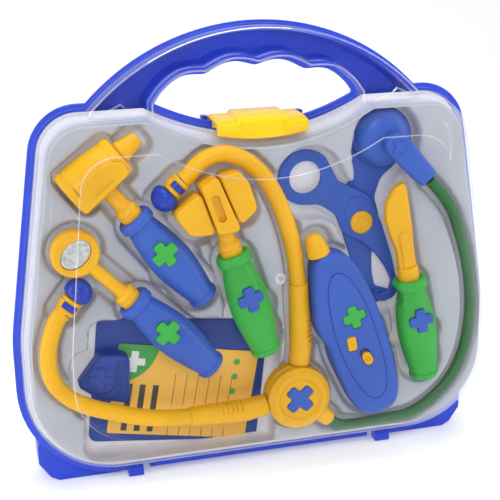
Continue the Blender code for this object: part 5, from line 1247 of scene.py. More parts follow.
@dataclass(frozen=True)
class Latch:
    """Yellow snap latch: raised middle, lower wings, hook over the lid's rim and stub pins."""

    half_width: float = 0.0265
    pivot_y: float = 0.0095
    pivot_z: float = 0.2140
    barrel: float = 0.0026
    rise: float = 0.0054
    drop: float = 0.0019
    step_at: float = 0.0150
    step: float = 0.0016
    front: float = -0.0180
    recess: float = 0.0014
    recess_margin: float = 0.0022
    recess_slope: float = 0.0009
    tooth: float = -0.0018 - 0.0004
    tooth_deep: float = 0.0022
    lip: float = 0.2058
    hook: float = 0.2084
    ahead: float = 0.2096
    under: float = 0.2120
    pin_reach: float = 0.0025
    pin_radius: float = 0.0012
    steps: int = 60

    def section(self, x: float) -> list:
        """Depths and heights round the latch at one place across it.

        Args:
            x: Place across the latch.

        Returns:
            Pairs of depth and height.
        """
        lift = (RIM.top - RIM.dip) * (x / RIM.dip_half) ** 2
        wide = smoothed(clamped((abs(x) - self.step_at) / self.step + 0.5))
        end = max(0.0, abs(x) - self.half_width + self.step)
        top = self.rise - self.drop * wide - end
        inset = 1.0 - clamped((abs(x) - self.step_at + self.recess_margin) / self.recess_slope)
        front, tooth, back = self.front - self.pivot_y, self.tooth - self.pivot_y, self.barrel
        behind = tooth - self.tooth_deep
        lip, under, ahead, hook = (z - self.pivot_z + lift for z in (self.lip, self.under, self.ahead, self.hook))
        face, shelf = front + self.recess * inset + end, front + self.recess
        outside = [(0.1 * front, top), (0.62 * front, top), (0.86 * front, top - 0.35 * self.drop), (face, 0.30 * top)]
        catch = [(face, ahead), (shelf, lip), (shelf + 0.0026, lip), (shelf + 0.0030, ahead), (behind, ahead + 0.0004),
                 (behind, hook), (tooth, hook), (tooth, under), (0.0025 - self.pivot_y, under)]
        turn = ((-0.7, -0.8), (0.0, -1.0), (0.8, -0.6), (1.0, 0.0), (0.7, 0.8))
        return outside + catch + [(a * back, b * back) for a, b in turn]

    def build(self) -> None:
        """Build and dress the latch."""
        edge = self.half_width
        rings = []
        for place in range(2 * self.steps + 1):
            x = edge * (place / self.steps - 1)
            outline = softened(self.section(x), 0.0009, 3)
            rings.append([Vector((x, a + self.pivot_y, b + self.pivot_z)) for a, b in outline])
        latch = solid("latch_clip", rings)
        for hand in (-1, 1):
            ends = sorted((hand * (edge - self.step), hand * (edge + self.pin_reach)))
            join(latch, spun_across([(end, self.pin_radius) for end in ends], self.pivot_z, 24, self.pivot_y))
        dress(latch, Finish.LATCH_YELLOW, "latch", body="latch", angle=38)


@dataclass(frozen=True)
class Grip:
    """Hollow hand grip, bellied, with a collar groove at each end and a cross let into its front."""

    name: str
    colour: Finish
    cross_colour: Finish
    cross_height: float = 0.0400
    length: float = 0.0660
    radius: float = 0.0104
    span: float = 0.0150
    arm: float = 0.0062
    broad: float = 0.17
    bore: float = 0.72
    cross_rise: float = 0.0010

    def profile(self) -> list:
        """Heights and radii from the tail to the top.

        Returns:
            Pairs of height and radius.
        """
        belly = eased([(0.085, 0.815), (0.24, 0.92), (0.48, 1.0), (0.72, 0.94), (0.885, 0.83)])
        shares = [(0.0, 0.50), (0.0, 0.72), (0.020, 0.86), (0.058, 0.87), (0.062, 0.80)] + belly
        shares += [(0.900, 0.82), (0.906, 0.97), (0.925, 1.0), (0.970, 1.0), (1.0, 0.90), (1.0, 0.675)]
        return pairs(0.0, self.radius, shares, self.length)

    def bellied(self, rings: list[Ring]) -> list[Ring]:
        """The rings, broader across the hand between both collars than front to back.

        Args:
            rings: Round rings of the grip.

        Returns:
            The broadened rings.
        """
        low, high = 0.064 * self.length, 0.904 * self.length
        for points in rings:
            share = clamped((points[0].z - low) / (high - low))
            for point in points:
                point.x *= 1 + self.broad * math.sin(math.pi * share) ** 1.2
        return rings

    def build(self, place: Place, cut: list[Ring] | None = None) -> None:
        """Build and dress the grip and its cross; cut takes a finger rest out of it.

        Args:
            place: Where the grip stands.
            cut: Rings of the finger rest, if there is one.
        """
        inner = self.radius * self.bore
        profile = softened(self.profile(), 0.0006, 2)
        shape = self.bellied(spun(profile)) + spun([(0.006, inner), (0.006, inner * 0.3)])
        grip = solid(self.name + "_handle", shape, place.matrix())
        front = -self.radius - self.cross_rise
        cross = plus(0.0, self.cross_height, self.span, self.arm, 0.0016)
        carve(grip, slab(grown(cross, GAP), front - OVERRUN, front + 0.0027), place.matrix())
        badge = solid(self.name + "_plus", slab(cross, front, front + 0.0024, 0.0006), place.matrix())
        dress(badge, self.cross_colour, self.name + "_cross")
        if cut:
            carve(grip, cut, place.matrix())
        dress(grip, self.colour, self.name + "_grip", angle=40)

    def pocket(self) -> tuple[Outline, float]:
        """Outline under the grip, and how far the grip reaches behind its axis."""
        low, high = self.radius * 0.8, self.length - self.radius * 0.6
        return capsule(0.0, low, high, self.radius + POCKET_ROOM), self.radius


def collar(neck: float, neck_end: float) -> list:
    """Heights and radii of the collar that stands on a grip and narrows to a neck.

    Args:
        neck: Radius at the top.
        neck_end: Height of the top.

    Returns:
        Pairs of height and radius.
    """
    top = COLLAR_BASE + 0.0072
    rise = pairs(COLLAR_BASE, COLLAR_RADIUS, ((-0.0024, 0.98), (0.0011, 1.0), (0.0022, 1.0), (0.0025, 0.93),
                                              (0.0031, 0.93), (0.0034, 1.0)))
    rise += pairs(top, COLLAR_RADIUS, ((-0.0016, 1.0), (0.0, 0.85)))
    return softened(rise + [(top, neck * 1.15), (top + 0.002, neck), (neck_end, neck)], 0.0004, 2)


@dataclass(frozen=True)
class Toy:
    """A toy with a grip, lying in its own pocket of the tray."""

    place: Place
    grip: Grip

    def wells(self, stem_end: float, *flats: tuple[Outline, float]) -> list[Well]:
        """Pockets of the tray under the toy.

        Args:
            stem_end: Height of the stem's end.
            flats: Outlines of wider parts, each with its reach behind the toy's axis.

        Returns:
            The pockets of the grip, the stem and the wider parts.
        """
        stem = capsule(0.0, STEM_START, stem_end, COLLAR_RADIUS + POCKET_ROOM)
        parts = (self.grip.pocket(), (stem, COLLAR_RADIUS), *flats)
        return [self.place.pocket(outline, deep) for outline, deep in parts]


@dataclass(frozen=True)
class Otoscope(Toy):
    """Otoscope: viewing barrel with a boss on its side, ear cone, neck and grip."""

    axis: float = 0.0980
    length: float = 0.0356
    eye: float = 0.0137
    nose: float = 0.0116
    lens: float = 0.0095
    socket: float = 0.0046
    neck: float = 0.0046
    seam_x: float = 0.0128
    boss: tuple = ((-0.0172, -0.0102, 0.0016), (0.0150, -0.0090, 0.0030), (0.0166, -0.0020, 0.0030),
                   (0.0105, 0.0036, 0.0080), (0.0010, 0.0060, 0.0200), (-0.0090, 0.0030, 0.0120),
                   (-0.0160, -0.0045, 0.0050))
    cone: tuple = ((-0.004, 0.0042), (0.0, 0.0042), (0.0, 0.0062), (0.0006, 0.0066), (0.0020, 0.0066),
                   (0.0032, 0.0059), (0.0122, 0.0042), (0.0130, 0.0038), (0.0130, 0.0025), (0.0, 0.0025))

    def barrel(self) -> list:
        """Positions and radii along the barrel, from its bore round the outside to its nose.

        Returns:
            Pairs of position and radius.
        """
        half, eye, nose, lens = self.length / 2, self.eye, self.nose, self.lens
        rim = ((0.0, -0.0012), (0.0010, 0.0), (0.0040, 0.0), (0.0043, -0.0005), (0.0051, -0.0005), (0.0054, -0.0001))
        outside = [(a - half, eye + b) for a, b in rim]
        outside += eased([(0.0060 - half, eye - 0.0001), (0.0, (eye + nose) / 2 + 0.0004), (half - 0.0050, nose)])
        outside += [(half - a, nose + b) for a, b in ((0.0045, 0.0005), (0.0012, 0.0004), (0.0, -0.0012))]
        inner = [(half - 0.006, lens - 0.002), (0.002 - half, lens - 0.002), (0.002 - half, lens), (-half, lens)]
        return inner + softened(outside, 0.0006, 2) + [(half, self.socket), (half - 0.0043, self.socket)]

    def build(self) -> None:
        """Build and dress the otoscope."""
        at, level, face = self.place.matrix(), self.axis, -self.eye - 0.0006
        self.grip.build(self.place)
        head = solid("otoscope_barrel", spun_across(self.barrel(), level), at)
        join(head, spun(collar(self.neck, level - (self.eye + self.lens) / 2)), at)
        for hand in (-1, 1):
            seam = box(hand * self.seam_x, level, 0.0006, 2.2 * self.eye, 0.0)
            carve(head, slab(seam, -1.2 * self.eye, 0.0018 - self.eye), at)
        boss = rounded([(x, level + z, corner) for x, z, corner in self.boss], 10)
        join(head, slab(boss, face, face + 0.0085, 0.0012), at)
        slot = box(-0.0004, level - 0.0050, 0.0130, 0.0026, 0.0012)
        carve(head, slab(slot, face - OVERRUN, face + 0.0006), at)
        dress(head, Finish.YELLOW, "otoscope_head")
        start = self.length / 2 + GAP
        tip = solid("otoscope_cone", spun_across(pairs(start, 1.0, self.cone), level), at)
        dress(tip, Finish.YELLOW, "otoscope_speculum")

    def pockets(self) -> list[Well]:
        """Pockets of the tray under the otoscope.

        Returns:
            Outline and floor of each pocket.
        """
        barrel = box(0.0, self.axis, self.length + 0.002, 2 * self.eye + 0.002, 0.0045)
        cone = box((self.length + 0.017) / 2, self.axis, 0.017, 0.0172, 0.0045)
        return self.wells(self.axis * 0.9, (barrel, self.eye), (cone, COLLAR_RADIUS))


@dataclass(frozen=True)
class Hammer(Toy):
    """Reflex hammer: slotted band on a stem with a blunt block on each side."""

    centre: float = 0.0965
    half_height: float = 0.0165
    left: float = 0.0250
    right: float = 0.0212
    band_wide: float = 0.0068
    band_high: float = 0.0175
    band_deep: float = 0.0100
    block_deep: float = 0.0080
    corner: float = 0.0026
    neck: float = 0.0046
    slot: tuple = (0.0046, 0.0165, 0.0022)

    def band(self) -> Outline:
        """Outline of the band between the blocks."""
        shares = ((1.2, -1.0), (0.75, 1.0), (-0.85, 0.85), (-0.75, -0.85))
        return rounded([(a * self.band_wide, self.centre + b * self.band_high, self.corner) for a, b in shares])

    def blocks(self) -> list[tuple[str, Outline]]:
        """Names and outlines of both blocks.

        Returns:
            The left block, then the right one.
        """
        mid, half, wide, corner = self.centre, self.half_height, self.band_wide, self.corner
        near = SEAT + GAP
        left = [(-0.75 * wide - near, mid - 0.88 * half, corner), (-0.85 * wide - near, mid + 0.70 * half, corner),
                (-self.left, mid + 0.32 * half, corner * 1.5), (-0.80 * self.left, mid - 0.60 * half, corner * 2)]
        right = [(1.2 * wide + near, mid - 0.90 * half, corner), (self.right, mid - 0.58 * half, corner * 2),
                 (self.right, mid + 0.40 * half, corner), (0.85 * self.right, mid + 0.92 * half, corner * 1.5),
                 (0.82 * wide + near, mid + 0.98 * half, corner)]
        return [("left", rounded(left)), ("right", rounded(right))]

    def build(self) -> None:
        """Build and dress the hammer."""
        at, deep, thick = self.place.matrix(), self.band_deep, self.block_deep
        self.grip.build(self.place)
        yoke = solid("hammer_band", slab(self.band(), -deep, deep, 0.0014, 0.0014), at)
        join(yoke, spun(collar(self.neck, self.centre - self.band_high + 0.0052)), at)
        carve(yoke, slab(box(0.0, self.centre, *self.slot), -deep - OVERRUN, 0.0030 - deep), at)
        dress(yoke, Finish.YELLOW, "hammer_yoke")
        for side, outline in self.blocks():
            block = solid("hammer_" + side, slab(outline, -thick, thick, 0.0013, 0.0013), at)
            dress(block, Finish.YELLOW, "hammer_block_" + side)

    def pockets(self) -> list[Well]:
        """Pockets of the tray under the hammer.

        Returns:
            Outline and floor of each pocket.
        """
        across = (self.right - self.left) / 2
        head = box(across, self.centre, self.left + self.right + 0.004, 2 * self.band_high + 0.004, 0.009)
        return self.wells(self.centre, (head, self.band_deep))


@dataclass(frozen=True)
class Mirror(Toy):
    """Dental mirror: oval foil let into a rimmed round head on a stem."""

    centre: float = 0.1085
    radius: float = 0.0137
    thickness: float = 0.0080
    glass: float = 0.0096
    oval: float = 0.72
    turn: float = 2.0
    neck: float = 0.0038
    rim: float = 0.0012

    def build(self) -> None:
        """Build and dress the mirror."""
        at, half = self.place.matrix(), self.thickness / 2
        self.grip.build(self.place)
        head = solid("mirror_head", slab(circle(0.0, self.centre, self.radius), -half, half, 0.0026, 0.002), at)
        join(head, spun(collar(self.neck, self.centre - self.radius * 0.8)), at)
        join(head, slab(self.oval_by(self.rim), -half - 0.0004, 0.0, 0.0005), at)
        carve(head, slab(self.oval_by(GAP), -half - OVERRUN, 0.0023 - half), at)
        dress(head, Finish.YELLOW, "mirror_frame")
        glass = solid("mirror_pane", slab(self.oval_by(0.0), 0.0006 - half, 0.0020 - half, 0.0003), at)
        dress(glass, Finish.FOIL, "mirror_glass")

    def oval_by(self, extra: float) -> Outline:
        """The foil's oval, wider by a margin all round."""
        return ellipse(0.0, self.centre, self.glass + extra, self.glass * self.oval + extra, self.turn)

    def pockets(self) -> list[Well]:
        """Pockets of the tray under the mirror."""
        return self.wells(self.centre, (circle(0.0, self.centre, self.radius + POCKET_ROOM), COLLAR_RADIUS))


@dataclass(frozen=True)
class Scalpel(Toy):
    """Toy scalpel: blunt curved blade on a flat tang with a rounded spine, finger rest in the grip."""

    stem_end: float = 0.0890
    blade_end: float = 0.1262
    left: float = 0.0098
    right: float = 0.0070
    thickness: float = 0.0056
    stem_width: float = 0.0110
    collar_end: float = 0.0736
    spine_top: float = 0.0962
    spine_radius: float = 0.0030
    spine_rise: float = 0.0012
    corner: float = 0.0018

    def blade(self) -> Outline:
        """Outline of the blade and its tang.

        Returns:
            Points round the blade.
        """
        low, tall = self.stem_end, self.blade_end - self.stem_end
        left, right, corner = self.left, self.right, self.corner
        tang, foot = self.stem_width / 2, self.collar_end - 0.002
        edge = ((0.93 * right, 0.2, 8), (right, 0.90, 1), (0.78 * right, 1.0, 1), (-0.05 * left, 0.93, 4),
                (-0.72 * left, 0.72, 4), (-0.93 * left, 0.44, 4), (-0.78 * left, 0.16, 4))
        curve = [(x, low + share * tall, times * corner) for x, share, times in edge]
        return rounded([(tang, foot, 0.0), (tang, low - 2 * corner, 2 * corner), *curve,
                        (-tang, low - 2 * corner, 4 * corner), (-tang, foot, 0.0)])

    def neck(self) -> list:
        """Heights and radii of the collar on the grip.

        Returns:
            Pairs of height and radius.
        """
        profile = pairs(COLLAR_BASE, COLLAR_RADIUS, ((-0.0024, 0.98), (0.0008, 1.0)))
        profile += pairs(self.collar_end, COLLAR_RADIUS, ((-0.0008, 1.0), (0.0, 0.88), (0.0, 0.4)))
        return softened(profile, 0.0005, 2)

    def build(self) -> None:
        """Build and dress the scalpel."""
        at, half, wide = self.place.matrix(), self.thickness / 2, self.grip.radius
        rest = circle(-wide * 1.55, self.grip.length * 0.86, wide * 0.85)
        self.grip.build(self.place, slab(rest, -2 * wide, 2 * wide))
        blade = solid("scalpel_knife", slab(self.blade(), -half, half, 0.0016, 0.0016), at)
        spine = capsule(0.0, self.collar_end - 0.0015, self.spine_top - self.spine_radius, self.spine_radius)
        join(blade, slab(spine, -half - self.spine_rise, half + self.spine_rise, 0.0011, 0.0011), at)
        join(blade, spun(self.neck()), at)
        dress(blade, Finish.YELLOW, "scalpel_blade")

    def pockets(self) -> list[Well]:
        """Pockets of the tray under the scalpel.

        Returns:
            Outline and floor of each pocket.
        """
        wide, tall = self.left + self.right + 0.004, self.blade_end - self.stem_end + 0.004
        blade = box((self.right - self.left) / 2, (self.stem_end + self.blade_end) / 2, wide, tall, 0.0045)
        return self.wells(self.stem_end, (blade, COLLAR_RADIUS))


@dataclass(frozen=True)
class Thermometer:
    """Ear thermometer: two shells, tip, cross, window and a switch that slides in its slot."""

    place: Place
    length: float = 0.1080
    half_width: float = 0.0185
    half_depth: float = 0.0085
    edge: float = 0.0034
    face_rise: float = 0.0005
    groove_width: float = 0.0008
    groove_depth: float = 0.0004
    window: tuple = (0.0058, 0.0090, 0.0016)
    window_place: tuple = (-0.0024, 0.0512, 9.5)
    cross: tuple = (0.0042, 0.0668, 0.01425, 0.0059, 0.0016)
    inlay_rise: float = 0.0008
    inlay_depth: float = 0.0014
    tip_x: float = -0.0014
    tip_radius: float = 0.0068
    tip_foot: tuple = ((0.0009, 0.8), (0.0012, 1.02))
    tip_shares: tuple = ((0.0030, 1.0), (0.0080, 0.86), (0.0116, 0.72), (0.0136, 0.50), (0.0145, 0.10))
    switch_x: float = 0.0034
    switch_z: float = 0.0395
    switch_turn: float = -12.0
    switch_radius: float = 0.0029
    travel: float = 0.00295
    rib_start: float = -0.0028
    rib_pitch: float = 0.0013
    shares: tuple = ((0.10, -0.008), (0.55, 0.005), (0.84, 0.07), (1.02, 0.22), (1.10, 0.42), (1.10, 0.64),
                     (0.93, 0.86), (0.62, 0.975), (0.10, 1.015), (-0.38, 0.985), (-0.63, 0.88), (-0.88, 0.74),
                     (-1.00, 0.66), (-0.98, 0.56), (-0.86, 0.495), (-0.90, 0.40), (-0.84, 0.26), (-0.70, 0.09),
                     (-0.40, 0.015))
    face_shares: tuple = ((0.17, 0.10), (0.45, 0.14), (0.66, 0.27), (0.74, 0.45), (0.70, 0.66), (0.50, 0.83),
                          (0.20, 0.895), (-0.12, 0.875), (-0.38, 0.77), (-0.53, 0.60), (-0.55, 0.43), (-0.44, 0.27),
                          (-0.16, 0.13))

    def outline(self, shares: tuple | None = None) -> Outline:
        """The body seen from the front, in its own frame, or another curve given by shares of it."""
        places = [(self.half_width * a, self.length * b, 0.0) for a, b in shares or self.shares]
        return [point.to_2d() for point in smooth_route(places + places[:1], 97)[:-1]]

    def build(self) -> None:
        """Build and dress the thermometer."""
        at = self.place.matrix()
        outline, deep = self.outline(), self.half_depth
        front = solid("thermometer_face", slab(outline, -deep, -GAP / 2, self.edge), at)
        back = solid("thermometer_rear", slab(outline, GAP / 2, deep, 0.0, self.edge), at)
        face = self.outline(self.face_shares)
        join(front, slab(face, -deep - self.face_rise, 0.0006 - deep, self.face_rise), at)
        around = grown(face, self.groove_width)
        groove = solid("tool", slab(around, -deep - OVERRUN, self.groove_depth - deep), at)
        carve(groove, slab(face, -deep - 2 * OVERRUN, OVERRUN), at)
        combine(front, groove, "DIFFERENCE")
        window = turned(box(0.0, 0.0, *self.window), *self.window_place)
        for name, shape, node, finish in (("screen", window, "window", Finish.YELLOW),
                                          ("plus", plus(*self.cross), "cross", Finish.GREEN)):
            carve(front, slab(grown(shape, GAP), -deep - OVERRUN, 0.0017 - deep), at)
            inlay = slab(shape, -deep - self.inlay_rise, self.inlay_depth - deep, 0.0005)
            dress(solid("thermometer_" + name, inlay, at), finish, "thermometer_" + node)
        self.build_switch(front)
        dress(front, Finish.BLUE, "thermometer_front")
        dress(back, Finish.BLUE, "thermometer_back")
        tip, wide = self.length, self.tip_radius
        profile = pairs(tip, wide, self.tip_foot) + eased(pairs(tip, wide, self.tip_shares))
        cone = solid("thermometer_cone", spun(profile, 48, self.tip_x), at)
        dress(cone, Finish.YELLOW, "thermometer_tip")

    def build_switch(self, front: bpy.types.Object) -> None:
        """Cut the slot and build the switch.

        Args:
            front: Shell that gets the slot.
        """
        deep, travel = self.half_depth, self.travel
        place = self.place.inner(self.switch_x, self.switch_z, self.switch_turn)
        slot = capsule(0.0, -travel, travel, self.switch_radius + SEAT)
        carve(front, slab(slot, -deep - OVERRUN, 0.0024 - deep), place)
        button = capsule(0.0, -travel, -0.00005, self.switch_radius)
        switch = solid("thermometer_button", slab(button, -deep - 0.0008, 0.0020 - deep, 0.0005), place)
        for step in range(3):
            rib = box(0.0, self.rib_start + self.rib_pitch * step, 0.0034, 0.0005, 0.0002)
            carve(switch, slab(rib, -deep - OVERRUN, -deep - 0.0004), place)
        dress(switch, Finish.YELLOW, "thermometer_switch", body="thermometer_switch")

    def pockets(self) -> list[Well]:
        """Pockets of the tray under the thermometer.

        Returns:
            Outline and floor of each pocket.
        """
        tip = capsule(0.0, self.length * 0.9, self.length + 0.0077, self.tip_radius + POCKET_ROOM)
        body = grown(self.outline(), POCKET_ROOM)
        return [self.place.pocket(body, self.half_depth), self.place.pocket(tip, self.tip_radius)]


@dataclass(frozen=True)
class Scissors:
    """Toy scissors: two halves with finger rings, one behind the other, on a rivet."""

    place: Place
    thickness: float = 0.0026
    ring_x: float = 0.0238
    ring_z: float = 0.0392
    ring_radius: float = 0.0166
    hole: float = 0.0099
    hub: float = 0.0092
    length: float = 0.0520
    bow: float = 0.0110
    tip: float = 0.0058
    broad: float = 0.0042
    side: float = 0.0022
    swing: float = -3.5
    bore: float = 0.0034

    def edge(self, broad: float) -> list:
        """Corners of one blade from its heel round the toe to the hub; broad moves its cutting edge.

        Args:
            broad: How far the cutting edge moves out; zero adds the hook.

        Returns:
            Corners as x, z and radius.
        """
        length, bow, tip = -self.length, self.bow, self.tip
        toe = length - 0.45 * tip
        shares = ((-0.35, 0.22, 2), (0.30, 0.46, 3), (0.56, 0.66, 3), (0.66, 0.84, 0.7))
        inner = scaled(shares, bow, length, tip, -broad)
        shares = ((0.30, 0.95, 0.4), (-0.28, 0.94, 0.2), (-0.34, 0.865, 0.1), (-0.62, 0.90, 0.15))
        hook = scaled(shares, bow, length, tip)
        heel = scaled(((-0.60, 0.98, 0.4),), bow, length, tip)
        outer = scaled(((0.93, 0.97, 1), (1.10, 0.55, 12), (1.10, 0.10, 4)), bow, length, tip)
        ends = [(-0.10 * bow, toe, 0.7 * tip), (0.52 * bow, toe, tip)]
        return inner + (hook if broad == 0 else []) + heel + ends + outer

    def outline(self, broad: float) -> Outline:
        """One half: ring at the left, wide arm, hub and blade at the right.

        Args:
            broad: How far the cutting edge moves out.

        Returns:
            Points round the half.
        """
        finger = arc(-self.ring_x, self.ring_z, self.ring_radius, math.radians(20), math.radians(252), 48)
        hub = self.hub
        arm = scaled(((-2.25, 2.20, 1.2), (-1.45, 1.15, 1.2), (-1.40, -0.10, 0.5), (-1.05, -0.65, 0.4)), hub, hub, hub)
        top = scaled(((1.05, 1.45, 0.6), (0.45, 2.15, 0.5), (-0.60, 3.20, 1.0)), hub, hub, hub)
        first, last = (*finger[0], 0.0), (*finger[-1], 0.0)
        return finger[1:-1] + rounded([last, *arm, *self.edge(broad), *top, first])

    def relief(self) -> Outline:
        """Raised blade and drop-shaped hub on the face of the near half."""
        drop = ((1.05, 0.90, 0.6), (0.62, 1.72, 0.6), (-0.30, 1.90, 0.6), (-0.95, 1.20, 0.8), (-0.98, -0.60, 0.4))
        return rounded(self.edge(0.0) + scaled(drop, self.hub, self.hub, self.hub))

    def build(self) -> None:
        """Build and dress both halves and the rivet."""
        at, thick, bore_deep = self.place.matrix(), self.thickness, 0.006
        halves = (
            ("near", -1, self.outline(0.0), -GAP / 2 - thick, "scissors_near_half"),
            ("far", 1, mirrored(self.outline(self.broad)), GAP / 2, "case"),
        )
        for name, hand, shape, front, body in halves:
            half = solid("scissors_half_" + name, slab(shape, front, front + thick, 0.0007, 0.0007), at)
            hole = slab(circle(hand * self.ring_x, self.ring_z, self.hole), front - OVERRUN, front + thick + OVERRUN)
            carve(half, hole, at)
            carve(half, slab(circle(0.0, 0.0, self.bore), -bore_deep, bore_deep), at)
            if hand < 0:
                raised = slab(grown(self.relief(), -0.0006), front - 0.0004, front + 0.0010, 0.0004)
                blade = solid("tool", raised, at)
                carve(blade, slab(circle(0.0, 0.0, self.bore + 0.0002), -bore_deep, bore_deep), at)
                attach(half, blade)
            dress(half, Finish.BLUE, "scissors_" + name, body=body)
        head = -GAP / 2 - thick - 0.0005
        profile = [(head - 0.0016, 0.0050), (head - 0.0014, 0.0060), (head - 0.0008, 0.0069), (head, 0.0069),
                   (head, 0.0030), (GAP / 2 + thick * 0.9, 0.0030)]
        rivet = solid("scissors_pin", spun_deep(profile), at)
        join(rivet, slab(plus(0.0, 0.0, 0.0083, 0.0029, 0.0006), head - 0.0022, head - 0.0008, 0.0003), at)
        dress(rivet, Finish.YELLOW, "scissors_rivet")

    def pockets(self) -> list[Well]:
        """Pockets of the tray under the scissors.

        Returns:
            Outline and floor of each pocket.
        """
        near, far = self.outline(0.0), mirrored(self.outline(self.broad))
        found = [grown(shape, self.side) for shape in (near, turned(near, 0.0, 0.0, self.swing), far)]
        low, bow = -self.length, self.bow
        found.append([Vector(pair) for pair in ((-bow, 0.0), (-0.8 * bow, low), (0.8 * bow, low), (bow, 0.0))])
        floor = self.place.y + self.thickness + GAP / 2 + SEAT
        return [(self.place.points(shape), floor) for shape in found]


@dataclass(frozen=True)
class EarTube:
    """One stethoscope tube with its ribbed sleeve, ear sleeve and rounded ear tip."""

    side: str
    depth: float
    route: tuple
    sleeve_end: tuple
    radius: float = 0.0049
    sleeve: float = 0.0056
    rib: float = 0.0067
    ribs: int = 6
    groove: float = 0.0009
    groove_side: float = 1.0
    ear_length: float = 0.0120
    ear_radius: float = 0.0082
    collar_length: float = 0.0090
    collar_radius: float = 0.0062
    collar_end: tuple = ((0.0, 0.88), (0.0006, 1.0), (0.0014, 1.0), (0.0017, 0.92), (0.0022, 0.92), (0.0025, 1.0))
    plate_reach: float = 0.0018
    plate_width: float = 0.0088

    def path(self, count: int) -> list[Vector]:
        """Points along the tube, from its ear end to its sleeve."""
        return smooth_route([(x, self.depth, z) for x, z in self.route], count)

    def holder(self) -> Place:
        """Place of the ear piece, its own Z axis out of the tube's end.

        Returns:
            The ear piece's place.
        """
        first, second = self.path(16)[:2]
        tilt = math.degrees(math.atan2(first.x - second.x, first.z - second.z))
        return Place(self.route[0][0], self.depth, self.route[0][1], tilt)

    def build(self, hub: Place, gap: float) -> None:
        """Build and dress the tube and its ear piece.

        Args:
            hub: Place of the hub.
            gap: Distance from the hub's middle to the end of the tube's neck.
        """
        points = self.path(90)
        radii = [self.radius] * len(points)
        start, end = points[-1], Vector((self.sleeve_end[0], self.depth, self.sleeve_end[1]))
        flare = eased([(0.008, 1.04), (0.25, 1.06), (0.50, 1.14), (0.75, 1.19), (1.0, 1.19)])
        for share, scale in [(0.004, 1.0)] + flare:
            points.append(start.lerp(end, share))
            radii.append(self.sleeve * scale)
        middle = Vector((hub.x, self.depth, hub.z))
        points.append(middle + (end - middle).normalized() * gap)
        radii.append(self.sleeve * 1.16)
        tube = solid("tube_" + self.side, swept(points, radii, 40))
        self.cut_grooves(tube, start, end)
        dress(tube, Finish.YELLOW, "stethoscope_tube_" + self.side, angle=40)
        self.build_ear()

    def cut_grooves(self, tube: bpy.types.Object, start: Vector, end: Vector) -> None:
        """Cut the row of short grooves across the front of the sleeve.

        Args:
            tube: Piece that gets the grooves.
            start: Where the sleeve starts.
            end: Where it ends.
        """
        way = start - end
        place = Place(end.x, self.depth, end.z, math.degrees(math.atan2(way.x, way.z))).matrix()
        span, wide = way.length, 2 * self.rib
        comb = solid("tool", slab(box(self.groove_side * wide, -wide, wide, 0.001, 0.0), -wide, 0.0), place)
        for step in range(self.ribs):
            height = span * (0.10 + 0.085 * step)
            tooth = box(self.groove_side * wide * 0.62, height, wide * 0.9, self.groove, 0.0)
            join(comb, slab(tooth, -wide, 0.0), place)
        carve(comb, spun([(-2 * wide, self.rib - 0.0007), (span, self.rib - 0.0007)], 40), place)
        combine(tube, comb, "DIFFERENCE")

    def build_ear(self) -> None:
        """Build and dress the sleeve and tip at the ear end."""
        at = self.holder().matrix()
        low, high, wide, end = SEAT, SEAT + self.collar_length, self.collar_radius, self.collar_end
        profile = pairs(low, wide, end) + pairs(high, wide, end, -1.0)[::-1]
        sleeve = solid("ear_collar_" + self.side, spun(profile, 40), at)
        middle, reach = (low + high) / 2, self.plate_reach
        plate = box(0.0, middle, self.plate_width, 2 * reach, 0.0006)
        carve(sleeve, slab(grown(plate, 0.0002), -wide - 0.001, -wide * 0.56), at)
        dress(sleeve, Finish.YELLOW, "ear_sleeve_" + self.side)
        band = [(middle - reach, 0.003), (middle - reach, wide * 0.98)]
        band += [(middle + reach, wide * 0.98), (middle + reach, 0.003)]
        inlay = solid("ear_inlay_" + self.side, spun(band, 40), at)
        combine(inlay, solid("tool", slab(plate, -wide - 0.001, -wide * 0.58), at), "INTERSECT")
        dress(inlay, Finish.EAR_BLUE)
        shares = [(0.0, 0.55), (0.02, 0.66)] + eased([(0.05, 0.82), (0.16, 0.96), (0.34, 1.0), (0.58, 0.93),
                                                    (0.80, 0.71), (0.94, 0.42), (1.0, 0.08)])
        tip = spun(pairs(high + SEAT, self.ear_radius, shares, self.ear_length))
        dress(solid("ear_ball_" + self.side, tip, at), Finish.EAR_BLUE, "ear_tip_" + self.side, angle=50)

    def pockets(self, hub: Place) -> list[Well]:
        """Grooves of the tray under the tube, its sleeve and the ear piece.

        Args:
            hub: Place of the hub.

        Returns:
            Outline and floor of each groove.
        """
        flat = [Vector((p.x, p.z)) for p in self.path(40)]
        ear = capsule(0.0, 0.0, 0.0161, self.ear_radius + TUBE_ROOM)
        start, end = flat[-1], Vector(self.sleeve_end)
        middle = end.lerp(Vector((hub.x, hub.z)), 0.5)
        return [
            (channel(flat, self.radius + TUBE_ROOM), self.depth + self.radius + SEAT),
            self.holder().pocket(ear, self.ear_radius),
            (channel([start, end, middle], self.rib + TUBE_ROOM), self.depth + self.rib + SEAT),
        ]


def channel(points: Outline, half_width: float) -> Outline:
    """Outline of a groove that follows points in the plane of the tray.

    Args:
        points: Middle line of the groove.
        half_width: Half its width.

    Returns:
        Points round the groove.
    """
    left, right = [], []
    for index, point in enumerate(points):
        along = (points[min(index + 1, len(points) - 1)] - points[max(index - 1, 0)]).normalized()
        across = Vector((along.y, -along.x))
        left.append(point - across * half_width)
        right.append(point + across * half_width)
    return right + list(reversed(left))


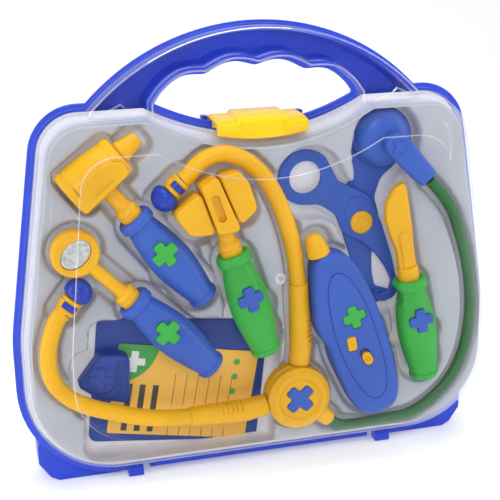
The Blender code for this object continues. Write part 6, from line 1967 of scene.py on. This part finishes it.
@dataclass(frozen=True)
class Stethoscope:
    """Stethoscope: two ear tubes on a round hub, a soft hose and the chest piece."""

    hub: Place
    chest: Place
    connector: Place
    tubes: tuple[EarTube, ...]
    hose_route: tuple
    hub_radius: float = 0.0193
    face_radius: float = 0.0136
    hub_deep: float = 0.0082
    rise: float = 0.0014
    nozzle: float = 0.0052
    nozzle_end: float = 0.0279
    nozzle_turn: float = 131.7
    hose_radius: float = 0.0033
    cross: tuple = (0.0180, 0.0066, 0.0016, 45.0)
    chest_radius: float = 0.0180
    dome_top: float = -0.0140
    dome_steps: int = 12
    link_deep: float = 0.0038
    link_cross: tuple = (0.0098, 0.0034, 0.0008)
    link_corners: tuple = ((-0.008, -0.008, 0.0074), (0.008, -0.008, 0.0074), (0.006, 0.029, 0.0022),
                           (-0.006, 0.029, 0.0022))

    def build(self) -> None:
        """Build and dress the stethoscope."""
        self.build_hose()
        self.build_hub()
        for tube in self.tubes:
            tube.build(self.hub, self.hub_radius + SEAT)
        self.build_chest()

    def build_hose(self) -> None:
        """Build the soft hose along its groove."""
        points = smooth_route(list(self.hose_route), 160)
        rings = swept(points, [self.hose_radius] * len(points), 24)
        dress(solid("green_hose", rings), Finish.HOSE, "stethoscope_hose", angle=50)

    def build_hub(self) -> None:
        """Build the hub with its raised rim, nozzle and diagonal cross."""
        at, deep, rise, face = self.hub.matrix(), self.hub_deep, self.rise, self.face_radius
        wide = self.hub_radius
        rim = eased([(rise - deep, face - rise), (-deep, face - 0.0002), (-deep - rise * 0.5, face + rise),
                     (-deep, face + 2 * rise), (rise - deep, wide - rise), (2 * rise - deep, wide)], 4)
        profile = [(rise - deep, 0.002)] + rim + [(-0.0006, wide), (-0.0003, wide - 0.0005), (0.0003, wide - 0.0005)]
        profile += [(0.0006, wide), (deep - rise, wide), (deep, wide - rise), (deep, face), (rise, face), (rise, 0.002)]
        hub = solid("stethoscope_disc", spun_deep(profile), at)
        end, thin = self.nozzle_end, self.nozzle
        nozzle = [(wide * 0.8, thin * 1.12), (wide, thin * 1.12), (end * 0.97, thin * 0.98), (end, thin * 0.88)]
        join(hub, spun(nozzle, 40), self.hub.inner(0.0, 0.0, self.nozzle_turn))
        cross = plus(0.0, 0.0, *self.cross)
        top = rise - deep
        carve(hub, slab(grown(cross, GAP), -2 * deep, top + 0.0015), at)
        dress(hub, Finish.YELLOW, "stethoscope_hub")
        badge = solid("stethoscope_plus", slab(cross, top - 0.0006, top + 0.0012, 0.0005), at)
        dress(badge, Finish.BLUE, "stethoscope_hub_cross")

    def build_chest(self) -> None:
        """Build the chest piece: disc, dome and the connector that takes the hose."""
        at, wide = self.chest.matrix(), self.chest_radius
        disc = softened([(0.0, 0.004), (0.0, wide - 0.001), (-0.0006, wide), (-0.0042, wide), (-0.005, wide - 0.0006),
                         (-0.005, 0.004)], 0.0006, 3)
        dress(solid("chest_ring", spun_deep(disc), at), Finish.BLUE, "chest_disc")
        dome = [(-0.0053, 0.004), (-0.0053, wide - 0.0012)]
        for step in range(self.dome_steps + 1):
            a = math.pi / 2 * step / self.dome_steps
            dome.append((-0.0056 + (self.dome_top + 0.0056) * math.sin(a), 0.0006 + (wide - 0.0014) * math.cos(a)))
        dress(solid("chest_cap", spun_deep(dome), at), Finish.BLUE, "chest_dome", angle=50)
        mount, deep = self.connector.matrix(), self.link_deep
        body = solid("chest_link", slab(rounded(self.link_corners, 10), -deep, deep, 0.0022, 0.0016), mount)
        join(body, slab(plus(0.0, 0.0, *self.link_cross), -deep - 0.0007, -deep / 2, 0.0004), mount)
        dress(body, Finish.BLUE, "chest_connector")

    def pockets(self) -> list[Well]:
        """Grooves and pockets of the tray under the stethoscope.

        Returns:
            Outline and floor of each pocket.
        """
        hub, chest, thick = self.hub, self.chest, self.nozzle * 1.15
        found = [pocket for tube in self.tubes for pocket in tube.pockets(hub)]
        found.append((circle(hub.x, hub.z, self.hub_radius + TUBE_ROOM), hub.y + self.hub_deep + SEAT))
        route = smooth_route([(x, 0.0, z) for x, _, z in self.hose_route], 60)
        deepest = max(depth for _, depth, _ in self.hose_route)
        groove = channel([Vector((p.x, p.z)) for p in route], self.hose_radius + TUBE_ROOM)
        found.append((groove, deepest + self.hose_radius + SEAT))
        nozzle = capsule(0.0, 0.0, self.nozzle_end, thick + TUBE_ROOM)
        found.append(Place(hub.x, hub.y, hub.z, self.nozzle_turn).pocket(nozzle, thick))
        found.append((circle(chest.x, chest.z, self.chest_radius + TUBE_ROOM), chest.y + SEAT))
        return found


@dataclass(frozen=True)
class Clipboard:
    """Clipboard with its ribbed clip and a printed record card."""

    board: Place
    card: Place
    clip: Place
    length: float = 0.1040
    width: float = 0.0780
    thickness: float = 0.0020
    card_length: float = 0.0860
    card_width: float = 0.0570
    clip_size: float = 0.0320
    clip_height: float = 0.0085
    ridges: int = 4
    relief: tuple = (-0.0034, 0.0010)
    relief_radii: tuple = (0.0088, 0.0080)
    relief_cross: tuple = (0.0138, 0.0048, 0.0010, 6.0)
    recess: tuple = (0.112, 0.084, 0.007)
    recess_place: tuple = (-0.0510, 0.0600, 5.0)
    clip_shares: tuple = ((0.40, -0.50, 0.10), (0.45, 0.46, 0.16), (-0.10, 0.52, 0.20), (-0.54, -0.04, 0.10),
                          (-0.14, -0.36, 0.16))

    def build(self) -> None:
        """Build and dress the board, the card and the clip."""
        plate = slab(box(0.0, 0.0, self.length, self.width, 0.005), 0.0, self.thickness, 0.0006, 0.0006)
        dress(solid("board", plate, self.board.matrix()), Finish.BOARD, "clipboard_board")
        sheet = slab(box(0.0, 0.0, self.card_length, self.card_width, 0.0015), -0.0008, -0.0003)
        dress(solid("card", sheet, self.card.matrix()), Finish.CARD, "record_card")
        at, size, high = self.clip.matrix(), self.clip_size, self.clip_height
        outline = rounded([(size * a, size * b, size * c) for a, b, c in self.clip_shares])
        clip = solid("board_clip", slab(outline, -high, 0.0, 0.0020, 0.0), at)
        for ridge in range(self.ridges):
            x = size * 0.42 - (2 * ridge + 1) * 0.0010
            join(clip, slab(box(x, 0.0, 0.0010, size * 0.72, 0.0003), -high - 0.0007, -high / 2, 0.0003), at)
        outer, inner = (circle(*self.relief, radius) for radius in self.relief_radii)
        ringed = solid("tool", slab(outer, -high - OVERRUN, 0.0006 - high), at)
        carve(ringed, slab(inner, -high - 2 * OVERRUN, OVERRUN), at)
        combine(clip, ringed, "DIFFERENCE")
        join(clip, slab(plus(*self.relief, *self.relief_cross), -high - 0.0006, -high / 2, 0.0005), at)
        dress(clip, Finish.BOARD, "clipboard_clip")

    def pockets(self) -> list[Well]:
        """Recess of the tray under the board and the clip.

        Returns:
            Outline and floor of each recess.
        """
        floor = self.board.y + self.thickness + SEAT
        recess = turned(box(0.0, 0.0, *self.recess), *self.recess_place)
        room = self.clip_size * 0.56 + 0.002
        return [(recess, floor), (box(self.clip.x, self.clip.z, 2 * room, 2 * room, room * 0.5), floor)]


@dataclass(frozen=True)
class Tray:
    """Formed tray: one thin sheet drawn down into a soft-walled pocket under every toy."""

    wells: tuple
    face: float = -0.0180
    sheet: float = 0.0006
    inset: float = 0.0030
    cell: float = 0.0011
    wall: float = 0.0030
    wall_inside: float = 0.35
    sag: float = 0.0014
    sag_reach: float = 0.0075
    sag_fade: float = 0.0012
    skirt: tuple = ((-0.0007, 0.0002), (-0.0002, 0.0008), (0.0, 0.0018))
    flange: tuple = ((-0.0047, 0.0004), (-0.0042, 0.0010), (-0.0023, 0.0010))
    cut_distance: float = 0.00001

    def build(self) -> None:
        """Build and dress the tray."""
        top = grown(SHOULDER.points(), -self.inset - 0.0015)
        mesh = self.gridded(top)
        rim = [edge for edge in mesh.edges if edge.is_boundary]
        self.draw(mesh)
        self.add_skirt(mesh, rim, top)
        bmesh.ops.recalc_face_normals(mesh, faces=mesh.faces)
        item = meshed("white_tray", mesh, SHIFT)
        thick = item.modifiers.new("sheet", "SOLIDIFY")
        thick.thickness = self.sheet
        thick.offset = -1.0 if self.faces_out(item.data) else 1.0
        settle(item)
        dress(item, Finish.SHEET, "inner_tray", angle=60)

    def faces_out(self, data: bpy.types.Mesh) -> bool:
        """Whether the sheet's faces look towards the lid."""
        return sum(face.normal.y * face.area for face in data.polygons) < 0

    def gridded(self, outline: Outline) -> bmesh.types.BMesh:
        """A flat face of the outline cut into small cells.

        Args:
            outline: Edge of the flat sheet.

        Returns:
            The mesh under construction.
        """
        mesh = bmesh.new()
        mesh.faces.new([mesh.verts.new((p.x, 0.0, p.y)) for p in outline])
        low = Vector((min(p.x for p in outline), min(p.y for p in outline)))
        high = Vector((max(p.x for p in outline), max(p.y for p in outline)))
        for axis, start, end in ((0, low.x, high.x), (2, low.y, high.y)):
            normal = Vector((1.0, 0.0, 0.0)) if axis == 0 else Vector((0.0, 0.0, 1.0))
            for step in range(1, int((end - start) / self.cell)):
                where = normal * (start + step * self.cell)
                parts = mesh.verts[:] + mesh.edges[:] + mesh.faces[:]
                bmesh.ops.bisect_plane(mesh, geom=parts, plane_co=where, plane_no=normal, dist=self.cut_distance)
        return mesh

    def draw(self, mesh: bmesh.types.BMesh) -> None:
        """Press the pockets into the flat sheet.

        Args:
            mesh: Flat sheet in small cells.
        """
        places = np.array([(vertex.co.x, vertex.co.z) for vertex in mesh.verts])
        depth = np.full(len(places), self.face)
        nearest = np.full(len(places), 1.0)
        for outline, floor in self.wells:
            away = signed_distance(places, np.array([tuple(point) for point in outline]))
            nearest = np.minimum(nearest, away)
            share = smoothed(np.clip((away + self.wall * self.wall_inside) / self.wall, 0.0, 1.0))
            depth = np.maximum(depth, floor + (self.face - floor) * share)
        near = 1.0 - np.clip(nearest / self.sag_reach, 0.0, 1.0)
        depth += np.where(nearest > 0, self.sag * near ** 2, self.sag * np.clip(1 + nearest / self.sag_fade, 0.0, 1.0))
        for vertex, y in zip(mesh.verts, depth):
            vertex.co.y = y

    def add_skirt(self, mesh: bmesh.types.BMesh, rim: list, top: Outline) -> None:
        """Draw the sheet's edge down to a flange that lies in the shell.

        Args:
            mesh: Sheet with its pockets.
            rim: Edges round the sheet.
            top: Outline of the flat sheet.
        """
        shoulder, edge = SHOULDER.points(), RIM.points()
        levels = [(grown(shoulder, -self.inset + out), self.face + down) for out, down in self.skirt]
        levels += [(grown(edge, out), down) for out, down in self.flange]
        corners = np.array([tuple(point) for point in top])
        for outline, depth in levels:
            grown_rim = bmesh.ops.extrude_edge_only(mesh, edges=rim)["geom"]
            rim = [part for part in grown_rim if isinstance(part, bmesh.types.BMEdge) and part.is_boundary]
            verts = {vertex for line in rim for vertex in line.verts}
            at = {vertex: nearest_on(corners, vertex.co.x, vertex.co.z) for vertex in verts}
            for vertex, (index, share) in at.items():
                point = outline[index].lerp(outline[(index + 1) % len(outline)], share)
                vertex.co = (point.x, depth, point.y)
            corners = np.array([tuple(point) for point in outline])


def nearest_on(corners: np.ndarray, x: float, z: float) -> tuple[int, float]:
    """Side of an outline nearest to a point, and how far along that side.

    Args:
        corners: Corners of the outline.
        x: The point's place across.
        z: Its height.

    Returns:
        Number of the side and the share along it.
    """
    ahead = np.roll(corners, -1, axis=0) - corners
    offset = np.array((x, z)) - corners
    size = np.maximum((ahead ** 2).sum(axis=1), 1e-18)
    share = np.clip((ahead * offset).sum(axis=1) / size, 0.0, 1.0)
    gap = ((offset - ahead * share[:, None]) ** 2).sum(axis=1)
    index = int(gap.argmin())
    return index, float(share[index])


def signed_distance(places: np.ndarray, corners: np.ndarray) -> np.ndarray:
    """Distance from many points to an outline, negative inside it.

    Args:
        places: Points to measure from.
        corners: Corners of the outline.

    Returns:
        One distance for each point.
    """
    best = np.full(len(places), 1e9)
    inside = np.zeros(len(places), dtype=bool)
    for start, end in zip(corners, np.roll(corners, -1, axis=0)):
        ahead, offset = end - start, places - start
        size = max(float(ahead @ ahead), 1e-18)
        share = np.clip(offset @ ahead / size, 0.0, 1.0)
        best = np.minimum(best, ((offset - share[:, None] * ahead) ** 2).sum(axis=1))
        crosses = (start[1] > places[:, 1]) != (end[1] > places[:, 1])
        reach = start[0] + (places[:, 1] - start[1]) * ahead[0] / (ahead[1] if ahead[1] else 1e-12)
        inside ^= crosses & (places[:, 0] < reach)
    away = np.sqrt(best)
    return np.where(inside, -away, away)


@dataclass(frozen=True)
class Studio:
    """Pale studio: camera at the photograph's angle, sweep of floor and soft lights."""

    eye: tuple = (-0.16953, -0.61002, 0.33024)
    turn: float = 15.0
    drop: float = 17.0
    roll: float = -0.01854
    lens: float = 80.64

    def set_camera(self) -> None:
        """Place the camera."""
        flat, down = math.radians(self.turn), math.radians(self.drop)
        forward = Vector((math.sin(flat) * math.cos(down), math.cos(flat) * math.cos(down), -math.sin(down)))
        right = forward.cross(Vector((0.0, 0.0, 1.0))).normalized()
        up = right.cross(forward)
        cosine, sine = math.cos(self.roll), math.sin(self.roll)
        across = right * cosine + up * sine
        rise = up * cosine - right * sine
        data = bpy.data.cameras.new("photo_camera")
        data.lens = self.lens
        data.sensor_width = 36.0
        data.clip_start = 0.01
        camera = shown("photo_camera", data)
        camera.matrix_world = Matrix.Translation(self.eye) @ Matrix((across, rise, -forward)).transposed().to_4x4()
        bpy.context.scene.camera = camera

    def add_floor(self) -> None:
        """Lay the pale floor."""
        mesh = bmesh.new()
        bend, steps = 0.9, 10
        rows = [(-2.5, 0.0), (0.6, 0.0)]
        for step in range(1, steps + 1):
            angle = math.pi / 2 * step / steps
            rows.append((0.6 + bend * math.sin(angle), bend * (1 - math.cos(angle))))
        rows.append((1.5, 2.6))
        lines = [[mesh.verts.new((x, y, z)) for x in (-3.0, 3.0)] for y, z in rows]
        for lower, upper in zip(lines, lines[1:]):
            mesh.faces.new((lower[0], lower[1], upper[1], upper[0]))
        floor = meshed("studio_sweep", mesh, Matrix.Identity(4))
        floor.data.polygons.foreach_set("use_smooth", [True] * len(floor.data.polygons))
        graph = Graph("studio_paper")
        tone = graph.noise(0.8, 1.0)
        paper = graph.principled({
            "Base Color": graph.mixed(tone, (0.88, 0.88, 0.88), (0.93, 0.93, 0.93)),
            "Emission Color": (1.0, 1.0, 1.0, 1.0),
            "Emission Strength": 0.20,
            "Roughness": 0.8 + tone * 0.1,
            "Specular IOR Level": 0.1,
        })
        floor.data.materials.append(graph.finish(paper))

    def add_light(self, name: str, where: tuple, aim: tuple, size: tuple, power: float) -> None:
        """Hang one soft box of a width and height in metres and a power in watts, facing a point.

        Args:
            name: The light's name.
            where: Its place.
            aim: The point it faces.
            size: Width and height.
            power: Power in watts.
        """
        data = bpy.data.lights.new(name, "AREA")
        data.shape = "RECTANGLE"
        data.size, data.size_y = size
        data.energy = power
        light = shown(name, data)
        light.location = where
        light.rotation_euler = (Vector(aim) - Vector(where)).to_track_quat("-Z", "Y").to_euler()

    def build(self) -> None:
        """Set up the floor, the lights and the surroundings."""
        self.add_floor()
        middle = (0.0, 0.0, 0.13)
        for name, where, size, power in (
            ("top_box", (0.0, -0.15, 1.15), (0.9, 0.4), 5.0),
            ("front_box", (-0.35, -1.30, 0.95), (0.6, 0.4), 7.0),
            ("right_strip", (0.95, -0.45, 0.45), (0.08, 0.9), 3.5),
            ("left_strip", (-0.95, -0.20, 0.45), (0.08, 0.9), 3.5),
        ):
            self.add_light(name, where, middle, size, power)
        world = bpy.data.worlds.new("studio_air")
        world.use_nodes = True
        sky = world.node_tree.nodes["Background"]
        sky.inputs["Color"].default_value = (0.95, 0.97, 1.0, 1.0)
        sky.inputs["Strength"].default_value = 0.55
        bpy.context.scene.world = world
        bpy.context.scene.view_settings.view_transform = "Standard"


def make_toys() -> tuple:
    """The toys of the case, each in its place.

    Returns:
        The toys in the order in which they are built.
    """
    upper = ((-0.0478, 0.1858), (-0.0446, 0.1882), (-0.0410, 0.1920), (-0.0335, 0.1974), (-0.0240, 0.1991),
             (-0.0130, 0.1954), (-0.0030, 0.1870), (0.0045, 0.1757), (0.0105, 0.1620), (0.0148, 0.1480),
             (0.0178, 0.1330), (0.0196, 0.1180))
    lower = ((-0.1184, 0.1166), (-0.1216, 0.1138), (-0.1254, 0.1060), (-0.1284, 0.0950), (-0.1288, 0.0835),
             (-0.1254, 0.0725), (-0.1170, 0.0632), (-0.1056, 0.0566), (-0.0928, 0.0518), (-0.0790, 0.0472),
             (-0.0640, 0.0442), (-0.0490, 0.0430))
    hose = ((0.0385, -0.0205, 0.0291), (0.0420, -0.0205, 0.0260), (0.0464, -0.0202, 0.0241), (0.0535, -0.0190, 0.0228),
            (0.0630, -0.0178, 0.0224), (0.0760, -0.0172, 0.0228), (0.0900, -0.0175, 0.0240), (0.1030, -0.0172, 0.0296),
            (0.1140, -0.0170, 0.0384), (0.1220, -0.0170, 0.0490), (0.1275, -0.0170, 0.0620), (0.1304, -0.0170, 0.0770),
            (0.1312, -0.0170, 0.0930), (0.1298, -0.0170, 0.1090), (0.1268, -0.0172, 0.1240), (0.1222, -0.0176, 0.1390),
            (0.1166, -0.0184, 0.1530), (0.1108, -0.0196, 0.1620), (0.1048, -0.0214, 0.1690), (0.0986, -0.0230, 0.1754))
    tubes = (EarTube("upper", -0.0172, upper, (0.0210, 0.0786)), EarTube("lower", -0.0205, lower, (-0.0150, 0.0425)))
    return (
        Otoscope(Place(-0.0366, -0.0166, 0.1148, -37.6), Grip("otoscope", Finish.BLUE, Finish.GREEN)),
        Hammer(Place(-0.0016, -0.0210, 0.0788, -17.3), Grip("hammer", Finish.GREEN, Finish.BLUE, 0.0390)),
        Mirror(Place(-0.0340, -0.0210, 0.0730, -44.6), Grip("mirror", Finish.BLUE, Finish.GREEN)),
        Scalpel(Place(0.1000, -0.0210, 0.0505, -10.4), Grip("scalpel", Finish.GREEN, Finish.BLUE, 0.0410)),
        Thermometer(Place(0.0680, -0.0210, 0.0330, -19.0)),
        Scissors(Place(0.0622, -0.0046, 0.1490, -18.0)),
        Stethoscope(Place(0.0172, -0.0205, 0.0481), Place(0.0742, -0.0052, 0.2005),
                    Place(0.0782, -0.0234, 0.1973, 137.1), tubes, hose),
        Clipboard(Place(-0.0515, -0.0046, 0.0600, 7.0), Place(-0.0495, -0.0046, 0.0525, 10.5),
                  Place(-0.0960, -0.0057, 0.0690)),
    )


def finger_notches(toys: tuple) -> list[Well]:
    """Notches beside three of the grips where fingers reach in.

    Args:
        toys: All toys of the case.

    Returns:
        Outline and floor of each notch.
    """
    found = []
    for toy in toys:
        if isinstance(toy, (Otoscope, Hammer, Scalpel)):
            notch = box(0.0, toy.grip.length * 0.42, 0.030, 0.015, 0.0071)
            found.append((toy.place.points(notch), NOTCH_FLOOR))
    return found


def main() -> None:
    """Build the case, its toys and the studio."""
    logging.basicConfig(level=logging.INFO, format="%(message)s")
    studio = Studio()
    studio.set_camera()
    toys = make_toys()
    for toy in toys:
        toy.build()
    wells = [pocket for toy in toys for pocket in toy.pockets()] + finger_notches(toys)
    Tray(tuple(wells)).build()
    handle = Handle()
    BackShell(handle).build()
    Latch().build()
    ClearLid(handle).build()
    studio.build()


if __name__ == "__main__":
    main()
